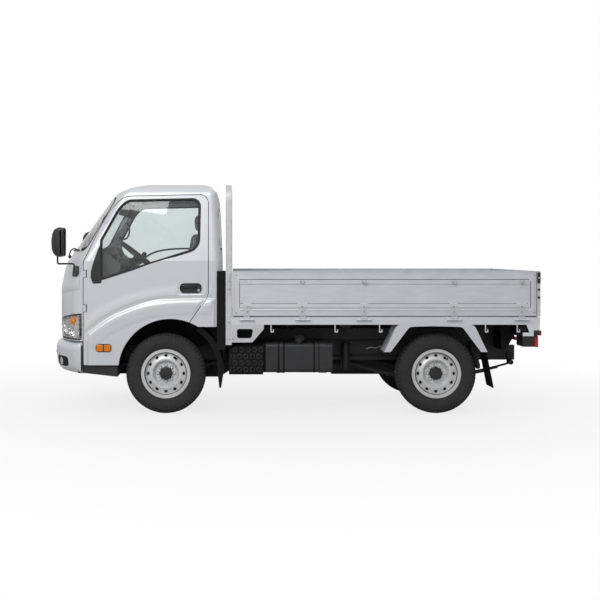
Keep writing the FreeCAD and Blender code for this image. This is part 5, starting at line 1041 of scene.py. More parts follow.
class TRUCK_OT_door_handles(Operator):
    """Makes the door handles in their dark recesses"""

    bl_idname = "truck.door_handles"
    bl_label = "Door handles"

    def execute(self, context):
        ring, inner = (band(HANDLE, [HANDLE_R] * 4, offset) for offset in (0.0, -HANDLE_RIM))
        (x0, z0), (x1, z1) = HANDLE[0], HANDLE[2]
        z = (z0 + z1) / 2
        grip = rounded(rectangle(x0 + 0.012, z - GRIP_LOW, x1 - 0.045, z + GRIP_HIGH), 0.009)
        for name, side in SIDES.items():
            door, y, rim_y = "door_" + name, side * DOOR_OUT, side * (DOOR_OUT + HANDLE_RIM_OUT)
            with piece("handle_well_" + name, "black_plastic", door) as bm:
                add_patch(bm, HANDLE, HANDLE_R, side, Skin(door), 0.002, 0.002)
            rows = [xz(ring, y), xz(ring, rim_y), xz(inner, rim_y), xz(inner, y)]
            with piece("handle_rim_" + name, "gloss_black", door, bevel=0.0018) as bm:
                add_skin(bm, rows + rows[:1], cap=False)
            with piece("handle_flap_" + name, "gloss_black", door, bevel=0.003) as bm:
                add_prism(bm, xz(grip, y + side * 0.003), (0, side * GRIP_OUT, 0))
            with piece("door_lock_" + name, "chrome", body=door) as bm:
                add_lathe(bm, (x1 - 0.026, y + side * 0.002, z0 + 0.024), (0, side, 0), LOCK, 32)
        return {"FINISHED"}


# Seats

PAD_CUTS = 26
PIPING_R = 0.0035
SEAT_IN_Y, SEAT_OUT_Y = 0.152, 0.708
SEAT_FRONT_X, SEAT_BACK_X = -1.376, -0.842
SEAT_BASE_Z, SEAT_TOP_Z, BACK_TOP_Z, REST_TOP_Z = 0.846, 0.958, 1.532, 1.700
BACK_THICK, BACK_LEAN = 0.126, 0.092
REST_HALF_W, REST_THICK, REST_GAP = 0.128, 0.094, 0.022
# Sewn channels: the axis that each one is placed along, its place as a share, its width and its depth
SIDE_CHANNELS = [(1, -0.62, 0.007, 0.011), (1, 0.62, 0.007, 0.011)]
CUSHION_CHANNELS = SIDE_CHANNELS + [(0, -0.35, 0.006, 0.007), (0, 0.3, 0.006, 0.007)]
BACK_CHANNELS = SIDE_CHANNELS + [(2, -0.3, 0.006, 0.007), (2, 0.35, 0.006, 0.007)]
REST_CHANNELS = [(2, -0.2, 0.006, 0.004)]


def add_block(bm, cuts, shaped):
    """Adds a closed block of six gridded faces, with every point moved to its place by a function."""
    for axis in range(3):
        for sign in (-1, 1):
            grid = []
            for a in range(cuts + 1):
                line = []
                for b in range(cuts + 1):
                    share = Vector((0, 0, 0))
                    share[axis] = sign
                    share[(axis + 1) % 3], share[(axis + 2) % 3] = a * 2 / cuts - 1, b * 2 / cuts - 1
                    line.append(bm.verts.new(shaped(share)))
                grid.append(line)
            for u, v in zip(grid, grid[1:]):
                for b in range(cuts):
                    bm.faces.new((u[b], u[b + 1], v[b + 1], v[b]))


def round_off(point, half, radius):
    """Moves a point of a block, given from its middle, onto the block's rounded edge."""
    core = Vector([max(radius - half[i], min(half[i] - radius, point[i])) for i in range(3)])
    off = point - core
    return core + off.normalized() * radius if off.length > 0 else point


def add_slab(bm, low, high, radius, cuts=6):
    """Adds a slab between two corners, in any order, whose edges and corners are all rounded."""
    low, high = (Vector([pick(pair) for pair in zip(low, high)]) for pick in (min, max))
    middle, half = (low + high) / 2, (high - low) / 2

    def shaped(share):
        point = Vector([math.copysign(abs(share[i]) ** 0.55, share[i]) * half[i] for i in range(3)])
        return middle + round_off(point, half, radius)

    add_block(bm, cuts, shaped)


def pad(name, low, high, radius, face, crown, pinch, channels, lean=0.0):
    """A stuffed piece: one face crowned, sides that pull in, sewn channels and piping round the face."""
    low, high = Vector(low), Vector(high)
    middle, half = (low + high) / 2, (high - low) / 2
    main, sign = face
    across = [i for i in range(3) if i != main]

    def shaped(share):
        point = round_off(Vector([share[i] * half[i] for i in range(3)]), half, radius)
        swell = (1 - share[across[0]] ** 2) * (1 - share[across[1]] ** 2)
        weight = max(0.0, share[main] * sign)
        point[main] += sign * crown * swell * weight
        for i, other in (across, across[::-1]):
            point[i] -= share[i] * pinch * (1 - share[other] ** 2)
        for axis, place, width, depth in channels:
            away = (share[axis] - place) * half[axis] / width
            point[main] -= sign * depth * weight * math.exp(-away ** 2)
        ripple = noise.noise((middle + point) * 9.0) * 0.0022 + noise.noise((middle + point) * 30.0) * 0.0008
        point[main] += sign * ripple * weight
        point = middle + point
        point.x += lean * (point.z - low.z) / (high.z - low.z)
        return point

    bm = bmesh.new()
    add_block(bm, PAD_CUTS, shaped)
    rim = []
    for corner in range(4):
        (a0, b0), (a1, b1) = (((-1, -1), (1, -1), (1, 1), (-1, 1)) * 2)[corner:corner + 2]
        for k in range(16):
            share = Vector((0, 0, 0))
            share[main] = sign
            share[across[0]], share[across[1]] = a0 + (a1 - a0) * k / 16, b0 + (b1 - b0) * k / 16
            rim.append(shaped(share))
    add_tube(bm, rim + rim[:2], PIPING_R, 8)
    obj = finish_mesh(bm, name, "cloth", sharp=60.0)
    return obj


def make_seat(name, side):
    """One seat: cushion, back, head rest with its posts, and rails."""
    y0, y1 = sorted((side * SEAT_IN_Y, side * SEAT_OUT_Y))
    mid = (y0 + y1) / 2
    cushion = pad("seat_cushion_" + name, (SEAT_FRONT_X, y0, SEAT_BASE_Z),
                  (SEAT_BACK_X - 0.02, y1, SEAT_TOP_Z), 0.042, (2, 1), 0.016, 0.010, CUSHION_CHANNELS)
    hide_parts("seats")
    pad("seat_back_" + name, (SEAT_BACK_X - BACK_THICK, y0 + 0.004, SEAT_TOP_Z - 0.04),
        (SEAT_BACK_X, y1 - 0.004, BACK_TOP_Z), 0.040, (0, -1), 0.014, 0.010, BACK_CHANNELS, BACK_LEAN)
    rest_x = SEAT_BACK_X + BACK_LEAN - 0.006
    pad("head_rest_" + name, (rest_x - REST_THICK, mid - REST_HALF_W, BACK_TOP_Z + REST_GAP),
        (rest_x, mid + REST_HALF_W, REST_TOP_Z), 0.036, (0, -1), 0.010, 0.006, REST_CHANNELS)
    with piece("rest_posts_" + name, "chrome") as bm:
        for place in (-0.055, 0.055):
            foot = Vector((rest_x - 0.052, mid + place, BACK_TOP_Z - 0.03))
            add_tube(bm, [foot, foot + Vector((0.002, 0, 0.03)), foot + Vector((0.004, 0, 0.07))], 0.006, 12)
    with piece("seat_rails_" + name, "chassis") as bm:
        for place in (y0 + 0.06, y1 - 0.09):
            add_slab(bm, (SEAT_FRONT_X + 0.05, place, SEAT_BASE_Z - 0.002),
                     (SEAT_BACK_X - 0.03, place + 0.03, SEAT_BASE_Z + 0.022), 0.006, 4)


class TRUCK_OT_seats(Operator):
    """Upholsters the two seats: cushions, backs and head rests"""

    bl_idname = "truck.seats"
    bl_label = "Seats"

    def execute(self, context):
        for name, side in SIDES.items():
            make_seat(name, side)
        with piece("middle_tray", "grey_plastic") as bm:
            add_slab(bm, (-1.30, -0.135, SEAT_BASE_Z - 0.002), (-0.90, 0.135, 0.925), 0.018)
        return {"FINISHED"}


# Inside the cab

DASH_TOP_Z = 1.365
STEER_Y = -0.430
COLUMN_X = -1.342
HOOD_LOW_Z = DASH_TOP_Z - 0.02
HOOD = ((-1.665, HOOD_LOW_Z), (-1.645, 1.408), (-1.590, 1.424), (-1.530, 1.412), (-1.500, HOOD_LOW_Z))
HOOD_HALF_W = 0.19
DIALS = ((-0.085, 0.048), (0.035, 0.048), (0.125, 0.028))
DIAL_X, DIAL_Z = -1.512, 1.378
VENTS_Y = (-0.62, -0.22, 0.22, 0.62)
VENT_HALF_W, VENT_LOW_Z, VENT_HIGH_Z, SLAT_STEP, SLAT_HIGH = 0.058, 1.262, 1.322, 0.0105, 0.004
KNOB = ((0.0, 0.016), (0.011, 0.016), (0.013, 0.0), (0.0, 0.0))
RADIO_X, RADIO_HALF_W, KNOB_Y = -1.428, 0.13, 0.105
GEAR_Y = -0.16
GEAR_ROD = ((-1.47, 1.20), (-1.40, 1.235), (-1.345, 1.30), (-1.330, 1.335))
GEAR_KNOB = ((0.0, 0.0), (0.012, 0.0), (0.020, 0.018), (0.022, 0.034), (0.015, 0.048), (0.0, 0.052))
PILLAR_GRIP = (
    (-1.622, 1.508), (-1.596, 1.500), (-1.560, 1.522), (-1.542, 1.580), (-1.546, 1.632), (-1.566, 1.664),
)
PILLAR_Y = 0.705
VISOR = ((0.10, 1.700), (0.62, 1.700), (0.60, 1.815), (0.10, 1.815))
VISOR_X, VISOR_SLOPE, VISOR_THICK = -1.515, 0.55, 0.014
RAIL = ((-1.430, 1.262), (-1.405, 1.305), (-1.345, 1.352), (-1.265, 1.384), (-1.150, 1.404), (-0.985, 1.412),
        (-0.940, 1.405))
RAIL_Y = 0.715


def make_instruments():
    """The hood over the instruments, and the dials under it."""
    with piece("instrument_hood", "grey_plastic", bevel=0.012, segments=3) as bm:
        outline = rounded(HOOD, [0, 0.02, 0.04, 0.02, 0])
        add_prism(bm, xz(outline, STEER_Y - HOOD_HALF_W), (0, 2 * HOOD_HALF_W, 0))
    with piece("instrument_dials", "gloss_black") as bm:
        for place, radius in DIALS:
            profile = ((0.0, 0.004), (radius * 0.86, 0.004), (radius * 0.9, 0.009), (radius, 0.009),
                       (radius, -0.01), (0.0, -0.01))
            add_lathe(bm, (DIAL_X, STEER_Y + place, DIAL_Z), (1, 0, 0.42), profile, 36)


def make_vents():
    """The four air vents in the dashboard, each with five slats."""
    with piece("air_vents", "black_plastic") as bm:
        for y in VENTS_Y:
            add_slab(bm, (-1.520, y - VENT_HALF_W, VENT_LOW_Z), (-1.418, y + VENT_HALF_W, VENT_HIGH_Z),
                     0.010, 5)
    with piece("vent_slats", "grey_plastic", bevel=0.0006) as bm:
        for y in VENTS_Y:
            for k in range(5):
                z = VENT_LOW_Z + 0.009 + k * SLAT_STEP
                add_box(bm, (-1.419, y - 0.05, z), (-1.4155, y + 0.05, z + SLAT_HIGH))


def make_radio():
    """The radio's panel with its two knobs."""
    with piece("radio_panel", "gloss_black", bevel=0.001) as bm:
        add_slab(bm, (-1.500, -RADIO_HALF_W, 1.165), (RADIO_X, RADIO_HALF_W, 1.245), 0.008, 5)
        for y in (-KNOB_Y, KNOB_Y):
            add_lathe(bm, (RADIO_X, y, 1.205), (1, 0, 0), KNOB, 24)


def make_levers():
    """The gear lever and the two stalks on the steering column."""
    with piece("gear_lever", "black_plastic") as bm:
        add_tube(bm, smooth_path([(x, GEAR_Y, z) for x, z in GEAR_ROD], 6), 0.007, 12)
        add_lathe(bm, (-1.330, GEAR_Y, 1.325), (0.15, 0, 1), GEAR_KNOB, 24)
    with piece("column_stalks", "black_plastic") as bm:
        start = Vector((COLUMN_X - 0.045, STEER_Y, DASH_TOP_Z - 0.072))
        for side in (-1, 1):
            bend, tip = Vector((-0.004, side * 0.09, 0.012)), Vector((0.01, side * 0.165, 0.03))
            add_tube(bm, [start, start + bend, start + tip], 0.0065, 12)


def make_pillar_grip():
    """The grab handle on the passenger's pillar, with a foot at each end."""
    with piece("pillar_grip", "grey_plastic") as bm:
        add_tube(bm, smooth_path([(x, PILLAR_Y, z) for x, z in PILLAR_GRIP], 6), 0.0085, 12)
        for x, z in (PILLAR_GRIP[0], PILLAR_GRIP[-1]):
            add_slab(bm, (x - 0.02, PILLAR_Y - 0.014, z - 0.016), (x + 0.012, PILLAR_Y + 0.03, z + 0.016),
                     0.006, 4)


def make_sun_visor(name, side):
    """A visor that lies along the top of the windscreen."""
    visor = rounded([(side * y, z) for y, z in VISOR], 0.02, 5)
    with piece("sun_visor_" + name, "grey_plastic", bevel=0.004) as bm:
        slanted = [Vector((VISOR_X + VISOR_SLOPE * (z - VISOR[0][1]), y, z)) for y, z in visor]
        add_prism(bm, slanted, (VISOR_THICK, 0, 0))


class TRUCK_OT_cab_fittings(Operator):
    """Makes the instruments, levers, vents, radio, pillar grip, rail, sun visors and inner mirror"""

    bl_idname = "truck.cab_fittings"
    bl_label = "Cab fittings"

    def execute(self, context):
        make_instruments()
        make_vents()
        make_radio()
        make_levers()
        make_pillar_grip()
        for name, side in SIDES.items():
            make_sun_visor(name, side)
        with piece("passenger_rail", "grey_plastic") as bm:
            add_tube(bm, smooth_path([(x, RAIL_Y, z) for x, z in RAIL], 6), 0.009, 12)
        with piece("cab_mirror", "black_plastic") as bm:
            add_slab(bm, (-1.560, -0.10, 1.735), (-1.535, 0.10, 1.790), 0.010, 5)
            add_tube(bm, [(-1.545, 0, 1.78), (-1.50, 0, 1.82), (-1.47, 0, 1.845)], 0.006, 10)
        return {"FINISHED"}


# Behind the headlamps' lenses

LAMP_FRONT = (-1.775, 0.500)
LAMP_LOW_Z, LAMP_HIGH_Z, LAMP_RISE = 0.646, 0.786, 0.056
LAMP_BACK, LAMP_RIM_BACK = 0.036, 0.012
LAMP_COLUMNS, LAMP_LEVELS = 64, 18
# Bowls: the turn from ahead to the side as a share, the height and the radius
BOWLS = ((0.10, 0.715, 0.052), (0.40, 0.712, 0.046), (0.76, 0.700, 0.040))
BULB = ((0.0, 0.0), (0.008, 0.002), (0.009, 0.012), (0.006, 0.018), (0.0, 0.020))
TURN_LAMP = (
    (0.0, 0.014), (0.010, 0.013), (0.013, 0.009), (0.022, 0.008), (0.025, 0.003), (0.034, 0.002),
    (0.034, -0.010), (0.0, -0.010),
)


def behind_lens(skin, side, turn, z, depth):
    """A point behind the lens and the way out there: turn 0 looks forward and 1 looks out to the side."""
    out = fan_out(-4 + 90 * turn, side)
    centre = Vector((LAMP_FRONT[0], side * LAMP_FRONT[1], z))
    point = skin.hit(centre + out * 0.8, -out)
    if point is None:
        point = centre + out * 0.27
    return point - out * depth, out


def make_lamp_reflector(name, side, skin):
    """The fluted tray behind the lens."""
    rings = []
    for i in range(LAMP_COLUMNS + 1):
        turn = 0.02 + 0.93 * i / LAMP_COLUMNS
        high = LAMP_HIGH_Z + LAMP_RISE * turn
        front, back = [], []
        for k in range(LAMP_LEVELS + 1):
            z = LAMP_LOW_Z + (high - LAMP_LOW_Z) * k / LAMP_LEVELS
            flute = 0.0022 * abs(math.sin(math.pi * i / 5)) + 0.0012 * abs(math.sin(math.pi * k / 3))
            edge = min(1.0, min(k, LAMP_LEVELS - k) / 2.0, min(i, LAMP_COLUMNS - i) / 3.0)
            depth = LAMP_RIM_BACK + (LAMP_BACK - LAMP_RIM_BACK) * edge + flute * edge
            point, out = behind_lens(skin, side, turn, z, depth)
            front.append(point)
            back.append(point - out * 0.004)
        rings.append(front + back[::-1])
    with piece("lamp_reflector_" + name, "reflector", sharp=25.0) as bm:
        add_skin(bm, rings)


class TRUCK_OT_headlamps(Operator):
    """Makes what is behind the headlamp lenses: fluted reflectors, bowls, bulbs and the amber turn lamp"""

    bl_idname = "truck.headlamps"
    bl_label = "Headlamps"

    def execute(self, context):
        skin = Skin("headlamps")
        for name, side in SIDES.items():
            make_lamp_reflector(name, side, skin)
            places = [(*behind_lens(skin, side, turn, z, LAMP_BACK + 0.006), radius)
                      for turn, z, radius in BOWLS]
            with piece("lamp_bowls_" + name, "chrome", sharp=30.0) as bm:
                for place, out, radius in places:
                    profile = ((0.0, 0.0), (radius * 0.45, 0.004), (radius * 0.8, 0.013), (radius, 0.026),
                               (radius * 1.05, 0.026), (radius * 0.9, 0.006), (radius * 0.5, -0.004),
                               (0.0, -0.005))
                    add_lathe(bm, place, out, profile, 40)
            with piece("lamp_bulbs_" + name, "lens", sharp=30.0) as bm:
                for place, out, radius in places:
                    add_lathe(bm, place, out, BULB, 20)
            with piece("turn_lamp_" + name, "amber", sharp=12.0) as bm:
                add_lathe(bm, *behind_lens(skin, side, 0.80, 0.790, 0.024), TURN_LAMP, 9)
            with piece("lamp_gasket_" + name, "black_rubber") as bm:
                turns = [0.10 + 0.865 * i / 40 for i in range(41)]
                z = LAMP_LOW_Z - 0.012
                add_tube(bm, [behind_lens(skin, side, turn, z, -0.0015)[0] for turn in turns], 0.0035, 8)
        return {"FINISHED"}


# Wheel details

# Black cups that close the wheels' vent holes: painted shade inside the holes.
VENT_COUNT, VENT_RING_R, VENT_OUT, VENT_HALF = 12, 0.152, 0.0462, (0.0132, 0.0104)
VENT_ROWS = ((1.0, -0.016), (1.06, 0.0002), (1.02, 0.0012), (0.96, 0.0006), (0.93, -0.010))
NUT_COUNT, NUT_RING_R = 8, 0.068
NUT = (
    (0.0, 0.0148), (0.0075, 0.0148), (0.0108, 0.0138), (0.0124, 0.012), (0.0124, -0.001), (0.0, -0.001),
)
WASHER = ((0.0, 0.0012), (0.0135, 0.0012), (0.0142, 0.0), (0.0, -0.001))
# The rims' inner line: a black ring inside the flange, painted shade where the rim turns.
RIM_LINE_OUT = 0.0645
RIM_LINE = ((0.1745, 0.0), (0.1775, 0.0012), (0.1805, 0.0), (0.1775, -0.002))


def round_the_wheel(count):
    """Even places round a wheel: the way outward from its middle and the way along the circle."""
    for i in range(count):
        sine, cosine = math.sin(2 * math.pi * i / count), math.cos(2 * math.pi * i / count)
        yield Vector((sine, 0, cosine)), Vector((cosine, 0, -sine))


class TRUCK_OT_wheel_details(Operator):
    """Makes the black cups that close the wheels' vents, painted shade inside the holes, the nuts and their
    washers, and the rims' inner line, a black ring that is painted shade inside the flange
    """

    bl_idname = "truck.wheel_details"
    bl_label = "Wheel details"

    def execute(self, context):
        turns = [2 * math.pi * k / 24 for k in range(24)]
        for corner in CORNERS:
            centre, out, body = wheel_place(corner)
            with piece("vent_shade_cups_" + corner, "shade_darkened_black", body, sharp=40.0) as bm:
                for radial, along in round_the_wheel(VENT_COUNT):
                    root = centre + radial * VENT_RING_R + out * VENT_OUT
                    wide, tall = along * VENT_HALF[0], radial * VENT_HALF[1]
                    oval = [wide * math.cos(t) + tall * math.sin(t) for t in turns]
                    add_skin(bm, [[root + out * lift + p * grown for p in oval] for grown, lift in VENT_ROWS])
            seats = [centre + out * DISC_FACE_OUT + radial * NUT_RING_R
                     for radial, along in round_the_wheel(NUT_COUNT)]
            with piece("wheel_nuts_" + corner, "wheel", body, sharp=20.0) as bm:
                for seat in seats:
                    add_lathe(bm, seat, out, NUT, 6)
            with piece("nut_washers_" + corner, "shade_darkened_black", body) as bm:
                for seat in seats:
                    add_lathe(bm, seat, out, WASHER, 24)
            with piece("rim_shade_line_" + corner, "shade_darkened_black", body) as bm:
                add_ring(bm, centre + out * RIM_LINE_OUT, out, RIM_LINE, 72)
        return {"FINISHED"}


# Under the body

RADIATOR = ((-1.600, -0.335, 0.290), (-1.405, 0.335, 0.560))
FIN_COUNT, FIN_FIRST_Z, FIN_STEP, FIN_HIGH = 12, 0.305, 0.018, 0.006
GEARBOX = (
    (-0.885, 0.480), (-0.865, 0.285), (-0.800, 0.262), (-0.640, 0.262), (-0.535, 0.330), (-0.500, 0.480),
)
GEARBOX_HALF_W, GEARBOX_RIB_HALF_W = 0.290, 0.305
GEARBOX_RIBS_X = [-0.84 + k * 0.062 for k in range(5)]
# Shock absorbers: the foot's and the head's places as (along, up)
SHOCKS = (((-1.005, 0.345), (-0.985, 0.560)), ((1.622, 0.372), (1.585, 0.560)))
SHOCK_FOOT_Y, SHOCK_HEAD_Y, SHOCK_ROD_R, SHOCK_TUBE_R = 0.470, 0.395, 0.026, 0.031
SHOCK_EYE = ((0.0, 0.045), (0.016, 0.045), (0.020, 0.038), (0.020, 0.002), (0.016, -0.004), (0.0, -0.004))
OUTRIGGER = ((1.790, 0.762), (1.905, 0.762), (1.905, 0.662), (1.868, 0.600), (1.842, 0.548), (1.790, 0.520))
OUTRIGGER_IN_Y, OUTRIGGER_WIDE = 0.352, 0.288
TANK_AXIS_Y, TANK_AXIS_Z = -0.640, 0.477
STRAP_EDGES_X = ((-0.142, -0.128), (-0.098, -0.084), (0.160, 0.174), (0.204, 0.218))
STRAP_SINK, STRAP_LIFT, STRAP_STEPS = 0.002, 0.003, 24
CAP_PLACE, CAP_AXIS = Vector((0.053, -0.702, 0.630)), (0, -1, 0.25)
CAP = (
    (0.0, 0.030), (0.012, 0.030), (0.014, 0.034), (0.030, 0.032), (0.036, 0.026), (0.038, 0.004),
    (0.034, -0.002), (0.0, -0.002),
)
CAP_KEY = ((0.0, 0.006), (0.008, 0.005), (0.011, 0.0), (0.0, -0.001))
BATTERY_ROWS, BATTERY_COLUMNS = 4, 5
BATTERY_FIRST, BATTERY_STEP, BATTERY_END_X = (-0.522, 0.378), (0.055, 0.056), -0.28
BATTERY_VENT = ((0.013, 0.0), (0.013, 0.005), (0.016, 0.0065), (0.021, 0.005), (0.022, 0.0))
HOSES = (
    ((0.335, -0.365, 0.455), (0.60, -0.368, 0.462), (0.90, -0.368, 0.455), (1.05, -0.375, 0.420),
     (1.13, -0.400, 0.385)),
    ((-0.45, -0.362, 0.595), (0.10, -0.362, 0.600), (0.55, -0.362, 0.590), (0.98, -0.362, 0.600)),
)
HOSE_R, PIPE_R = 0.0065, 0.0055
FUEL_PIPE = ((0.655, -0.372, 0.520), (0.700, -0.374, 0.532), (0.745, -0.372, 0.528), (0.790, -0.370, 0.545))
FILTER = ((0.0, 0.0), (0.030, 0.004), (0.036, 0.02), (0.036, 0.225), (0.030, 0.245), (0.0, 0.250))


def make_radiator():
    """The radiator behind the front bumper, with its fins."""
    with piece("radiator", "shade_darkened_black", slot="chassis_paint", bevel=0.001) as bm:
        add_slab(bm, *RADIATOR, 0.020, 8)
        for k in range(FIN_COUNT):
            z = FIN_FIRST_Z + k * FIN_STEP
            add_box(bm, (-1.606, -0.315, z), (-1.598, 0.315, z + FIN_HIGH))


def make_gearbox_case():
    """The cast case behind the engine, with ribs across it."""
    with piece("gearbox_case", "cast", bevel=0.008, segments=3) as bm:
        add_prism(bm, xz(rounded(GEARBOX, 0.022, 5), -GEARBOX_HALF_W), (0, 2 * GEARBOX_HALF_W, 0))
        for x in GEARBOX_RIBS_X:
            add_slab(bm, (x, -GEARBOX_RIB_HALF_W, 0.300), (x + 0.014, GEARBOX_RIB_HALF_W, 0.470), 0.005, 4)


def make_shock_absorbers(name, side):
    """A front and a rear shock absorber: rod, tube and an eye at each end."""
    with piece("shock_absorbers_" + name, "chassis") as bm:
        for low, high in SHOCKS:
            foot = Vector((low[0], side * SHOCK_FOOT_Y, low[1]))
            head = Vector((high[0], side * SHOCK_HEAD_Y, high[1]))
            add_tube(bm, [foot, foot.lerp(head, 0.5), foot.lerp(head, 0.52)], SHOCK_ROD_R, 18)
            add_tube(bm, [foot.lerp(head, 0.45), foot.lerp(head, 0.8), head], SHOCK_TUBE_R, 18)
            for end in (foot, head):
                add_lathe(bm, end - Vector((0, side * 0.02, 0)), (0, side, 0), SHOCK_EYE, 20)


def make_side_brackets(name, side):
    """The bumper's dark end, the tail lamp's carrier and the outrigger under the deck's rear corner."""
    with piece("bumper_end_" + name, "shade_darkened_black") as bm:
        add_slab(bm, (-1.832, side * 0.808 - 0.012, 0.350), (-1.772, side * 0.808 + 0.012, 0.600), 0.004, 4)
    with piece("lamp_carrier_" + name, "shade_darkened_black", slot="chassis_paint") as bm:
        add_slab(bm, (1.890, side * 0.640, 0.664), (1.990, side * 0.826, 0.766), 0.006, 4)
    with piece("rear_outrigger_" + name, "shade_darkened_black", slot="chassis_paint") as bm:
        outline = rounded(OUTRIGGER, 0.012, 4)
        add_prism(bm, xz(outline, side * OUTRIGGER_IN_Y), (0, side * OUTRIGGER_WIDE, 0))


def make_tank_straps():
    """The raised edges of the two straps, wrapped over the fuel tank's outer face."""
    skin = Skin("fuel_tank")
    with piece("tank_straps", "shade_darkened_black", slot="chassis_paint") as bm:
        for a, b in STRAP_EDGES_X:
            rings = []
            for k in range(STRAP_STEPS + 1):
                angle = math.radians(-88 + 176 * k / STRAP_STEPS)
                toward = Vector((0, math.cos(angle), -math.sin(angle)))
                point = skin.hit(Vector(((a + b) / 2, TANK_AXIS_Y, TANK_AXIS_Z)) - toward * 0.5, toward)
                if point is not None:
                    deep, proud = toward * STRAP_SINK, toward * -STRAP_LIFT
                    left, right = Vector((a, point.y, point.z)), Vector((b, point.y, point.z))
                    rings.append([left + deep, left + proud, right + proud, right + deep])
            add_skin(bm, rings)


def make_tank_cap():
    """The fuel tank's cap and the lock in it."""
    with piece("tank_cap", "tank", slot="black_plastic") as bm:
        add_lathe(bm, CAP_PLACE, CAP_AXIS, CAP, 28)
    with piece("tank_cap_key", "bare_steel") as bm:
        add_lathe(bm, CAP_PLACE + Vector((0, -0.029, 0.007)), CAP_AXIS, CAP_KEY, 20)


def make_battery_vents():
    """The staggered rings on the battery box's outer face."""
    skin = Skin("battery_box")
    with piece("battery_vents", "chassis", slot="black_plastic") as bm:
        for row in range(BATTERY_ROWS):
            for column in range(BATTERY_COLUMNS):
                x = BATTERY_FIRST[0] + column * BATTERY_STEP[0] + (row % 2) * 0.018
                z = BATTERY_FIRST[1] + row * BATTERY_STEP[1]
                y = skin.side_y(x, z, -1)
                if y is not None and x < BATTERY_END_X:
                    add_ring(bm, (x, y + 0.002, z), (0, -1, 0), BATTERY_VENT, 20)


def make_pipes():
    """The hoses, the fuel pipe and the fuel filter beside the frame rail."""
    with piece("brake_hoses", "black_rubber") as bm:
        for points in HOSES:
            add_tube(bm, smooth_path(points, 6), HOSE_R, 10)
    with piece("fuel_pipe", "bare_steel") as bm:
        add_tube(bm, smooth_path(FUEL_PIPE, 6), PIPE_R, 10)
    with piece("fuel_filter", "chassis", slot="black_plastic") as bm:
        add_lathe(bm, (0.470, -0.410, 0.330), (0, 0, 1), FILTER, 28)
        add_slab(bm, (0.440, -0.405, 0.470), (0.500, -0.345, 0.520), 0.006, 4)


class TRUCK_OT_under_body(Operator):
    """Makes the radiator, gearbox case, shock absorbers, brackets, tank and battery fittings and pipes"""

    bl_idname = "truck.under_body"
    bl_label = "Under body"

    def execute(self, context):
        make_radiator()
        make_gearbox_case()
        for name, side in SIDES.items():
            make_shock_absorbers(name, side)
            make_side_brackets(name, side)
        make_tank_straps()
        make_tank_cap()
        make_battery_vents()
        with piece("tank_bracket", "shade_darkened_black", slot="chassis_paint", bevel=0.003) as bm:
            add_box(bm, (-0.268, -0.770, 0.352), (-0.240, -0.352, 0.600))
        make_pipes()
        return {"FINISHED"}


# Tail lamps

# Lenses: inner and outer edge across the truck, and finish
TAIL_LENSES = {
    "clear": (0.6225, 0.6890, "lens"), "amber": (0.6905, 0.7590, "amber"), "red": (0.7605, 0.8320, "red"),
}
LENS_LOW_Z, LENS_HIGH_Z, LENS_BACK_X = 0.5715, 0.6665, 2.0575
LENS_RIBS_Z = [0.583 + k * 0.012 for k in range(7)]
DECK_REFLECTOR = Vector((2.086, 0.800, 0.790))
REFLECTOR = ((0.0, 0.007), (0.012, 0.007), (0.015, 0.004), (0.015, -0.002), (0.0, -0.002))
LOW_REFLECTOR_Y = 0.300


def make_rear_reflectors(name, side):
    """The round reflector in the deck's end, and the low one on an arm."""
    behind = Vector((-AHEAD_X, side * DECK_REFLECTOR.y, DECK_REFLECTOR.z))
    point = Skin("deck").hit(behind, (-1, 0, 0)) or Vector((DECK_REFLECTOR.x, behind.y, behind.z))
    with piece("rear_reflector_" + name, "red") as bm:
        add_lathe(bm, point, (1, 0, 0), REFLECTOR, 28)
    y = side * LOW_REFLECTOR_Y
    with piece("reflector_arm_" + name, "shade_darkened_black", slot="chassis_paint") as bm:
        add_slab(bm, (1.930, y - 0.012, 0.598), (1.988, y + 0.012, 0.680), 0.005, 4)
    with piece("tail_reflector_" + name, "red") as bm:
        add_slab(bm, (1.984, y - 0.032, 0.592), (2.008, y + 0.032, 0.622), 0.006, 5)


class TRUCK_OT_tail_lamps(Operator):
    """Makes the tail lamps' lenses, the marker lamps' tips and the rear reflectors"""

    bl_idname = "truck.tail_lamps"
    bl_label = "Tail lamps"

    def execute(self, context):
        for name, side in SIDES.items():
            for kind, (near, away, finish) in TAIL_LENSES.items():
                y0, y1 = sorted((side * near, side * away))
                with piece("tail_lens_%s_%s" % (kind, name), finish) as bm:
                    add_slab(bm, (2.028, y0, LENS_LOW_Z), (LENS_BACK_X, y1, LENS_HIGH_Z), 0.006, 8)
                    for z in LENS_RIBS_Z:
                        add_slab(bm, (LENS_BACK_X - 0.001, y0 + 0.006, z),
                                 (LENS_BACK_X + 0.0015, y1 - 0.006, z + 0.005), 0.001, 2)
            with piece("marker_lens_" + name, "red") as bm:
                add_slab(bm, (2.062, side * 0.8145, 0.6700), (2.0800, side * 0.8520, 0.7140), 0.006, 6)
            make_rear_reflectors(name, side)
        return {"FINISHED"}


# Gates and deck

POST_RIVETS = ((-0.556, 0.781), (-0.556, 0.641), (-0.520, 0.641), (-0.556, 1.130), (-0.556, 1.060))
GATE_RIVETS = ((2.020, 1.182), (2.020, 0.865), (-0.495, 1.180), (-0.495, 0.860))
RIVET = ((0.0, 0.0045), (0.005, 0.0038), (0.0075, 0.001), (0.0, 0.0))
GATE_STRAPS_X = (-0.400, 0.063, 0.585, 1.343, 1.916)
STRAP_BOLTS_Z = (0.872, 0.912)
BOLT = ((0.0, 0.006), (0.006, 0.0055), (0.0085, 0.003), (0.0085, -0.001), (0.0, -0.001))
STAPLE_Z, STAPLE_R = 1.118, 0.0042
# Staple: steps along, out and up from its place
STAPLE_PATH = (
    (-0.014, -0.002, 0.010), (-0.014, 0.011, 0.010), (-0.010, 0.014, -0.006), (0.010, 0.014, -0.006),
    (0.014, 0.011, 0.010), (0.014, -0.002, 0.010),
)
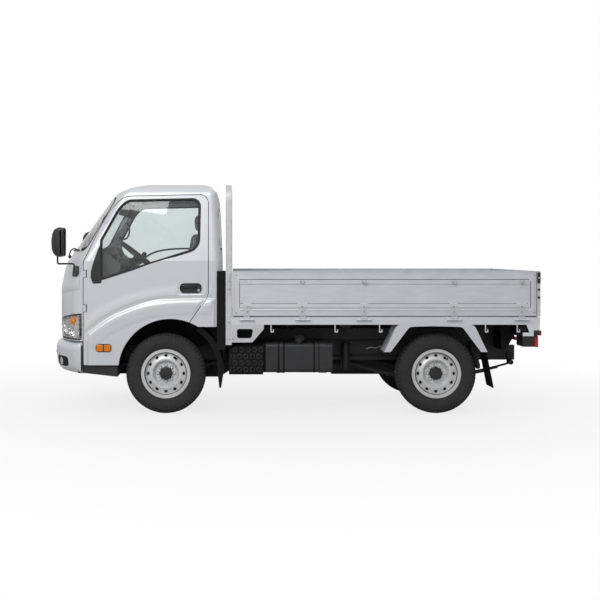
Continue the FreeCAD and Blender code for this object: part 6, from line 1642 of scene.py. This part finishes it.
# A black strip along the gap between each gate and the deck's rail: painted shadow of the gap.
GATE_GAP_SHADE_X, GATE_GAP_SHADE_Z = (-0.520, 2.032), 0.8345
GATE_GAP_SHADE_SECTION = ((0, -0.0045, -0.002), (0, -0.0045, 0.0012), (0, 0.0017, 0.0012), (0, 0.0017, -0.002))
GATE_RIB_X = (-0.462, 1.968)
# Lines along a gate: height, half width, lift, room left at the straps, and finish. The rib is raised in the
# gate's paint; the groove and the line below the top rail are dark grey strips, painted shade.
GATE_LINES = {
    "rib": (0.884, 0.008, 0.0035, 0.034, "gate"),
    "groove": (0.940, 0.0032, 0.0008, 0.030, "grey_plastic"),
    "fold": (1.1425, 0.0055, 0.0008, 0.0, "grey_plastic"),
}
# Dark grey strips at the two ends of a gate's panel: painted shade at the panel's edges.
GATE_EDGES_X = {"front": -0.4680, "rear": 1.9880}
GATE_EDGE_Z = (0.905, 1.133)
GATE_EDGE_SECTION = ((-0.003, 0, -0.002), (-0.003, 0, 0.0008), (0.003, 0, 0.0008), (0.003, 0, -0.002))
LATCH_X, LATCH_Z = 2.056, 1.150
# Latch: half length along the truck, low and high edge, radius and cuts of each block
LATCH_BLOCKS = (
    (0.013, 1.112, 1.204, 0.004, 5), (0.009, 1.050, 1.066, 0.003, 4), (0.009, 0.985, 1.001, 0.003, 4),
)
PIN = ((0.0, 0.005), (0.006, 0.0045), (0.008, 0.002), (0.008, -0.001), (0.0, -0.001))
FLOOR_X, FLOOR_LONG, FLOOR_HALF_W, FLOOR_LOW_Z = -0.525, 2.56, 0.805, 0.8225
FLOOR_SEAMS_Y = (-0.40, 0.0, 0.40)


def steps_between(ends, count):
    """Even places from one end to the other."""
    return [ends[0] + (ends[1] - ends[0]) * k / count for k in range(count + 1)]


def add_strip(bm, skin, side, places, section):
    """Lays a strip on a flank at (x, z) places, None for a gap; a section has steps along, up and out."""
    rows = []
    for place in places:
        y = skin.side_y(*place, side) if place else None
        rows.append(y and [Vector((place[0] + dx, y + side * out, place[1] + dz)) for dx, dz, out in section])
    for run in runs_of(rows):
        add_skin(bm, run)


def add_buttons(bm, skin, side, places, profile, steps):
    """Sets a small turned shape on a flank at each (x, z) place."""
    for x, z in places:
        y = skin.side_y(x, z, side)
        if y is not None:
            add_lathe(bm, (x, y - side * 0.001, z), (0, side, 0), profile, steps)


def make_gate_fixings(name, side, gate, body):
    """A black strip along the gap under the gate, which is painted shadow of the gap, and the rivets, bolts
    and staples on the gate and the post.
    """
    with piece("gate_gap_shade_" + name, "shade_darkened_black", body) as bm:
        places = [(x, GATE_GAP_SHADE_Z) for x in steps_between(GATE_GAP_SHADE_X, 120)]
        add_strip(bm, gate, side, places, GATE_GAP_SHADE_SECTION)
    with piece("post_rivets_" + name, "bare_steel") as bm:
        add_buttons(bm, Skin("guard_frame"), side, POST_RIVETS, RIVET, 18)
    with piece("gate_rivets_" + name, "bare_steel", body=body) as bm:
        add_buttons(bm, gate, side, GATE_RIVETS, RIVET, 18)
    with piece("strap_bolts_" + name, "bare_steel", body=body, sharp=20.0) as bm:
        add_buttons(bm, gate, side, [(x, z) for x in GATE_STRAPS_X for z in STRAP_BOLTS_Z], BOLT, 6)
    with piece("gate_staples_" + name, "bare_steel", body=body) as bm:
        for x in GATE_STRAPS_X[1:]:
            y = gate.side_y(x, STAPLE_Z, side)
            hoop = [(x + along, y + side * out, STAPLE_Z + up) for along, out, up in STAPLE_PATH]
            add_tube(bm, smooth_path(hoop, 4), STAPLE_R, 10)


def make_gate_lines(name, side, gate, body):
    """The raised rib, and the dark grey strips round a gate's panel, which are painted shade in the groove,
    below the top rail and at the panel's ends.
    """
    for label, (z, half, lift, room, finish) in GATE_LINES.items():
        section = ((0, -half, -0.002), (0, -half, 0.0), (0, -half * 0.4, lift), (0, half * 0.4, lift),
                   (0, half, 0.0), (0, half, -0.002))
        places = [None if any(abs(x - strap) < room for strap in GATE_STRAPS_X) else (x, z)
                  for x in steps_between(GATE_RIB_X, 180)]
        with piece("gate_%s_%s" % (label, name), finish, body, sharp=50.0) as bm:
            add_strip(bm, gate, side, places, section)
    for label, x in GATE_EDGES_X.items():
        with piece("gate_edge_%s_%s" % (label, name), "grey_plastic", body) as bm:
            places = [(x, z) for z in steps_between(GATE_EDGE_Z, 20)]
            add_strip(bm, gate, side, places, GATE_EDGE_SECTION)


def make_latch(name, side):
    """The tail gate's latch at one corner, with its pin."""
    y = Skin("tail_gate").side_y(LATCH_X, LATCH_Z, side)
    with piece("gate_latch_" + name, "chassis", "tail_gate") as bm:
        for half, low, high, radius, cuts in LATCH_BLOCKS:
            add_slab(bm, (LATCH_X - half, y - side * 0.004, low), (LATCH_X + half, y + side * 0.007, high),
                     radius, cuts)
    with piece("latch_pin_" + name, "bare_steel", body="tail_gate") as bm:
        add_lathe(bm, (LATCH_X, y + side * 0.006, LATCH_Z + 0.008), (0, side, 0), PIN, 18)


def make_floor_seams():
    """The welded seams across and along the deck's floor."""
    with piece("floor_seams", "deck_floor") as bm:
        for k in range(1, 6):
            x = FLOOR_X + FLOOR_LONG * k / 6
            add_slab(bm, (x - 0.004, -FLOOR_HALF_W, FLOOR_LOW_Z), (x + 0.004, FLOOR_HALF_W, 0.8262),
                     0.0015, 3)
        for y in FLOOR_SEAMS_Y:
            add_slab(bm, (FLOOR_X + 0.01, y - 0.003, FLOOR_LOW_Z), (2.030, y + 0.003, 0.8258), 0.0014, 3)


class TRUCK_OT_deck_details(Operator):
    """Makes the painted shadow along the gap under each gate, the gates' rivets, latches and staples, and the
    deck floor's seams
    """

    bl_idname = "truck.deck_details"
    bl_label = "Deck details"

    def execute(self, context):
        for name, side in SIDES.items():
            body = "side_gate_" + name
            gate = Skin(body)
            make_gate_fixings(name, side, gate, body)
            make_gate_lines(name, side, gate, body)
            make_latch(name, side)
        make_floor_seams()
        return {"FINISHED"}


# Body lines, intake, fog lamps and wipers

SWAGE_LINE = (
    (-1.790, 0.655), (-1.709, 0.728), (-1.634, 0.786), (-1.515, 0.855), (-1.397, 0.905), (-1.279, 0.941),
    (-1.160, 0.964), (-1.042, 0.976), (-0.923, 0.981), (-0.800, 0.982), (-0.660, 0.982),
)
# Across the pressed line: the distance below it, and the height there
SWAGE_LIFT = (
    (-0.140, -0.001), (-0.120, 0.0003), (-0.044, 0.0052), (-0.036, 0.0054), (-0.012, 0.0006), (0.002, 0.0),
    (0.012, 0.0010), (0.038, 0.0062), (0.056, 0.0070), (0.10, 0.0050), (0.16, -0.001),
)
SWAGE_DROPS, SWAGE_ROWS, SWAGE_SINK = (-0.140, 0.160), 54, 0.012
SWAGE_UNDER, SWAGE_EASE, SWAGE_ROOM = 0.0012, 0.012, 0.006
CAB_FRONT_X, CAB_REAR_X, CAB_IN_Y = -1.05, -0.690, 0.6
BUMPER_SEAM_X, BUMPER_SEAM_Z = -1.800, (0.362, 0.600)
BUMPER_SEAM_SECTION = ((-0.006, 0, -0.004), (-0.006, 0, 0.0012), (0.014, 0, 0.0012), (0.014, 0, -0.004))
INTAKE_HALF, INTAKE_LOW_Z, INTAKE_HIGH_Z = 0.425, 0.405, 0.500
INTAKE_BARS_Z = (0.418, 0.437, 0.456, 0.475, 0.492)
INTAKE_ROWS = (
    (0.014, -0.003), (0.012, 0.003), (0.004, 0.0045), (-0.004, 0.003), (-0.006, -0.020), (0.004, -0.020),
)
INTAKE_STEPS, INTAKE_BAR_R, INTAKE_UPRIGHT_R = 21, 0.0045, 0.0022
FOG_LOW_Z, FOG_HIGH_Z = 0.390, 0.490
FOG_CENTRE, FOG_COLUMNS, FOG_LEVELS, FOG_TURN = (-1.66, 0.42), 28, 20, 30
FOG_LAMP = ((0.0, 0.0075), (0.018, 0.007), (0.030, 0.005), (0.034, 0.002), (0.034, -0.004), (0.0, -0.004))
NOSE_CENTRE_X, NOSE_TURN, NOSE_STEPS = -1.45, 66, 36
# Across the nose band: the share of its width, and the lift there
NOSE_SHARES = (
    (0.0, -0.004), (0.0, 0.0018), (0.08, 0.0042), (0.5, 0.0050), (0.92, 0.0042), (1.0, 0.0018), (1.0, -0.004),
)
# Wipers: the pivot and the blade's middle as (across, up), and half the blade's length
WIPERS = (((0.30, 1.322), (-0.16, 1.385), 0.21), ((-0.26, 1.322), (-0.50, 1.392), 0.15))
BLADE_SHARES = [k / 6 - 1 for k in range(13)]
OFF_GLASS = Vector((-0.8, 0, 0.6))
PIVOT = ((0.0, 0.034), (0.010, 0.033), (0.014, 0.028), (0.016, 0.0), (0.016, -0.01), (0.0, -0.01))


def inside_share(x, z, outline):
    """How far a point lies inside an outline, as the least distance to its sides; below zero is outside."""
    least, odd = 1.0, False
    for (ax, az), (bx, bz) in zip(outline, outline[1:] + outline[:1]):
        ux, uz = bx - ax, bz - az
        t = max(0.0, min(1.0, ((x - ax) * ux + (z - az) * uz) / max(ux ** 2 + uz ** 2, 1e-9)))
        least = min(least, math.hypot(x - ax - ux * t, z - az - uz * t))
        if (az > z) != (bz > z) and x < ux * (z - az) / uz + ax:
            odd = not odd
    return least if odd else -least


def make_swage(name, side, node, body, outline, keep_out):
    """The pressed line over the front wheel, on the door or on the cab's rear corner."""
    skin = Skin(node)
    line = smooth_path([(x, 0, z) for x, z in SWAGE_LINE], 10)
    grid = []
    for i, p in enumerate(line):
        way = (line[min(i + 1, len(line) - 1)] - line[max(i - 1, 0)]).normalized()
        row = []
        for drop in steps_between(SWAGE_DROPS, SWAGE_ROWS):
            q = p + Vector((way.z, 0, -way.x)) * drop
            room = inside_share(q.x, q.z, outline)
            if node == "cab_shell":
                room = min(-room - SWAGE_EASE, CAB_REAR_X - q.x, q.x - CAB_FRONT_X)
            off_wheel = math.hypot(q.x - ARCH_X, q.z - ARCH_Z) - ARCH_R - SWAGE_ROOM
            room = min(room, off_wheel, -inside_share(q.x, q.z, keep_out))
            y = skin.side_y(q.x, q.z, side) if room > 0 else None
            if y is None or abs(y) < CAB_IN_Y:
                row.append(None)
                continue
            ease = min(1.0, room / SWAGE_EASE)
            lift = (ramp_of(SWAGE_LIFT, drop) + SWAGE_UNDER) * ease * ease * (3 - 2 * ease) - SWAGE_UNDER
            row.append(Vector((q.x, y + side * lift, q.z)))
        grid.append(row)
    label = "swage_%s_%s" % ("cab" if body == BODY else "door", name)
    with piece(label, "body", body, sharp=60.0) as bm:
        add_sheet(bm, grid, lambda p: Vector((p.x, p.y - side * SWAGE_SINK, p.z)))


class TRUCK_OT_swages(Operator):
    """Makes the pressed line over the front wheels and the seam at the bumper's ends"""

    bl_idname = "truck.swages"
    bl_label = "Pressed lines"

    def execute(self, context):
        points, radii = door_outline(DOOR_SHARES)
        outline = band(points, radii, -0.003, 8)
        (x0, z0), (x1, z1) = HANDLE[0], HANDLE[2]
        round_handle = rectangle(x0 - 0.008, z0 - 0.006, x1 + 0.008, z1)
        bumper = Skin("front_bumper")
        for name, side in SIDES.items():
            make_swage(name, side, "door_" + name, "door_" + name, outline, round_handle)
            make_swage(name, side, "cab_shell", BODY, outline, round_handle)
            with piece("bumper_seam_" + name, "black_rubber") as bm:
                places = [(BUMPER_SEAM_X, z) for z in steps_between(BUMPER_SEAM_Z, 14)]
                add_strip(bm, bumper, side, places, BUMPER_SEAM_SECTION)
        return {"FINISHED"}


def make_intake(bumper):
    """The intake's surround, a black sheet behind it that is painted shade inside the opening, and the mesh
    in front of that.
    """
    def on_bumper(p):
        return bumper.hit((AHEAD_X, p[0], p[1]), (1, 0, 0)), Vector((-1, 0, 0))

    mouth = [(-INTAKE_HALF, INTAKE_LOW_Z), (-INTAKE_HALF, INTAKE_HIGH_Z),
             (INTAKE_HALF, INTAKE_HIGH_Z), (INTAKE_HALF, INTAKE_LOW_Z)]
    with piece("intake_surround", "black_plastic") as bm:
        add_seal(bm, mouth, [0.016] * 4, INTAKE_ROWS, on_bumper, 0.018)

    rings, rows, uprights = [], [[] for z in INTAKE_BARS_Z], []
    for k in range(2 * INTAKE_STEPS + 1):
        y = INTAKE_HALF * 1.05 * (-1 + k / INTAKE_STEPS)
        x = 0.010 + max(on_bumper((y, z))[0].x for z in (INTAKE_HIGH_Z + 0.012, INTAKE_LOW_Z - 0.012))
        low, high = INTAKE_LOW_Z - 0.010, INTAKE_HIGH_Z + 0.010
        rings.append([Vector((x + 0.012, y, low)), Vector((x + 0.012, y, high)),
                      Vector((x + 0.018, y, high)), Vector((x + 0.018, y, low))])
        for row, z in zip(rows, INTAKE_BARS_Z):
            row.append(Vector((x + 0.006, y, z)))
        if k % 2 == 1:
            ends = (INTAKE_LOW_Z - 0.004, INTAKE_HIGH_Z + 0.004)
            uprights.append([Vector((x + 0.008, y, z)) for z in ends])
    # The sheet behind the opening is black: painted shade inside the intake.
    with piece("intake_shade_sheet", "shade_darkened_black") as bm:
        add_skin(bm, rings)
    with piece("intake_mesh", "black_plastic") as bm:
        for upright in uprights:
            add_tube(bm, upright, INTAKE_UPRIGHT_R, 8)
        for row in rows:
            add_tube(bm, row, INTAKE_BAR_R, 8)


def make_fog_lamp(name, side, bumper):
    """A black sheet on the bumper's corner, painted shade of a recess there, and the round lamp in it."""
    centre = Vector((FOG_CENTRE[0], side * FOG_CENTRE[1], 0))
    grid = []
    for i in range(FOG_COLUMNS + 1):
        out = fan_out(10 + 42 * i / FOG_COLUMNS, side)
        row = []
        for k in range(FOG_LEVELS + 1):
            z = Vector((0, 0, FOG_LOW_Z + (FOG_HIGH_Z - FOG_LOW_Z) * k / FOG_LEVELS))
            share = ((2 * i / FOG_COLUMNS - 1) ** 4 + (2 * k / FOG_LEVELS - 1) ** 4) ** 0.25
            point = bumper.hit(centre + z + out * 1.2, -out) if share < 1.02 else None
            row.append(point + out * (0.0022 if share < 0.9 else -0.001) if point else None)
        grid.append(row)
    with piece("fog_recess_shade_" + name, "shade_darkened_black", sharp=60.0) as bm:
        add_sheet(bm, grid, lambda p: p + Vector((0.006, 0, 0)))
    out = fan_out(FOG_TURN, side)
    place = bumper.hit(centre + Vector((0, 0, (FOG_LOW_Z + FOG_HIGH_Z) / 2)) + out * 1.2, -out)
    with piece("fog_lamp_" + name, "chrome", slot="lamp_lens") as bm:
        add_lathe(bm, place, out, FOG_LAMP, 36)


class TRUCK_OT_bumper_details(Operator):
    """Makes the bumper's intake with its mesh, and the fog lamps"""

    bl_idname = "truck.bumper_details"
    bl_label = "Bumper details"

    def execute(self, context):
        bumper = Skin("front_bumper")
        make_intake(bumper)
        for name, side in SIDES.items():
            make_fog_lamp(name, side, bumper)
        return {"FINISHED"}


def make_nose_band():
    """The raised band across the nose, which widens and rises to the sides."""
    nose = Skin("front_panel")
    rings = []
    for k in range(2 * NOSE_STEPS + 1):
        share = -1 + k / NOSE_STEPS
        out = fan_out(NOSE_TURN * share, 1)
        low, high = 0.987 + 0.071 * share ** 2, 1.099 + 0.055 * share ** 2
        starts = [Vector((NOSE_CENTRE_X, 0, low + (high - low) * t)) + out * 1.4 for t, lift in NOSE_SHARES]
        hits = [nose.hit(start, -out) for start in starts]
        if None not in hits:
            rings.append([point + out * lift for point, (t, lift) in zip(hits, NOSE_SHARES)])
    with piece("nose_band", "body", sharp=28.0) as bm:
        add_skin(bm, rings)


def make_wipers():
    """Two arms on pivots below the windscreen, each with a straight blade."""
    screen = Skin("windscreen", "cab_shell", "front_panel")

    def off_glass(y, z, lift):
        return screen.hit((AHEAD_X, y, z), (1, 0, 0)) + OFF_GLASS * lift

    with piece("wiper_arms", "black_plastic") as bm:
        for pivot, tip, half in WIPERS:
            centre = off_glass(*pivot, 0.0)
            add_lathe(bm, centre, OFF_GLASS, PIVOT, 20)
            mid = off_glass((pivot[0] + tip[0]) / 2, (pivot[1] + tip[1]) / 2 + 0.008, 0.036)
            add_tube(bm, smooth_path([centre + OFF_GLASS * 0.026, mid, off_glass(*tip, 0.026)], 8), 0.006, 10)
    with piece("wiper_blades", "black_rubber") as bm:
        for pivot, (y, z), half in WIPERS:
            path = [off_glass(y + half * share, z + 0.006 * share, 0.012) for share in BLADE_SHARES]
            add_tube(bm, path, 0.0065, 8)


class TRUCK_OT_nose_and_wipers(Operator):
    """Makes the raised band across the nose, and the wipers"""

    bl_idname = "truck.nose_and_wipers"
    bl_label = "Nose band and wipers"

    def execute(self, context):
        make_nose_band()
        make_wipers()
        return {"FINISHED"}


# Studio

# Lamps: name, place, aim, size and power
LAMPS = (
    ("key", (-3.4, -7.0, 6.4), (0, 0, 0.8), 5.4, 430.0),
    ("top", (0.5, -0.5, 7.5), (0, 0, 0.5), 6.0, 14.0),
    ("back", (3.0, 6.5, 5.0), (0, 0, 0.9), 5.0, 110.0),
)
SENSOR_WIDTH_MM, CLIP_END = 36.0, 200.0
FLOOR_SINK = 0.001


def make_floor(scene, half, floor_glow):
    """A white paper floor, lifted toward pure white away from the truck where the camera sees it."""
    bm = bmesh.new()
    bm.faces.new([bm.verts.new((x * half, y * half, -FLOOR_SINK)) for x, y in rectangle(-1, -1, 1, 1)])
    mesh = bpy.data.meshes.new("floor")
    bm.to_mesh(mesh)
    bm.free()
    floor = bpy.data.objects.new("floor", mesh)
    scene.collection.objects.link(floor)
    paper = Finish("studio_floor", (0.45, 0.45, 0.45), 0.9)
    paper.tint(paper.ramp(paper.noise(0.6), [(0.3, 0.44), (0.7, 0.46)]))
    glow = paper.node("ShaderNodeEmission", Color=(1, 1, 1, 1), Strength=1.0)
    blend = paper.node("ShaderNodeMixShader")
    rays = paper.node("ShaderNodeLightPath")
    reach = paper.node("ShaderNodeVectorMath", operation="LENGTH")
    paper.link(paper.coord, reach.inputs[0])
    far = paper.ramp(paper.maths("MULTIPLY", reach.outputs["Value"], 0.1), [(0.15, floor_glow), (0.5, 1.0)])
    paper.link(paper.maths("MULTIPLY", rays.outputs["Is Camera Ray"], far), blend.inputs[0])
    paper.link(paper.shader.outputs[0], blend.inputs[1])
    paper.link(glow.outputs[0], blend.inputs[2])
    paper.link(blend.outputs[0], paper.out.inputs[0])
    mesh.materials.append(paper.mat)


def make_world(scene, strength):
    """Even light from all round, which is plain white where it is seen directly or through glass."""
    world = bpy.data.worlds.new("studio")
    scene.world = world
    world.use_nodes = True
    tree = world.node_tree
    tree.nodes.clear()
    node, link = tree.nodes.new, tree.links.new
    out = node("ShaderNodeOutputWorld")
    mixed = node("ShaderNodeMixShader")
    for place, light in ((1, strength), (2, 1.0)):
        sky = node("ShaderNodeBackground")
        sky.inputs["Color"].default_value = (1, 1, 1, 1)
        sky.inputs["Strength"].default_value = light
        link(sky.outputs[0], mixed.inputs[place])
    path = node("ShaderNodeLightPath")
    direct = node("ShaderNodeMath")
    direct.operation = "MAXIMUM"
    link(path.outputs["Is Camera Ray"], direct.inputs[0])
    link(path.outputs["Is Transmission Ray"], direct.inputs[1])
    link(direct.outputs[0], mixed.inputs[0])
    link(mixed.outputs[0], out.inputs[0])


def make_lamps(scene):
    """The soft square lamps, each turned to its aim."""
    for name, place, aim, size, power in LAMPS:
        lamp = bpy.data.lights.new(name, "AREA")
        lamp.shape = "SQUARE"
        lamp.size = size
        lamp.energy = power
        obj = bpy.data.objects.new(name, lamp)
        scene.collection.objects.link(obj)
        obj.location = place
        obj.rotation_euler = (Vector(aim) - Vector(place)).to_track_quat("-Z", "Y").to_euler()


def make_camera(scene, settings):
    """A level camera that looks straight at the near side, with its picture shifted."""
    camera = bpy.data.cameras.new("camera")
    camera.lens = settings.lens_mm
    camera.sensor_width = SENSOR_WIDTH_MM
    camera.shift_x = settings.shift_x
    camera.shift_y = settings.shift_y
    camera.clip_end = CLIP_END
    obj = bpy.data.objects.new("camera", camera)
    scene.collection.objects.link(obj)
    obj.location = (settings.camera_x, -settings.camera_away, settings.camera_height)
    obj.rotation_euler = (math.pi / 2, 0, 0)
    scene.camera = obj
    scene.view_settings.view_transform = "Standard"


class TRUCK_OT_studio(Operator):
    """Makes the floor, lights and camera"""

    bl_idname = "truck.studio"
    bl_label = "Studio"

    def execute(self, context):
        settings = context.scene.truck_studio
        make_floor(context.scene, settings.floor_half, settings.floor_glow)
        make_world(context.scene, settings.sky)
        make_lamps(context.scene)
        make_camera(context.scene, settings)
        return {"FINISHED"}


class TRUCK_PT_panel(Panel):
    """Lists the truck's pieces and settings"""

    bl_idname = "TRUCK_PT_panel"
    bl_label = "Light truck"
    bl_space_type = "VIEW_3D"
    bl_region_type = "UI"
    bl_category = "Truck"

    def draw(self, context):
        for operator in PIECES:
            self.layout.operator(operator.bl_idname)
        for group in (context.scene.truck_colours, context.scene.truck_studio):
            for key in group.bl_rna.properties.keys():
                if key not in ("rna_type", "name"):
                    self.layout.prop(group, key)


PIECES = (
    TRUCK_OT_finishes, TRUCK_OT_window_trim, TRUCK_OT_tyres, TRUCK_OT_mirrors, TRUCK_OT_side_lamps,
    TRUCK_OT_door_handles, TRUCK_OT_seats, TRUCK_OT_cab_fittings, TRUCK_OT_headlamps, TRUCK_OT_wheel_details,
    TRUCK_OT_under_body, TRUCK_OT_tail_lamps, TRUCK_OT_deck_details, TRUCK_OT_swages, TRUCK_OT_bumper_details,
    TRUCK_OT_nose_and_wipers, TRUCK_OT_studio,
)
CLASSES = (TruckColours, StudioSettings) + PIECES + (TRUCK_PT_panel,)


def register():
    for cls in CLASSES:
        bpy.utils.register_class(cls)
    bpy.types.Scene.truck_colours = PointerProperty(type=TruckColours)
    bpy.types.Scene.truck_studio = PointerProperty(type=StudioSettings)


def unregister():
    del bpy.types.Scene.truck_studio
    del bpy.types.Scene.truck_colours
    for cls in reversed(CLASSES):
        bpy.utils.unregister_class(cls)


def main():
    register()
    for operator in PIECES:
        family, name = operator.bl_idname.split(".")
        if getattr(getattr(bpy.ops, family), name)() != {"FINISHED"}:
            raise RuntimeError(operator.bl_idname)
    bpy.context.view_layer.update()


if __name__ == "__main__":
    main()
